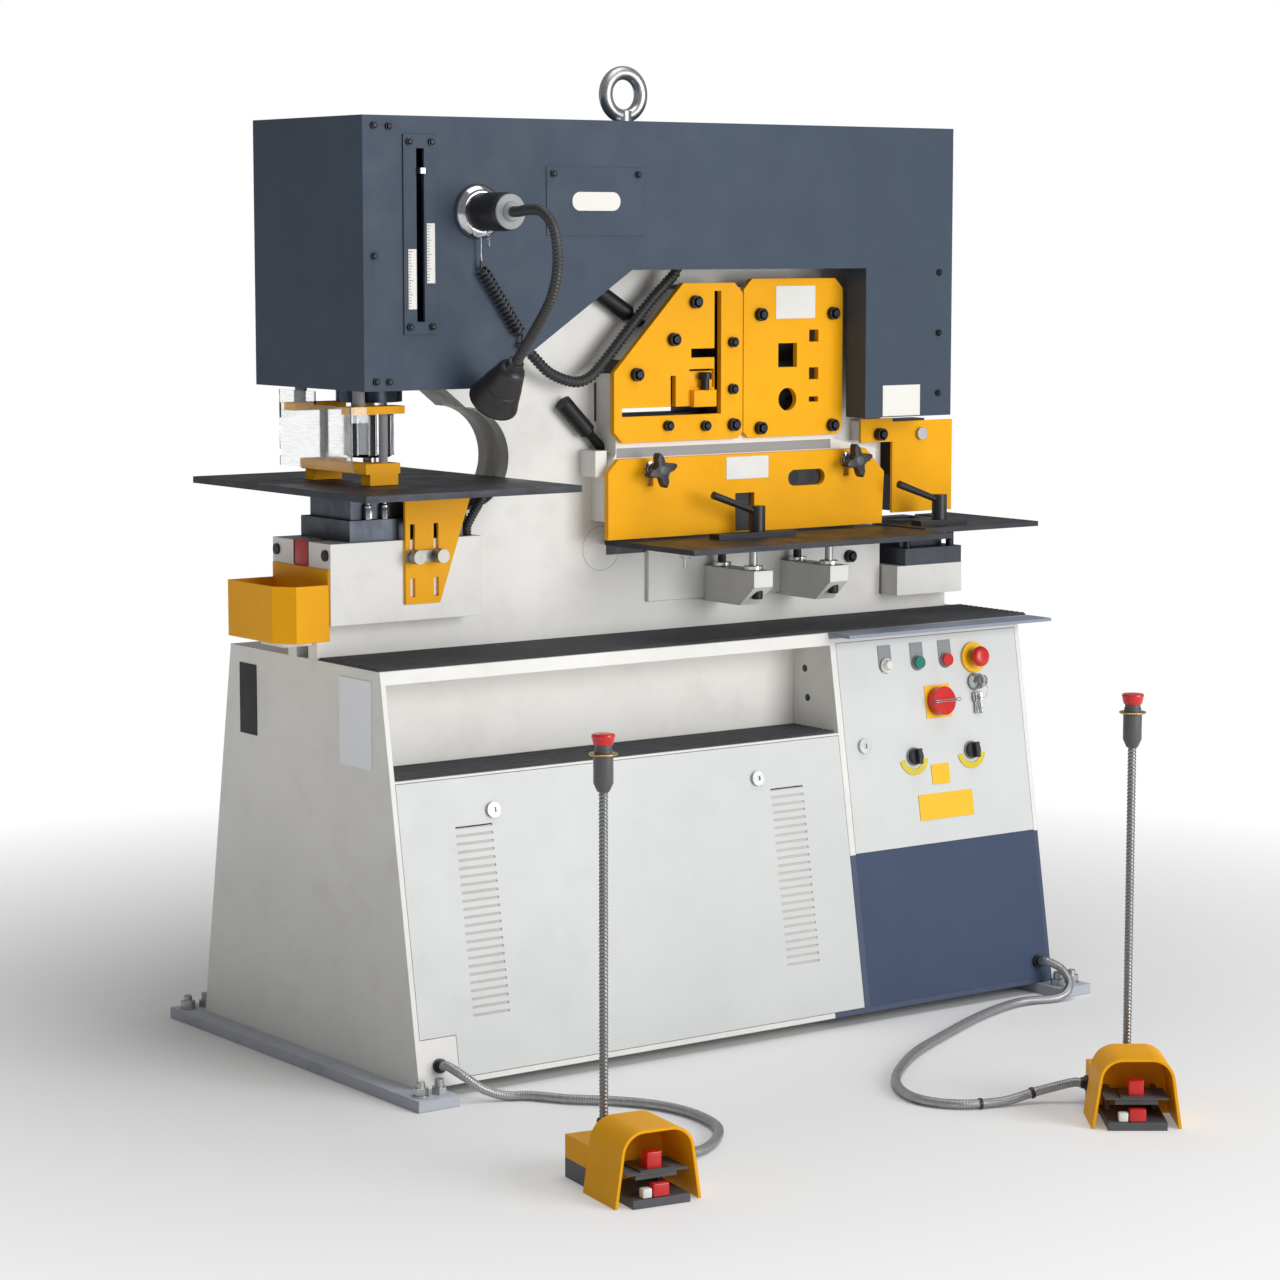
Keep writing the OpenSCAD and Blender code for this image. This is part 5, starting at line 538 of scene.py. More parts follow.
def scatter(name, places, tree, values, finish, body):
    """Stand a tree's shape on places, each a point and its outward direction."""
    data = bpy.data.meshes.new(name + "_points")
    data.from_pydata([p for p, _ in places], [], [])
    attribute = data.attributes.new("out", "FLOAT_VECTOR", "POINT")
    for k, (_, out) in enumerate(places):
        attribute.data[k].vector = out
    holder = bpy.data.objects.new(name + "_points", data)
    bpy.context.scene.collection.objects.link(holder)
    modifier = holder.modifiers.new("scatter", "NODES")
    modifier.node_group = tree
    sockets = {s.name: s.identifier for s in tree.interface.items_tree if s.in_out == "INPUT"}
    for label, value in values.items():
        modifier[sockets[label]] = value
    modifier[sockets["Finish"]] = FINISHES[finish]
    graph = bpy.context.evaluated_depsgraph_get()
    made = bpy.data.meshes.new_from_object(holder.evaluated_get(graph))
    bpy.data.objects.remove(holder)
    bpy.data.meshes.remove(data)
    made.name = name
    settle(name, made, body)


# Sizes and colours a user would change

def length_property(name, text, default):
    return bpy.props.FloatProperty(name=name, description=text, default=default, unit="LENGTH", precision=4)


def colour_property(name, text, default):
    return bpy.props.FloatVectorProperty(name=name, description=text, default=default, size=3, min=0.0, max=1.0,
                                         subtype="COLOR")


class MachineColours(bpy.types.PropertyGroup):
    slate: colour_property("Slate", "Paint of the head housing", (0.041, 0.061, 0.094))
    cream: colour_property("Cream", "Paint of the frame and the base", (0.81, 0.80, 0.765))
    # The white is set darker than the cream: painted shade against the stronger light on the sloped front cover
    # and door.
    white: colour_property("White", "Paint of the front cover and the cabinet door", (0.66, 0.68, 0.67))
    yellow: colour_property("Yellow", "Paint of the guards and shear plates", (0.92, 0.42, 0.003))
    blue_grey: colour_property("Blue grey", "Paint of the lower cabinet panel", (0.042, 0.066, 0.128))
    skid: colour_property("Skid grey", "Paint of the two skids", (0.50, 0.525, 0.59))
    table: colour_property("Table steel", "Blackened steel of the tables", (0.050, 0.054, 0.064))
    mat: colour_property("Mat", "Rubber of the ribbed mats", (0.040, 0.042, 0.048))
    stop_red: colour_property("Stop red", "Plastic of the stop buttons", (0.62, 0.012, 0.012))
    start_green: colour_property("Start green", "Plastic of the start button", (0.01, 0.20, 0.15))


class MachineSizes(bpy.types.PropertyGroup):
    cord_d: length_property("Pedal cord", "Outer diameter of the pedal cords", 0.017)
    cord_pitch: length_property("Cord pitch", "Distance between the windings of a pedal cord", 0.0045)
    neck_d: length_property("Lamp neck", "Outer diameter of the lamp's neck", 0.0195)
    conduit_d: length_property("Conduit", "Outer diameter of the conduit", 0.0215)
    curl_wire: length_property("Curl wire", "Diameter of the curly cord's wire", 0.0052)
    curl_d: length_property("Curl", "Diameter of the curls, at the middle of the wire", 0.018)
    screw_d: length_property("Cover screw", "Head diameter of the cover screws", 0.013)


class StageSettings(bpy.types.PropertyGroup):
    floor: colour_property("Floor", "Colour of the floor", (0.92, 0.92, 0.92))
    lens: bpy.props.FloatProperty(name="Lens", description="Focal length of the camera", default=95.257,
                                  subtype="DISTANCE_CAMERA")
    key_power: bpy.props.FloatProperty(name="Key light", description="Power of the large front light",
                                       default=200.0, subtype="POWER")
    fill_level: bpy.props.FloatProperty(name="Fill light", description="Level of the light from all round",
                                        default=0.28, subtype="FACTOR")


def colours():
    return bpy.context.scene.ironworker_colours


def sizes():
    return bpy.context.scene.ironworker_sizes


CAMERA_AT, CAMERA_DOWN, CAMERA_TURN, SENSOR = (-3.8165, -5.2424, 1.4915), 6.8, -36.1, 36.0


class IRON_OT_camera(bpy.types.Operator):
    """Camera at the height and angle of a person standing off the left front corner"""
    bl_idname = "iron.camera"
    bl_label = "Camera"

    def execute(self, context):
        data = bpy.data.cameras.new("camera")
        data.sensor_width = SENSOR
        data.lens = context.scene.ironworker_stage.lens
        data.clip_end = 100.0
        camera = bpy.data.objects.new("camera", data)
        camera.location = CAMERA_AT
        camera.rotation_euler = (math.radians(90 - CAMERA_DOWN), 0.0, math.radians(CAMERA_TURN))
        context.scene.collection.objects.link(camera)
        context.scene.camera = camera
        return {"FINISHED"}


class IRON_OT_finishes(bpy.types.Operator):
    """Every paint, steel, plastic and rubber of the machine, and the machined parts that take them"""
    bl_idname = "iron.finishes"
    bl_label = "Finishes"

    def execute(self, context):
        make_finishes(colours())
        for slot, finish in SLOT_FINISHES.items():
            for row in frame["record"]["subparts"]:
                if row["material_slot"] == slot:
                    paint_node(row["node"], NODE_FINISHES.get(row["node"], finish))
        return {"FINISHED"}


def paint_node(name, finish):
    node = frame["nodes"][name]
    if not node.material_slots:
        node.data.materials.append(None)
    for slot in node.material_slots:
        slot.material = FINISHES[finish]
    modifier = node.modifiers.new("round faces", "NODES")
    modifier.node_group = round_tree()


def round_tree():
    """Shades the curved faces of a machined part as curves and keeps its true edges sharp."""
    tree = bpy.data.node_groups.get("Round faces")
    if tree:
        return tree
    tree = bpy.data.node_groups.new("Round faces", "GeometryNodeTree")
    for way in ("INPUT", "OUTPUT"):
        tree.interface.new_socket("Mesh", in_out=way, socket_type=GEOMETRY)
    given = tree.nodes.new("NodeGroupInput").outputs
    result = tree.nodes.new("NodeGroupOutput").inputs
    joined = add_node(tree, "GeometryNodeMergeByDistance", {"Geometry": given["Mesh"], "Distance": MERGE})
    smooth = add_node(tree, "GeometryNodeSetShadeSmooth", {"Geometry": joined.outputs[0], "Shade Smooth": True},
                      domain="FACE")
    angle = add_node(tree, "GeometryNodeInputMeshEdgeAngle")
    round_edge = add_node(tree, "FunctionNodeCompare", {0: angle.outputs["Unsigned Angle"], 1: ROUND_BELOW},
                          data_type="FLOAT", operation="LESS_THAN")
    edges = add_node(tree, "GeometryNodeSetShadeSmooth", {"Geometry": smooth.outputs[0],
                                                          "Shade Smooth": round_edge.outputs[0]}, domain="EDGE")
    tree.links.new(edges.outputs[0], result["Mesh"])
    return tree


SLOT_FINISHES = {
    "cream_paint": "cream paint", "slate_paint": "slate paint", "blue_grey_paint": "blue grey paint",
    "yellow_paint": "yellow paint", "red_paint": "red paint", "grey_paint": "skid paint",
    "dark_paint": "skid paint", "table_steel": "blackened table", "tool_steel": "tool steel",
    "bright_steel": "polished steel", "black_steel": "black oxide", "post_steel": "post metal",
    "black_plastic": "black plastic", "red_plastic": "red plastic", "green_plastic": "green plastic",
    "grey_plastic": "grey plastic and painted shade", "clear_plastic": "clear guard", "mat_rubber": "mat rubber",
    "pedal_plastic": "pedal black", "cord_grey": "cord metal", "hose_black": "hose black",
}
NODE_FINISHES = {
    "front_cover": "white paint with painted shade", "cabinet_door": "white paint with painted shade", "panel_bezels": "panel pieces",
    "cover_plates": "cover plates", "die_blocks": "die steel", "eyebolt": "zinc", "cable_glands": "black plastic",
    "cover_lock_left": "zinc", "cover_lock_right": "zinc", "door_lock": "zinc", "base_shell": "base paint",
    "main_switch": "red plastic", "punch_ram": "ram steel", "stripper": "stripper paint",
    "fixed_blades": "blade steel", "shear_slide": "blade steel", "white_blocks": "block paint with painted shade",
    "main_frame": "frame paint with painted shade", "punch_holder": "holder steel", "power_pack": "pump paint",
    "fasteners": "plate screws",
}


def even(value):
    """The same value three times: a grey, or lines of one scale all ways."""
    return (value, value, value)


def mark(x, y, z, paint):
    """A box of the machine that carries another colour (another paint, a label, painted shade): its range in mm
    along each axis.
    """
    return place(x[0], y[0], z[0]), place(x[1], y[1], z[1]), paint


def front_mark(x, u, width, height, paint, low=-1.0, high=40.0):
    """A mark on a panel piece of the sloped front."""
    corners = [front_place(x + i * width / 2, u + j * height / 2, o) for i in (-1, 1) for j in (-1, 1)
               for o in (low, high)]
    return [min(c[k] for c in corners) for k in range(3)], [max(c[k] for c in corners) for k in range(3)], paint


# The first colour is near-black painted shade for the inside faces of the shear windows.
PAINTED_SHADE, INK = (0.025, 0.025, 0.026), (0.02, 0.021, 0.023)
LEMON = (0.92, 0.53, 0.004)
PLATE_WHITE, LABEL_WHITE = (0.78, 0.77, 0.72), (0.93, 0.95, 0.98)
MID_GREY, ROD_GREY = (0.42, 0.43, 0.44), (0.27, 0.28, 0.30)
CHARCOAL, DUST = (0.085, 0.086, 0.092), (0.09, 0.085, 0.08)
SMALL_EDGE = 0.0008

CREAM_COAT = dict(rough=0.42, mottle=0.04, grime=0.16, grime_colour=(0.34, 0.30, 0.24),
                  worn_colour=(0.40, 0.37, 0.33), wear=0.3)
YELLOW_COAT = dict(rough=0.50, mottle=0.05, grime=0.14, grime_colour=(0.45, 0.20, 0.01),
                   worn_colour=(0.35, 0.22, 0.08), wear=0.35, Coat_Weight=0.02, Specular_IOR_Level=0.15)
SLATE_COAT = dict(rough=0.52, grime=0.10, grime_colour=(0.03, 0.035, 0.045), worn_colour=(0.30, 0.33, 0.38),
                  wear=0.3, Specular_IOR_Level=0.3)
PANEL_COAT = dict(mottle=0.05, grime=0.1, worn_colour=even(0.4), wear=0.25, radius=SMALL_EDGE)
MOULDED = dict(peel=1400.0, radius=SMALL_EDGE)
BLACKENED = dict(stain=0.2, stain_colour=(0.05, 0.045, 0.04), lines=even(300.0),
                 worn_colour=(0.28, 0.28, 0.29), wear=0.5)


def make_finishes(c):
    """The paints, plastics and rubbers, then the metals and the clear guard."""
    slate, cream, yellow, blue_grey = tuple(c.slate), tuple(c.cream), tuple(c.yellow), tuple(c.blue_grey)
    coated("slate paint", slate, mottle=0.07, mottle_scale=3.0, peel=420.0, bump=(0.10, 0.0008), **SLATE_COAT)
    coated("cover plates", slate, mottle=0.06, **SLATE_COAT, marks=(
        mark((455, 575), (-200, -190.6), (1530, 1582), PLATE_WHITE),
        mark((1180, 1300), (-200, -150), (1135, 1215), PLATE_WHITE),
        mark((-20, 30), (-240, -120), (550, 730), LABEL_WHITE), mark((-20, 30), (150, 240), (550, 730), INK)))
    coated("cream paint", cream, **CREAM_COAT)
    coated("base paint", cream, **CREAM_COAT, marks=(
        mark((1005, 1600), (-400, -262), (727, 745), (0.25, 0.285, 0.37)),
        mark((932, 1489), (-400, -290), (18, 317), blue_grey)))
    # Block and frame: the cream paint with near-black boxes on the inside faces of the shear windows, painted
    # shade in the openings.
    for name, left, depth in (("block paint with painted shade", 613.3, 112.2), ("frame paint with painted shade", 600, 50.2)):
        coated(name, cream, **CREAM_COAT, marks=(
            mark((left, 872), (-depth, depth), (1140, 1262), PAINTED_SHADE),
            mark((838, 872), (-depth, depth), (1140, 1392), PAINTED_SHADE)))
    coated("yellow paint", yellow, **YELLOW_COAT)
    coated("stripper paint", yellow, **YELLOW_COAT, marks=[
        mark((30, 160), (-130, 130), heights, ROD_GREY) for heights in ((1091, 1177), (1193, 1252))])
    # Front cover and door: kept darker than the cream as painted shade, against the stronger light on the sloped
    # front.
    coated("white paint with painted shade", tuple(c.white), rough=0.38, mottle=0.03, grime=0.10, grime_colour=(0.42, 0.38, 0.32),
           worn_colour=(0.45, 0.43, 0.40), wear=0.25)
    coated("blue grey paint", blue_grey, rough=0.52, Specular_IOR_Level=0.3, mottle=0.06, grime=0.15,
           grime_colour=(0.16, 0.15, 0.14), worn_colour=(0.30, 0.32, 0.36), wear=0.3)
    coated("skid paint", tuple(c.skid), rough=0.5, mottle=0.08, grime=0.45, grime_colour=(0.22, 0.20, 0.18),
           worn_colour=(0.24, 0.22, 0.20), wear=0.5)
    coated("red paint", (0.52, 0.03, 0.02), rough=0.45, grime=0.3, worn_colour=(0.3, 0.28, 0.27), wear=0.5)
    coated("pump paint", (0.05, 0.09, 0.14), rough=0.45, grime=0.3, grime_colour=even(0.03), marks=(
        mark((932, 1490), (-400, 100), (40, 735), MID_GREY),))
    coated("mat rubber", tuple(c.mat), rough=0.72, mottle=0.16, mottle_scale=9.0, grime=0.55,
           grime_colour=(0.13, 0.125, 0.12), peel=900.0, bump=(0.3, 0.0006), worn_colour=even(0.12), wear=0.6)
    coated("pedal black", CHARCOAL, rough=0.5, mottle=0.10, grime=0.25, grime_colour=DUST, peel=1200.0,
           bump=(0.35, 0.0004), worn_colour=even(0.10), wear=0.5)
    coated("black plastic", (0.018, 0.018, 0.020), rough=0.38, mottle=0.08, grime=0.15, grime_colour=even(0.08),
           bump=(0.2, 0.0003), worn_colour=even(0.12), wear=0.4, **MOULDED)
    coated("dark plastic", CHARCOAL, rough=0.40, mottle=0.06, grime_colour=even(0.10), bump=(0.15, 0.0003),
           worn_colour=even(0.16), wear=0.3, **MOULDED)
    coated("hose black", (0.036, 0.036, 0.039), rough=0.34, mottle=0.10, grime=0.2, grime_colour=DUST,
           peel=1500.0, bump=(0.15, 0.0003), worn_colour=(0.11, 0.11, 0.115), wear=0.45, radius=0.0006)
    coated("red plastic", tuple(c.stop_red), rough=0.26, grime=0.08, grime_colour=(0.18, 0.01, 0.01), peel=900.0,
           bump=(0.05, 0.0003), worn_colour=(0.45, 0.06, 0.05), wear=0.3, radius=SMALL_EDGE, Coat_Weight=0.2)
    coated("green plastic", tuple(c.start_green), rough=0.28, grime=0.05, worn_colour=(0.05, 0.3, 0.24), wear=0.2,
           radius=SMALL_EDGE)
    # Grey plastic; the same finish makes the strip of painted shade over the flat guard.
    coated("grey plastic and painted shade", (0.30, 0.31, 0.32), **PANEL_COAT)
    coated("panel pieces", (0.26, 0.27, 0.28), rough=0.38, **PANEL_COAT, marks=(
        front_mark(1362, 658, 62, 62, LEMON), front_mark(1262, 577, 72, 72, LEMON),
        front_mark(1251, 436, 48, 42, LEMON), front_mark(1258, 374, 150, 58, LEMON),
        front_mark(1138, 656, 30, 30, PLATE_WHITE, 6.0)))
    # Vent backing: a darker cream, painted shade inside the shallow louvres.
    coated("vent painted shade", (0.60, 0.59, 0.56), rough=0.6, grime=0.15, grime_colour=(0.30, 0.27, 0.22))
    coated("arc yellow", (0.72, 0.58, 0.03), rough=0.4, mottle=0.06, grime=0.15, grime_colour=(0.4, 0.3, 0.05))
    coated("lens white", (0.80, 0.80, 0.78), rough=0.3, mottle=0.04, grime_colour=(0.4, 0.38, 0.34))
    coated("scale white", (0.80, 0.79, 0.75), rough=0.5, grime=0.2, grime_colour=(0.45, 0.42, 0.36))
    # Near-black: print, and painted shade in the coupling nut's slots.
    coated("ink and painted shade", (0.015, 0.015, 0.016), rough=0.55, mottle=0.1, grime=0.1, grime_colour=even(0.06))
    make_steels(tuple(c.table))
    make_guard()


def make_steels(table):
    steel("blackened table", table, rough=0.50, stain=0.35, stain_colour=(0.045, 0.045, 0.05),
          lines=(12.0, 260.0, 260.0), worn_colour=(0.32, 0.33, 0.35), wear=0.6, Metallic=0.75)
    steel("tool steel", (0.16, 0.165, 0.18), rough=0.34, stain=0.3, lines=(300.0, 300.0, 14.0), wear=0.6)
    steel("die steel", (0.075, 0.085, 0.105), rough=0.40, stain=0.3, stain_colour=(0.04, 0.04, 0.045),
          lines=(200.0, 200.0, 20.0), worn_colour=(0.34, 0.35, 0.37), wear=0.6, Metallic=0.8)
    steel("polished steel", (0.62, 0.63, 0.65), rough=0.16, stain=0.08, lines=even(700.0), wear=0.2)
    steel("ram steel", (0.48, 0.49, 0.50), rough=0.22, stain=0.12, lines=(500.0, 500.0, 30.0), wear=0.3, marks=(
        mark((60, 230), (-80, 80), (1194, 1217.5), (0.035, 0.045, 0.060)),))
    steel("holder steel", (0.34, 0.35, 0.37), rough=0.16, stain=0.15, lines=(500.0, 500.0, 40.0))
    steel("blade steel", (0.060, 0.062, 0.068), rough=0.46, stain=0.3, stain_colour=(0.035, 0.034, 0.034),
          lines=(300.0, 300.0, 14.0), Metallic=0.8)
    steel("zinc", (0.50, 0.51, 0.52), rough=0.34, stain=0.15, stain_colour=(0.30, 0.30, 0.28), lines=even(60.0),
          wear=0.3)
    steel("black oxide", (0.030, 0.031, 0.034), rough=0.38, Metallic=0.85, **BLACKENED)
    steel("plate screws", (0.030, 0.031, 0.034), rough=0.36, Metallic=0.9, **BLACKENED, marks=(
        mark((700, 1500), (-420, -100), (760, 905), MID_GREY),
        mark((145, 320), (-190, -101), (800, 960), (0.30, 0.29, 0.27)),
        mark((-80, 1580), (-500, 500), (0, 95), MID_GREY),
        mark((1368, 1400), (-110, -70), (1082, 1116), (0.45, 0.46, 0.47))))
    steel("cord metal", (0.40, 0.405, 0.415), rough=0.36, stain=0.25, stain_colour=(0.16, 0.155, 0.15),
          lines=even(150.0), wear=0.3, Metallic=0.8)
    steel("post metal", (0.26, 0.265, 0.27), rough=0.34, stain=0.25, stain_colour=(0.12, 0.115, 0.11),
          lines=even(200.0), Metallic=0.85)
    steel("brass", (0.55, 0.38, 0.13), rough=0.28, stain_colour=(0.25, 0.16, 0.06), lines=even(300.0), wear=0.3)
    steel("chrome", (0.52, 0.53, 0.55), rough=0.12, stain=0.05, lines=even(400.0), wear=0.1)


def make_guard():
    """Clear guard: a slightly hazed, scratched sheet."""
    tree, shader = start_finish("clear guard", Transmission_Weight=1.0, IOR=1.45, Metallic=0.0)
    surface = group_node(tree, "Ground steel", {
        "Color": (0.97, 0.98, 0.98, 1), "Stain Color": (0.90, 0.93, 0.93, 1), "Stain": 0.15, "Roughness": 0.03,
        "Lines": (40.0, 40.0, 500.0)})
    tree.links.new(surface.outputs["Color"], shader.inputs["Base Color"])
    tree.links.new(surface.outputs["Roughness"], shader.inputs["Roughness"])
    bumps = add_node(tree, "ShaderNodeBump", {"Strength": 0.03, "Distance": 0.0003,
                                              "Height": surface.outputs["Height"]})
    tree.links.new(bumps.outputs[0], shader.inputs["Normal"])


# Cords and hoses

LEFT_CORD = ((45, -386.8, 58.46), (45, -403.57, 61.24), (62, -428, 46), (92, -444, 22), (128, -460, 8.8),
             (164, -486, 8.8), (205, -545, 8.8), (262, -602, 8.8), (305, -672, 8.8), (318, -755, 8.8),
             (298, -842, 8.8), (245, -905, 8.8), (188, -942, 8.8), (128, -962, 20), (80.055, -965.311, 35),
             (63.242, -962.798, 35))
RIGHT_CORD = ((1455, -385.818, 64.382), (1455, -402.589, 67.158), (1470, -428, 54), (1468, -454, 28),
              (1430, -463, 8.8), (1340, -448, 8.8), (1209, -487, 8.8), (1033, -572, 8.8), (891, -651, 8.8),
              (766, -753, 8.8), (705, -841, 8.8), (694, -915, 8.8), (730, -972, 8.8), (800, -998, 8.8),
              (862, -1014, 20), (911.606, -1047.942, 35), (925.342, -1057.959, 35))
NECK = ((-303, 1534), (-321, 1534), (-350, 1537), (-394, 1533), (-430, 1500), (-438, 1440), (-420, 1388),
        (-385, 1346), (-324.95, 1286.51), (-312, 1274))
CONDUIT = ((424, 1287), (438.85, 1272.15), (476, 1241), (527, 1224), (562, 1230), (592, 1254), (640, 1304),
           (700, 1366), (742, 1404), (764, 1425), (764, 1446))
HOSE = ((301, -82, 950), (301, -82, 966), (314, -82, 988), (336, -74, 1012), (353, -60, 1030), (360, -40, 1040))
LAMP_X, LAMP_Z = 257, 1534
CONDUIT_Y = -97
CURL_FROM, CURL_TO = (LAMP_X, -200, 1438), (345, -200, 1313)
CURLS, CURL_STEPS, CURL_LEAD = 17, 16, UP * 0.010
CORD_TIES = (206, 224)


def make_hose(name, node, route, radius, rib, pitch, finish, wound, sides=14, per_rib=4):
    """A ribbed hose through the places of a route, and the points of its middle line."""
    path = smooth_path([place(*p) for p in route], 10)
    shape = Shape()
    ribbed_tube(shape, path, radius, rib, pitch, finish, sides, wound, per_rib)
    return shape.done(name, "machine", (node,), sharp=70.0), even_path(path, CORD_POINTS)


class IRON_OT_pedal_cords(bpy.types.Operator):
    """Wound metal leads from the base to the two foot pedals"""
    bl_idname = "iron.pedal_cords"
    bl_label = "Pedal cords"

    def execute(self, context):
        s = sizes()
        for name, node, route in (("pedal_lead_left", "cord_left", LEFT_CORD),
                                  ("pedal_lead_right", "cord_right", RIGHT_CORD)):
            piece, points = make_hose(name, node, route, s.cord_d * 500, 0.8, s.cord_pitch * 1000, "cord metal",
                                      True)
        ties = Shape()
        for k in CORD_TIES:
            ties.tube(points[k:k + 2], s.cord_d * 500 + 1.4, "black plastic", 20)
        ties.done("cord_ties", "machine")
        return {"FINISHED"}


class IRON_OT_lamp_cords(bpy.types.Operator):
    """Lamp neck, conduit, short hose and curly cord"""
    bl_idname = "iron.lamp_cords"
    bl_label = "Lamp neck and hoses"

    def execute(self, context):
        s = sizes()
        neck, points = make_hose("lamp_neck", "gooseneck", [(LAMP_X, y, z) for y, z in NECK], s.neck_d * 500, 1.5,
                                 6.6, "hose black", True, 20, 6)
        conduit, points = make_hose("lamp_conduit", "lamp_cords", [(x, CONDUIT_Y, z) for x, z in CONDUIT],
                                    s.conduit_d * 500, 2.6, 8.4, "hose black", False, 20, 6)
        make_hose("short_hose", "lamp_cords", HOSE, 9.0, 1.8, 6.4, "hose black", False, 18, 6)
        self.curly(s)
        return {"FINISHED"}

    def curly(self, s):
        """The curly cord, its curls growing from both straight ends."""
        start, end = place(*CURL_FROM), place(*CURL_TO)
        side, other = across((end - start).normalized())
        path = [start + CURL_LEAD]
        for k in range(CURLS * CURL_STEPS + 1):
            share, a = k / (CURLS * CURL_STEPS), 2 * math.pi * k / CURL_STEPS
            r = s.curl_d / 2 * min(1.0, min(share, 1 - share) / 0.07)
            path.append(start.lerp(end, share) + (side * math.cos(a) + other * math.sin(a)) * r)
        path.append(end - CURL_LEAD)
        shape = Shape()
        shape.tube(path, s.curl_wire * 500, "hose black", 10)
        piece = shape.done("curly_cord", "machine", ("lamp_cords",), sharp=80.0)


# Lamp

LAMP_FLANGE = [(0, 0), (49, 0), (49, 5), (48, 9), (45, 13), (41, 16), (38, 17.5), (36, 18), (0, 18)]
LAMP_BODY = [(0, 0), (34, 0), (34, 6), (33, 7), (33, 9), (34, 10), (34, 74), (32.5, 80), (29, 85), (28, 86),
             (0, 86)]
LAMP_DISC = [(0, 0), (31, 0), (31, 2), (30, 3), (18, 3.6), (17, 8), (14.5, 10), (0, 10)]
LAMP_BELL = [(0, 0), (11, 0), (14.5, 2), (15, 5), (15.5, 15), (20, 17), (24, 20), (26, 26), (31, 45), (36, 62),
             (35.2, 62.8), (35.2, 63.8), (36.4, 64.6), (41, 84), (44.5, 97), (46, 101), (46.5, 103.5), (46, 105),
             (44.5, 105), (43, 103), (41, 94), (34, 68), (24, 44), (0, 42)]
LAMP_LINING = [(0, 0), (22, 1.5), (32.5, 26), (40, 50), (41.5, 55), (40.5, 55), (31.5, 27), (21, 3), (0, 2)]
LAMP_BULB = [(0, 0), (13, 0), (13.5, 12), (17, 22), (22, 33), (24, 41), (22, 49), (15, 55), (7, 57.5), (0, 58)]
LAMP_TILT, LINING_AT, BULB_AT = math.radians(46), 0.0425, 0.044
LAMP_HOOK = ((257, 1500), (257, 1480), (257, 1456), (258.5, 1450), (257, 1447))
BEADS, BEAD_R, CHAIN_DROP = 15, 0.0021, 0.026
CORD_PEG = [(0, 0), (6, 0), (6, 16), (5, 18.5), (0, 18.5)]


class IRON_OT_lamp(bpy.types.Operator):
    """Work lamp: bright flange, body with an end disc, hook, bead chain and a bell-shaped head"""
    bl_idname = "iron.lamp"
    bl_label = "Lamp"

    def execute(self, context):
        shape = Shape()
        for out, profile, finish, sides in ((0, LAMP_FLANGE, "chrome", 64), (18, LAMP_BODY, "black plastic", 56),
                                            (104, LAMP_DISC, "grey plastic and painted shade", 48)):
            shape.turned(place(LAMP_X, HEAD_FRONT - out, LAMP_Z), FRONT, profile, finish, sides)
        top = place(LAMP_X, *NECK[-1])
        down = Vector((0, math.sin(LAMP_TILT), -math.cos(LAMP_TILT)))
        shape.turned(top, down, LAMP_BELL, "black plastic", 64)
        shape.turned(top + down * LINING_AT, down, LAMP_LINING, "chrome", 56)
        shape.turned(top + down * BULB_AT, down, LAMP_BULB, "lens white", 40)
        shape.tube([place(x, -200, z) for x, z in LAMP_HOOK], 1.6, "zinc", 8)
        shape.turned(place(345, HEAD_FRONT, 1297), FRONT, CORD_PEG, "zinc", 24)
        shape.done("work_lamp", "machine", ("lamp",))
        self.chain()
        return {"FINISHED"}

    def chain(self):
        """A short bead chain hanging in a loop under the lamp body."""
        ends = (place(249, -240, 1501), place(262, -214, 1499))
        steps = [k / (BEADS - 1) for k in range(BEADS)]
        beads = [(ends[0].lerp(ends[1], t) - UP * (CHAIN_DROP * 4 * t * (1 - t)), UP) for t in steps]
        tree = scatter_tree("Bead chain", [("Bead", FLOAT, BEAD_R)], bead)
        scatter("lamp_bead_chain", beads, tree, {"Bead": BEAD_R}, "zinc", "machine")


def bead(tree, given):
    ball = add_node(tree, "GeometryNodeMeshIcoSphere", {"Radius": given["Bead"], "Subdivisions": 2})
    return ball.outputs["Mesh"]


# Pedals

POST_WINDING = (7.6, 1.3, 6.2)
POST_FOOT = [(0, 0), (11, 0), (11.5, 1), (11.5, 12), (10, 15), (8, 16), (0, 16)]
POST_HEAD = [(0, 0), (8.5, 0), (10, 1), (15.5, 13), (16, 15), (16, 58), (15, 59), (0, 59)]
POST_COLLAR = [(0, 0), (22, 0), (23, 0.8), (23, 2.2), (22, 3), (0, 3)]
POST_CUP = [(0, 0), (14.5, 0), (14.5, 6), (13.8, 6), (13.8, 0.4), (0, 0.4)]
CONE_H, CONE_NECK = 17.0, 8.6
CONE_PROFILE = [(0, 0), (0.80, 0), (0.84, 1), (0.99, 13), (1, 14.5), (0.97, 16.4), (0.92, 17), (0, 17)]
DOME_R, DOME_H, DOME_FOOT = 20.0, 15.0, 10.4
DOME_PROFILE = [(0.55, 0), (0.8, 0.5), (0.97, 3), (1, 5), (1, 7.5), (0.96, 10), (0.84, 12.5), (0.62, 14.2),
                (0.34, 14.9), (0, 15)]


class IRON_OT_pedal_posts(bpy.types.Operator):
    """Wound posts on the pedals, each with a tapered head and a collar under its stop button"""
    bl_idname = "iron.pedal_posts"
    bl_label = "Pedal posts"

    def execute(self, context):
        shape = Shape()
        for i in (0, 1):
            foot, head = (pedal_place(i, POST_X[i], POST_Y, z) for z in POST_ENDS)
            path = [foot.lerp(head, k / 40) for k in range(41)]
            ribbed_tube(shape, path, *POST_WINDING, "post metal", 20, True, 6)
            shape.turned(foot + UP * 0.006, UP, POST_FOOT, "black plastic", 32)
            shape.turned(head, UP, POST_HEAD, "dark plastic", 40)
            shape.turned(head + UP * 0.059, UP, POST_COLLAR, "brass", 48)
            shape.turned(head + UP * 0.062, UP, POST_CUP, "dark plastic", 40)
        shape.done("pedal_post_stems", "machine", ("pedal_posts",))
        return {"FINISHED"}


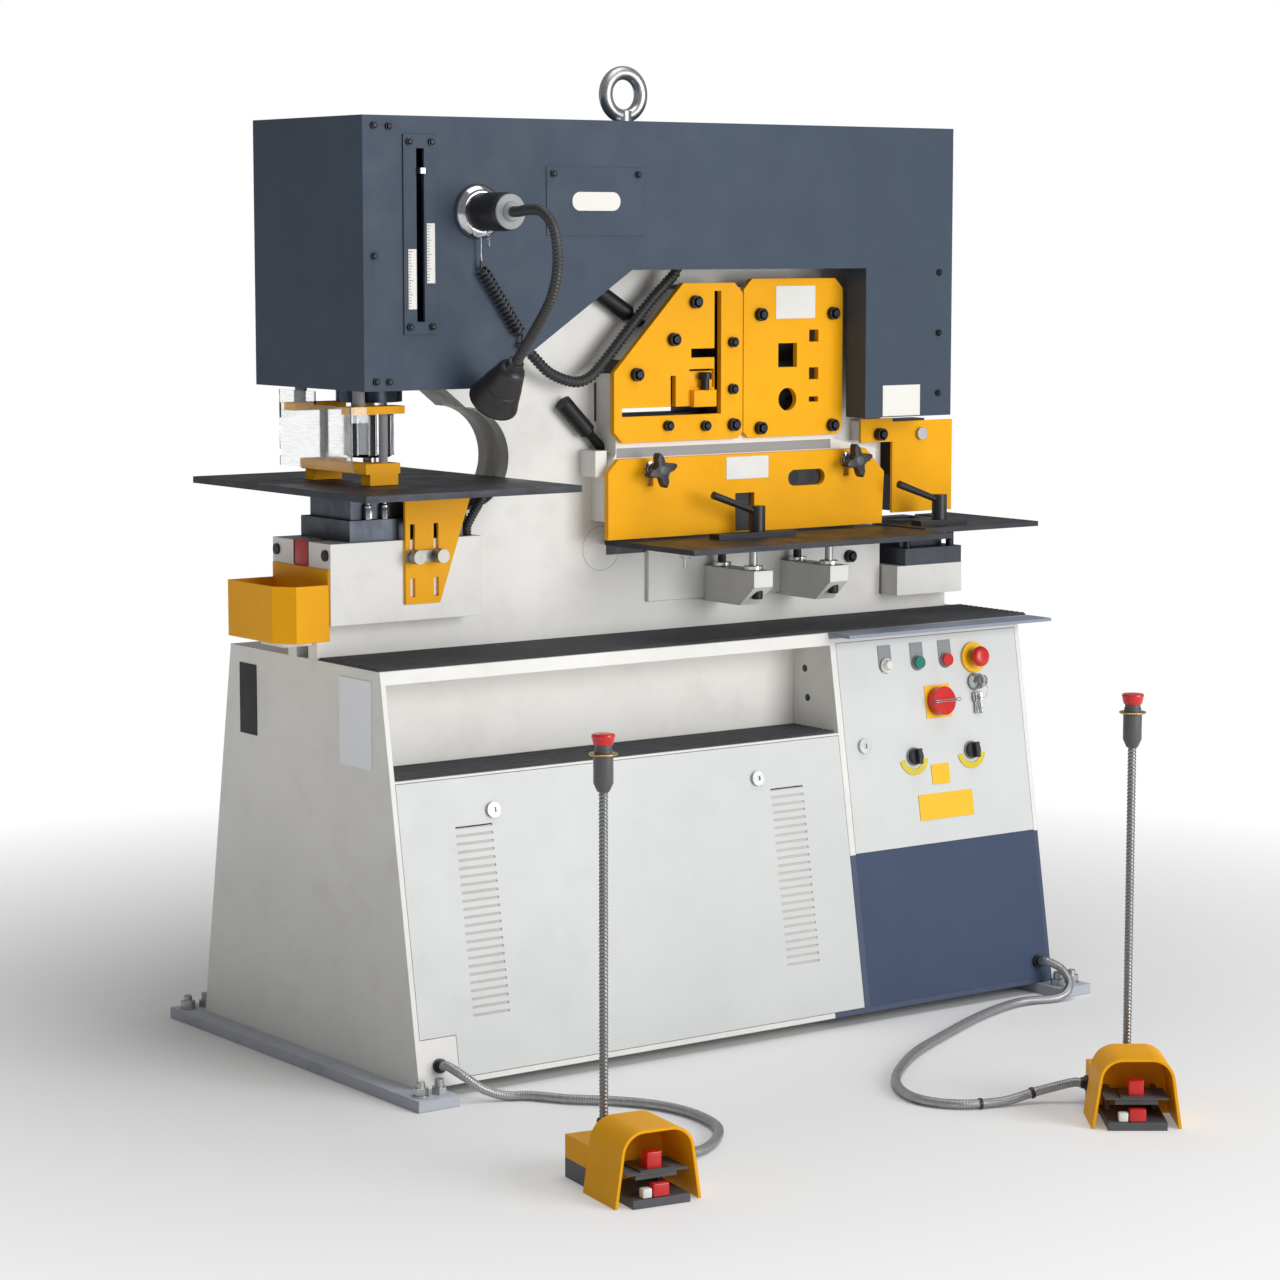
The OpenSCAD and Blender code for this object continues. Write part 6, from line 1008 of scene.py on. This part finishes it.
class IRON_OT_stop_caps(bpy.types.Operator):
    """Red caps of the three stop buttons"""
    bl_idname = "iron.stop_caps"
    bl_label = "Stop caps"

    def execute(self, context):
        for node in ("estop_left", "estop_right"):
            self.cone(node)
        self.dome("panel_estop", front_place(1362, 656))
        return {"FINISHED"}

    def cone(self, node):
        """A flat-topped button that widens upwards, on a dark neck."""
        low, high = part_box(node)
        radius = (high.x - low.x) * 500
        base = Vector(((low.x + high.x) / 2, (low.y + high.y) / 2, high.z - CONE_H * MM))
        shape = Shape()
        shape.rod(base - UP * CONE_NECK * MM, UP, radius * 0.70, CONE_NECK, "dark plastic", 48)
        shape.turned(base, UP, [(radius * r, h) for r, h in CONE_PROFILE], "red plastic", 56)
        shape.done(node + "_cap", node, (node,))

    def dome(self, node, base):
        """A domed button on a shaft that runs in its collar."""
        brim = top_along(node, base) - DOME_H
        shaft = [(0, 2), (6.8, 2), (6.8, DOME_FOOT), (DOME_R * DOME_PROFILE[0][0], DOME_FOOT)]
        cap = [(DOME_R * r, brim + h) for r, h in DOME_PROFILE]
        shape = Shape()
        shape.turned(base, FRONT_OUT, shaft + cap, "red plastic", 56)
        shape.done(node + "_cap", node, (node,))


class IRON_OT_pedal_trim(bpy.types.Operator):
    """Ribbed treads and red stop blocks of the foot pedals"""
    bl_idname = "iron.pedal_trim"
    bl_label = "Pedal treads and blocks"

    def execute(self, context):
        tree = scatter_tree("Tread ribs", [("Length", FLOAT, 0.1), ("Width", FLOAT, 0.003)], tread_rib)
        for i, side in enumerate(("left", "right")):
            axes, body = pedal_axes(i), "treadle_" + side
            ribs = [(pedal_place(i, 76, y, 50.2), axes[0]) for y in range(2, 76, 6)]
            scatter(body + "_ribs", ribs, tree, {"Length": 0.108, "Width": 0.0026}, "pedal black", body)
            pad = Shape()
            pad.block(pedal_place(i, 76, 24, 66), axes, (26, 22, 28), "red plastic", 2.0, 3)
            pad.done(body + "_stop", body)
            stop = Shape()
            stop.block(pedal_place(i, 76, -3, 25), axes, (28, 16, 21), "red plastic", 2.0, 3)
            stop.block(pedal_place(i, 52, -3, 22), axes, (16, 14, 15), "scale white", 1.5, 2)
            stop.done(side + "_sole_stop", "machine")
        return {"FINISHED"}


def tread_rib(tree, given):
    """A low bar lying across the tread."""
    bar = add_node(tree, "GeometryNodeMeshCylinder", {
        "Vertices": 8, "Radius": maths(tree, "MULTIPLY", given["Width"], 0.5), "Depth": given["Length"]})
    return bar.outputs["Mesh"]


# Screws

PLATE_FRONT, SLOT_PLATE_FRONT = -190.5, -192
SUNK = 0.3
FRONT_SCREWS = ((43, 1682), (73, 1681), (42, 1457), (44, 1239), (71, 1238), (1339, 1421), (1339, 1303),
                (1339, 1185))
PLATE_SCREWS = ((420, 1603), (608, 1603))
SLOT_SCREWS = ((113, 1655), (113, 1333), (159, 1655), (159, 1333))
REAR_SCREWS = ((60, 1660), (60, 1460), (480, 1660), (480, 1460), (900, 1660), (900, 1460), (1330, 1660),
               (1330, 1460), (60, 1240), (1330, 1240))
ROUND_WITHIN, CROWN_BEFORE, CROWN_MAX, CROWN_SINK, CROWN_SHARE = 0.0006, -0.03, 0.04, 0.0002, 0.96
BRIGHT_FROM = place(1360, 0, 1080)


def cover_screws():
    """Screws on the head's front and back."""
    rows = ((FRONT_SCREWS, HEAD_FRONT, FRONT), (PLATE_SCREWS, PLATE_FRONT, FRONT),
            (SLOT_SCREWS, SLOT_PLATE_FRONT, FRONT), (REAR_SCREWS, -HEAD_FRONT, BACK))
    return [(place(x, y - out.y * SUNK, z), out) for spots, y, out in rows for x, z in spots]


def islands(name):
    """The separate solids of a machined node, as lists of their corners."""
    copy = bmesh.new()
    copy.from_mesh(frame["nodes"][name].data)
    bmesh.ops.remove_doubles(copy, verts=copy.verts, dist=MERGE)
    seen, found = set(), []
    for first in copy.verts:
        if first in seen:
            continue
        group, todo = [], [first]
        seen.add(first)
        while todo:
            vert = todo.pop()
            group.append(vert.co.copy())
            for edge in vert.link_edges:
                other = edge.other_vert(vert)
                if other not in seen:
                    seen.add(other)
                    todo.append(other)
        found.append(group)
    copy.free()
    return found


class IRON_OT_screws(bpy.types.Operator):
    """Socket screws of the covers and plates"""
    bl_idname = "iron.screws"
    bl_label = "Screws"

    def execute(self, context):
        tree = scatter_tree("Socket screws", [("Head", FLOAT, 0.013)], cap_screw)
        scatter("cover_screws", cover_screws(), tree, {"Head": sizes().screw_d}, "black oxide", "machine")
        crowns = {}
        for group in islands("fasteners"):
            low = Vector([min(p[k] for p in group) for k in range(3)])
            high = Vector([max(p[k] for p in group) for k in range(3)])
            wide, tall = high.x - low.x, high.z - low.z
            bright = low.x > BRIGHT_FROM.x and low.z > BRIGHT_FROM.z
            if abs(wide - tall) < ROUND_WITHIN and low.y < CROWN_BEFORE and wide < CROWN_MAX and not bright:
                spot = Vector(((low.x + high.x) / 2, low.y + CROWN_SINK, (low.z + high.z) / 2))
                crowns.setdefault(round(wide, 3), []).append((spot, FRONT))
        for k, (wide, spots) in enumerate(sorted(crowns.items())):
            scatter(f"plate_screw_crowns_{k + 1}", spots, tree, {"Head": wide * CROWN_SHARE}, "black oxide",
                    "machine")
        return {"FINISHED"}


# Small pieces

SCALES = ((110.0, 1364.0, 1469.0), (148.5, 1409.0, 1514.0))
SCALE_W, TICK_STEP, TICK, LONG_TICK = 17.0, 5, 4.5, 8.0


class IRON_OT_scales(bpy.types.Operator):
    """Two stroke scales with ticks on the slot plate"""
    bl_idname = "iron.scales"
    bl_label = "Stroke scales"

    def execute(self, context):
        shape = Shape()
        for x, low, high in SCALES:
            foot = place(x, SLOT_PLATE_FRONT, low)
            shape.slab(rect(SCALE_W, high - low), foot, RIGHT, UP, 0.8, "scale white", 0.2, 1)
            for k in range(1, int((high - low) / TICK_STEP)):
                tick = place(x + 1.0, SLOT_PLATE_FRONT - 0.7, low + TICK_STEP * k)
                shape.slab(rect(LONG_TICK if k % 5 == 0 else TICK, 0.9), tick, RIGHT, UP, 0.25, "ink and painted shade")
        shape.done("stroke_scales", "machine")
        return {"FINISHED"}


SWITCH_AT, KEY_AT = (1262, 577), (1360, 608)
HASP_BENDS = ((-27, 2, -8), (-25, 2, -1), (-20, 2, 0), (0, 2, 0.4), (24, 2, 0), (34, 3, 0), (38, 0, 0),
              (34, -3, 0), (24, -2, 0), (0, -2, 0.4), (-20, -2, 0), (-25, -2, -1), (-27, -2, -8))
KEY_BOW = [(0, 0), (10.5, 0), (11.2, 0.5), (11.2, 2.1), (10.5, 2.6), (0, 2.6)]
KEYS = ((-5.0, 6.0), (4.0, 9.0), (11.0, 5.0))


class IRON_OT_switch_parts(bpy.types.Operator):
    """Wire hasp of the main switch, key ring with its keys"""
    bl_idname = "iron.switch_parts"
    bl_label = "Switch hasp and keys"

    def execute(self, context):
        self.hasp()
        self.keys()
        return {"FINISHED"}

    def hasp(self):
        """A bent wire across the switch knob that takes a padlock."""
        x, u = SWITCH_AT
        top = top_along("main_switch", front_place(x, u)) + 1.2
        shape = Shape()
        shape.tube(smooth_path([front_place(x + i, u + j, top + o) for i, j, o in HASP_BENDS], 4), 1.1,
                   "polished steel", 8)
        shape.done("main_switch_hasp", "main_switch")

    def keys(self):
        """A round key bow in the lock, and keys that lie on the door under it."""
        x, u = KEY_AT
        top = top_along("key_switch", front_place(x, u))
        shape = Shape()
        shape.turned(front_place(x - 1.3, u, top - 4), RIGHT, KEY_BOW, "polished steel", 32)
        shape.loop(front_place(x, u - 18, top - 10), RIGHT, 15.0, 0.8, "polished steel")
        for lean, out in KEYS:
            along = (-FRONT_UP + RIGHT * lean * 0.016).normalized()
            axes = (along.cross(FRONT_OUT).normalized(), along, FRONT_OUT)
            head = front_place(x + lean * 0.4, u - 30, out)
            shape.block(head, axes, (15, 17, 1.8), "polished steel", 0.7, 2)
            shape.block(head + along * 0.020, axes, (6.5, 25, 1.6), "polished steel", 0.5, 1)
        shape.done("key_ring", "key_switch")


LEGEND_T, ARC_OUTER, ARC_INNER = 1.5, 36.0, 24.0
ARC_TURNS = [math.radians(a) for a in range(192, 349, 6)]


class IRON_OT_panel_marks(bpy.types.Operator):
    """Yellow arcs under the selectors and the dark guide patch behind the flat guard's slot"""
    bl_idname = "iron.panel_marks"
    bl_label = "Panel arcs and guide patch"

    def execute(self, context):
        shape = Shape()
        outline = [(ARC_OUTER * math.cos(a), ARC_OUTER * math.sin(a)) for a in ARC_TURNS]
        outline += [(ARC_INNER * math.cos(a), ARC_INNER * math.sin(a)) for a in reversed(ARC_TURNS)]
        for x in (1187, 1335):
            shape.slab(outline, front_place(x, 475, 0.2), RIGHT, FRONT_UP, LEGEND_T + 0.2, "arc yellow")
        shape.done("selector_arcs", "cabinet_door")
        patch = Shape()
        patch.slab(rect(104, 42), place(1008, -112.4, 1006), RIGHT, UP, 0.25, "ink and painted shade")
        for x in (1040, 1081):
            patch.rod(place(x, -112.6, 1027), FRONT, 11, 0.2, "black oxide", 24)
        patch.done("guide_patch", "machine")
        return {"FINISHED"}


CLAMP_BOLT = [(0, 0), (8, 0), (8, 20), (13, 20), (13, 31), (11.5, 33), (0, 33)]
KNOB_Z = 1057
KNOBS = (("wing_knob_left", 684), ("wing_knob_right", 1160))
KNOB_COLLAR = [(0, 0), (15, 0), (16, 1), (16, 5), (12, 6), (12, 9), (0, 9)]
KNOB_NECK = [(0, 0), (12, 0), (13, 6), (16, 18), (0, 20)]
STAR_POINTS, STAR_CORE, STAR_LOBE = 96, 14.0, 20.0
KNOB_PLUG = [(0, 0), (9, 0), (9, 0.6), (7, 1.4), (0, 1.6)]


class IRON_OT_shear_trim(bpy.types.Operator):
    """Angle clamp with its bolt, bare plates, the grey strip of painted shade over the guard and the star knobs
    """
    bl_idname = "iron.shear_trim"
    bl_label = "Shear station trim"

    def execute(self, context):
        axes = (RIGHT, BACK, UP)
        shape = Shape()
        shape.block(place(805, -130.5, 1187), axes, (54, 12, 32), "yellow paint", 1.5, 2)
        shape.block(place(805, -117.5, 1221), axes, (57, 6, 35), "yellow paint")
        shape.turned(place(808, -131, 1203), UP, CLAMP_BOLT, "black oxide", 32)
        # Grey strip on the block's face between the upper plates and the guard: painted shade in the gap.
        shape.slab(rect(515, 18), place(615, -112.4, 1080), RIGHT, UP, 0.3, "grey plastic and painted shade")
        shape.slab(rect(97, 63), place(983, -124.4, 1334), RIGHT, UP, 0.6, "scale white")
        shape.block(place(612.5, -81.5, 1185), axes, (0.8, 62, 98), "cream paint", 0.0)
        shape.done("shear_trim", "machine", sharp=30.0)
        plate = Shape()
        plate.slab(rect(102, 43), place(864, -124.7, 1030), RIGHT, UP, 0.7, "scale white")
        plate.slab(rect(45.6, 73), place(886.2, -113.0, 929.5), RIGHT, UP, 0.6, "ink and painted shade")
        plate.done("guard_plate", "flat_guard")
        for node, x in KNOBS:
            self.star(node, x)
        return {"FINISHED"}

    def star(self, node, x):
        """A four-lobed knob with a bright collar on the face of the guard."""
        shape = Shape()
        shape.rod(place(x, -104, KNOB_Z), FRONT, 5, 22, "zinc", 24)
        shape.turned(place(x, -125.3, KNOB_Z), FRONT, KNOB_COLLAR, "polished steel", 36)
        shape.turned(place(x, -134.3, KNOB_Z), FRONT, KNOB_NECK, "black plastic", 36)
        outline = []
        for k in range(STAR_POINTS):
            a = 2 * math.pi * k / STAR_POINTS
            r = STAR_CORE + STAR_LOBE * (0.5 + 0.5 * math.cos(4 * a - math.pi / 3)) ** 1.8
            outline.append((r * math.cos(a), r * math.sin(a)))
        shape.slab(outline, place(x, -152, KNOB_Z), RIGHT, UP, 16.0, "black plastic", 3.0, 3)
        shape.turned(place(x, -167.8, KNOB_Z), FRONT, KNOB_PLUG, "dark plastic", 32)
        shape.done(node + "_star", node, (node,))


LUG_SCREW = [(0, 0), (9, 0), (10.5, 1.5), (10.5, 17), (7, 17), (7, 36), (0, 36)]
LUG_WASHER = [(0, 0), (17.4, 0), (18.4, 1), (18.4, 7.4), (17.4, 8.4), (0, 8.4)]
TABLE_SCREW = [(0, 0), (3.4, 0), (4, 1), (4, 20), (10, 20), (11, 21), (11, 27), (10, 28), (10, 29), (0, 29)]
RECESS_PLUG = [(0, 0), (7, 0), (7, 1), (5, 2), (0, 2)]


class IRON_OT_table_trim(bpy.types.Operator):
    """Screws under the flat table, the line round the frame's plug, and the ends of the recess"""
    bl_idname = "iron.table_trim"
    bl_label = "Table screws and plugs"

    def execute(self, context):
        shape = Shape()
        for x in (884.5, 1070.5):
            shape.turned(place(x, -196, 806), UP, LUG_SCREW, "black oxide", 28)
            for y in (-85, -183):
                shape.turned(place(x, y, 861), UP, LUG_WASHER, "polished steel", 36)
        shape.turned(place(650, -280, 884), UP, TABLE_SCREW, "zinc", 6)
        shape.loop(place(623, -50.5, 906), BACK, 42.0, 0.45, "grey plastic and painted shade")
        for y, z in ((-300, 625), (-291.2, 680)):
            shape.turned(place(925.2, y, z), -RIGHT, RECESS_PLUG, "black plastic", 24)
        shape.done("table_trim", "machine", sharp=30.0)
        return {"FINISHED"}


SLOT_AT, LIP_AT, LIP_SHIFT, NUT_SLOT_H = 0.0423, 0.0427, 0.0062, 72
STUD_NUT = [(0, 0), (7, 0), (7.4, 0.6), (7.4, 20), (7, 21), (0, 21)]
STUD_END = [(0, 0), (7, 0), (7, 4), (4, 6), (4, 14), (0, 14)]


class IRON_OT_punch_trim(bpy.types.Operator):
    """Spanner slots of the coupling nut, drawn as near-black strips of painted shade with bright lips, and the
    two studs on the die shoe
    """
    bl_idname = "iron.punch_trim"
    bl_label = "Coupling slots and die studs"

    def execute(self, context):
        middle = place(145, 0, 1135)
        slots = Shape()
        for k in range(8):
            a = math.radians(22 + 45 * k)
            out = Vector((math.cos(a), math.sin(a), 0))
            axes = (UP.cross(out), out, UP)
            # Each slot is a near-black strip, painted shade standing for the recess.
            slots.block(middle + out * SLOT_AT, axes, (9, 2.4, NUT_SLOT_H), "ink and painted shade", 0.6, 2)
            for shift in (-LIP_SHIFT, LIP_SHIFT):
                slots.block(middle + out * LIP_AT + axes[0] * shift, axes, (3, 2.0, NUT_SLOT_H), "chrome", 0.6, 2)
        slots.done("coupling_slots", "punch_ram")
        studs = Shape()
        for x in (93, 128):
            studs.turned(place(x, -77.6, 988), UP, STUD_NUT, "polished steel", 6)
            studs.turned(place(x, -77.6, 1009), UP, STUD_END, "zinc", 24)
        studs.done("die_studs", "machine", sharp=30.0)
        return {"FINISHED"}


class IRON_OT_front_trim(bpy.types.Operator):
    """Pale backing of the vent slots, darker than the cream as painted shade in the louvres, and the red flap of
    the slug chute
    """
    bl_idname = "iron.front_trim"
    bl_label = "Vent backing and chute flap"

    def execute(self, context):
        vents = Shape()
        # The backing's darker cream is painted shade in the louvre slots.
        for x in (123, 828):
            vents.slab(rect(81, 334), front_place(x, 110, -2.2), RIGHT, FRONT_UP, 0.5, "vent painted shade")
        vents.done("vent_backing", "front_cover")
        flap = Shape()
        flap.block(place(1.5, 0.75, 928.5), (RIGHT, BACK, UP), (3, 54.5, 45), "red paint", 0.6, 2)
        flap.done("chute_flap", "machine")
        return {"FINISHED"}


ANCHOR_X, ANCHOR_Y, SKID_TOP = 764, 415, 0.0202
ANCHOR_WASHER = [(0, 0), (15, 0), (15, 2.4), (14, 3), (0, 3)]
ANCHOR_NUT = [(0, 0), (12.6, 0), (13.8, 1), (13.8, 12), (12.6, 13), (0, 13)]
ANCHOR_STUD = [(0, 0), (7.8, 0), (7.8, 24), (6.4, 26), (0, 26)]


class IRON_OT_anchors(bpy.types.Operator):
    """Floor anchors through the skids: stud, nut and washer"""
    bl_idname = "iron.anchors"
    bl_label = "Floor anchors"

    def execute(self, context):
        shape = Shape()
        for x in (-ANCHOR_X, ANCHOR_X):
            for y in (-ANCHOR_Y, ANCHOR_Y):
                seat = Vector((x * MM, y * MM, SKID_TOP))
                shape.turned(seat, UP, ANCHOR_WASHER, "zinc", 32)
                shape.turned(seat + UP * 0.003, UP, ANCHOR_NUT, "zinc", 6)
                shape.turned(seat, UP, ANCHOR_STUD, "zinc", 20)
        shape.done("floor_anchors", "machine", sharp=30.0)
        return {"FINISHED"}


# Stage

FLOOR_RADIUS, FLOOR_SINK = 14.0, -0.0005
FLOOR_FADE = (0.9, 2.6)
FLOOR_BOUNCE = 0.5
WHITE = (1, 1, 1, 1)
AIM = Vector((0.0, 0.0, 0.9))
LIGHTS = (("key light", (1.6, -5.4, 1.8), 1.0, 3.2), ("top light", (0.3, -1.2, 5.2), 0.38, 3.0))


class IRON_OT_stage(bpy.types.Operator):
    """Pale floor, white surround and soft lights"""
    bl_idname = "iron.stage"
    bl_label = "Stage"

    def execute(self, context):
        scene = context.scene
        scene.view_settings.view_transform = "Standard"
        self.floor(scene)
        self.surround(scene)
        self.lights(scene)
        return {"FINISHED"}

    def floor(self, scene):
        """A round floor that fades to white away from the machine and gives half its light back."""
        tree, shader = start_finish("pale floor", Roughness=0.7, Specular_IOR_Level=0.1)
        soft = noise(tree, object_place(tree), 3.0, 4.0, 0.6)
        pale = (*scene.ironworker_stage.floor, 1.0)
        lighter = tuple(min(1.0, v * 1.02) for v in pale)
        bounced = add_node(tree, "ShaderNodeLightPath").outputs["Is Diffuse Ray"]
        dim = tuple(v * FLOOR_BOUNCE for v in pale)
        floor_colour = mix_colour(tree, bounced, mix_colour(tree, soft, pale, lighter), dim)
        tree.links.new(floor_colour, shader.inputs["Base Color"])
        white = add_node(tree, "ShaderNodeEmission", {"Color": WHITE, "Strength": 1.0})
        reach = add_node(tree, "ShaderNodeVectorMath", {0: object_place(tree)}, operation="LENGTH")
        far = remap(tree, reach.outputs["Value"], *FLOOR_FADE, 0.0, 1.0)
        both = add_node(tree, "ShaderNodeMixShader", {0: far, 1: shader.outputs[0], 2: white.outputs[0]})
        tree.links.new(both.outputs[0], tree.nodes["Material Output"].inputs["Surface"])
        made = bmesh.new()
        bmesh.ops.create_circle(made, cap_ends=True, segments=96, radius=FLOOR_RADIUS)
        data = bpy.data.meshes.new("floor")
        made.to_mesh(data)
        made.free()
        data.materials.append(FINISHES["pale floor"])
        floor = bpy.data.objects.new("floor", data)
        floor.location.z = FLOOR_SINK
        scene.collection.objects.link(floor)

    def surround(self, scene):
        """White where the camera sees it, softer as a light."""
        world = bpy.data.worlds.new("surround")
        world.use_nodes = True
        scene.world = world
        tree = world.node_tree
        tree.nodes.clear()
        path = add_node(tree, "ShaderNodeLightPath").outputs
        seen = maths(tree, "ADD", path["Is Camera Ray"], path["Is Transmission Ray"], True)
        level = scene.ironworker_stage.fill_level
        soft = add_node(tree, "ShaderNodeBackground", {"Color": WHITE, "Strength": level})
        white = add_node(tree, "ShaderNodeBackground", {"Color": WHITE, "Strength": 1.0})
        both = add_node(tree, "ShaderNodeMixShader", {0: seen, 1: soft.outputs[0], 2: white.outputs[0]})
        out = add_node(tree, "ShaderNodeOutputWorld")
        tree.links.new(both.outputs[0], out.inputs["Surface"])

    def lights(self, scene):
        power = scene.ironworker_stage.key_power
        for name, spot, share, width in LIGHTS:
            data = bpy.data.lights.new(name, "AREA")
            data.energy = power * share
            data.size = width
            lamp = bpy.data.objects.new(name, data)
            lamp.location = spot
            lamp.rotation_euler = (AIM - Vector(spot)).to_track_quat("-Z", "Y").to_euler()
            scene.collection.objects.link(lamp)


class IRON_PT_machine(bpy.types.Panel):
    bl_idname = "IRON_PT_machine"
    bl_label = "Ironworker"
    bl_space_type = "VIEW_3D"
    bl_region_type = "UI"
    bl_category = "Ironworker"

    def draw(self, context):
        scene = context.scene
        for operator in OPERATORS:
            self.layout.operator(operator.bl_idname)
        for group in (scene.ironworker_colours, scene.ironworker_sizes, scene.ironworker_stage):
            box = self.layout.box()
            for key in group.__annotations__:
                box.prop(group, key)


OPERATORS = (IRON_OT_camera, IRON_OT_finishes, IRON_OT_pedal_cords, IRON_OT_lamp_cords, IRON_OT_lamp,
             IRON_OT_pedal_posts, IRON_OT_stop_caps, IRON_OT_pedal_trim, IRON_OT_screws, IRON_OT_scales,
             IRON_OT_switch_parts, IRON_OT_panel_marks, IRON_OT_shear_trim, IRON_OT_table_trim,
             IRON_OT_punch_trim, IRON_OT_front_trim, IRON_OT_anchors, IRON_OT_stage)
CLASSES = (MachineColours, MachineSizes, StageSettings, *OPERATORS, IRON_PT_machine)
GROUP_NAMES = {"ironworker_colours": MachineColours, "ironworker_sizes": MachineSizes,
               "ironworker_stage": StageSettings}


def register():
    for kind in CLASSES:
        bpy.utils.register_class(kind)
    for name, kind in GROUP_NAMES.items():
        setattr(bpy.types.Scene, name, bpy.props.PointerProperty(type=kind))


def unregister():
    for name in GROUP_NAMES:
        delattr(bpy.types.Scene, name)
    for kind in reversed(CLASSES):
        bpy.utils.unregister_class(kind)


def main():
    register()
    for operator in OPERATORS:
        group, name = operator.bl_idname.split(".")
        getattr(getattr(bpy.ops, group), name)()
    bpy.context.view_layer.update()


if __name__ == "__main__":
    main()
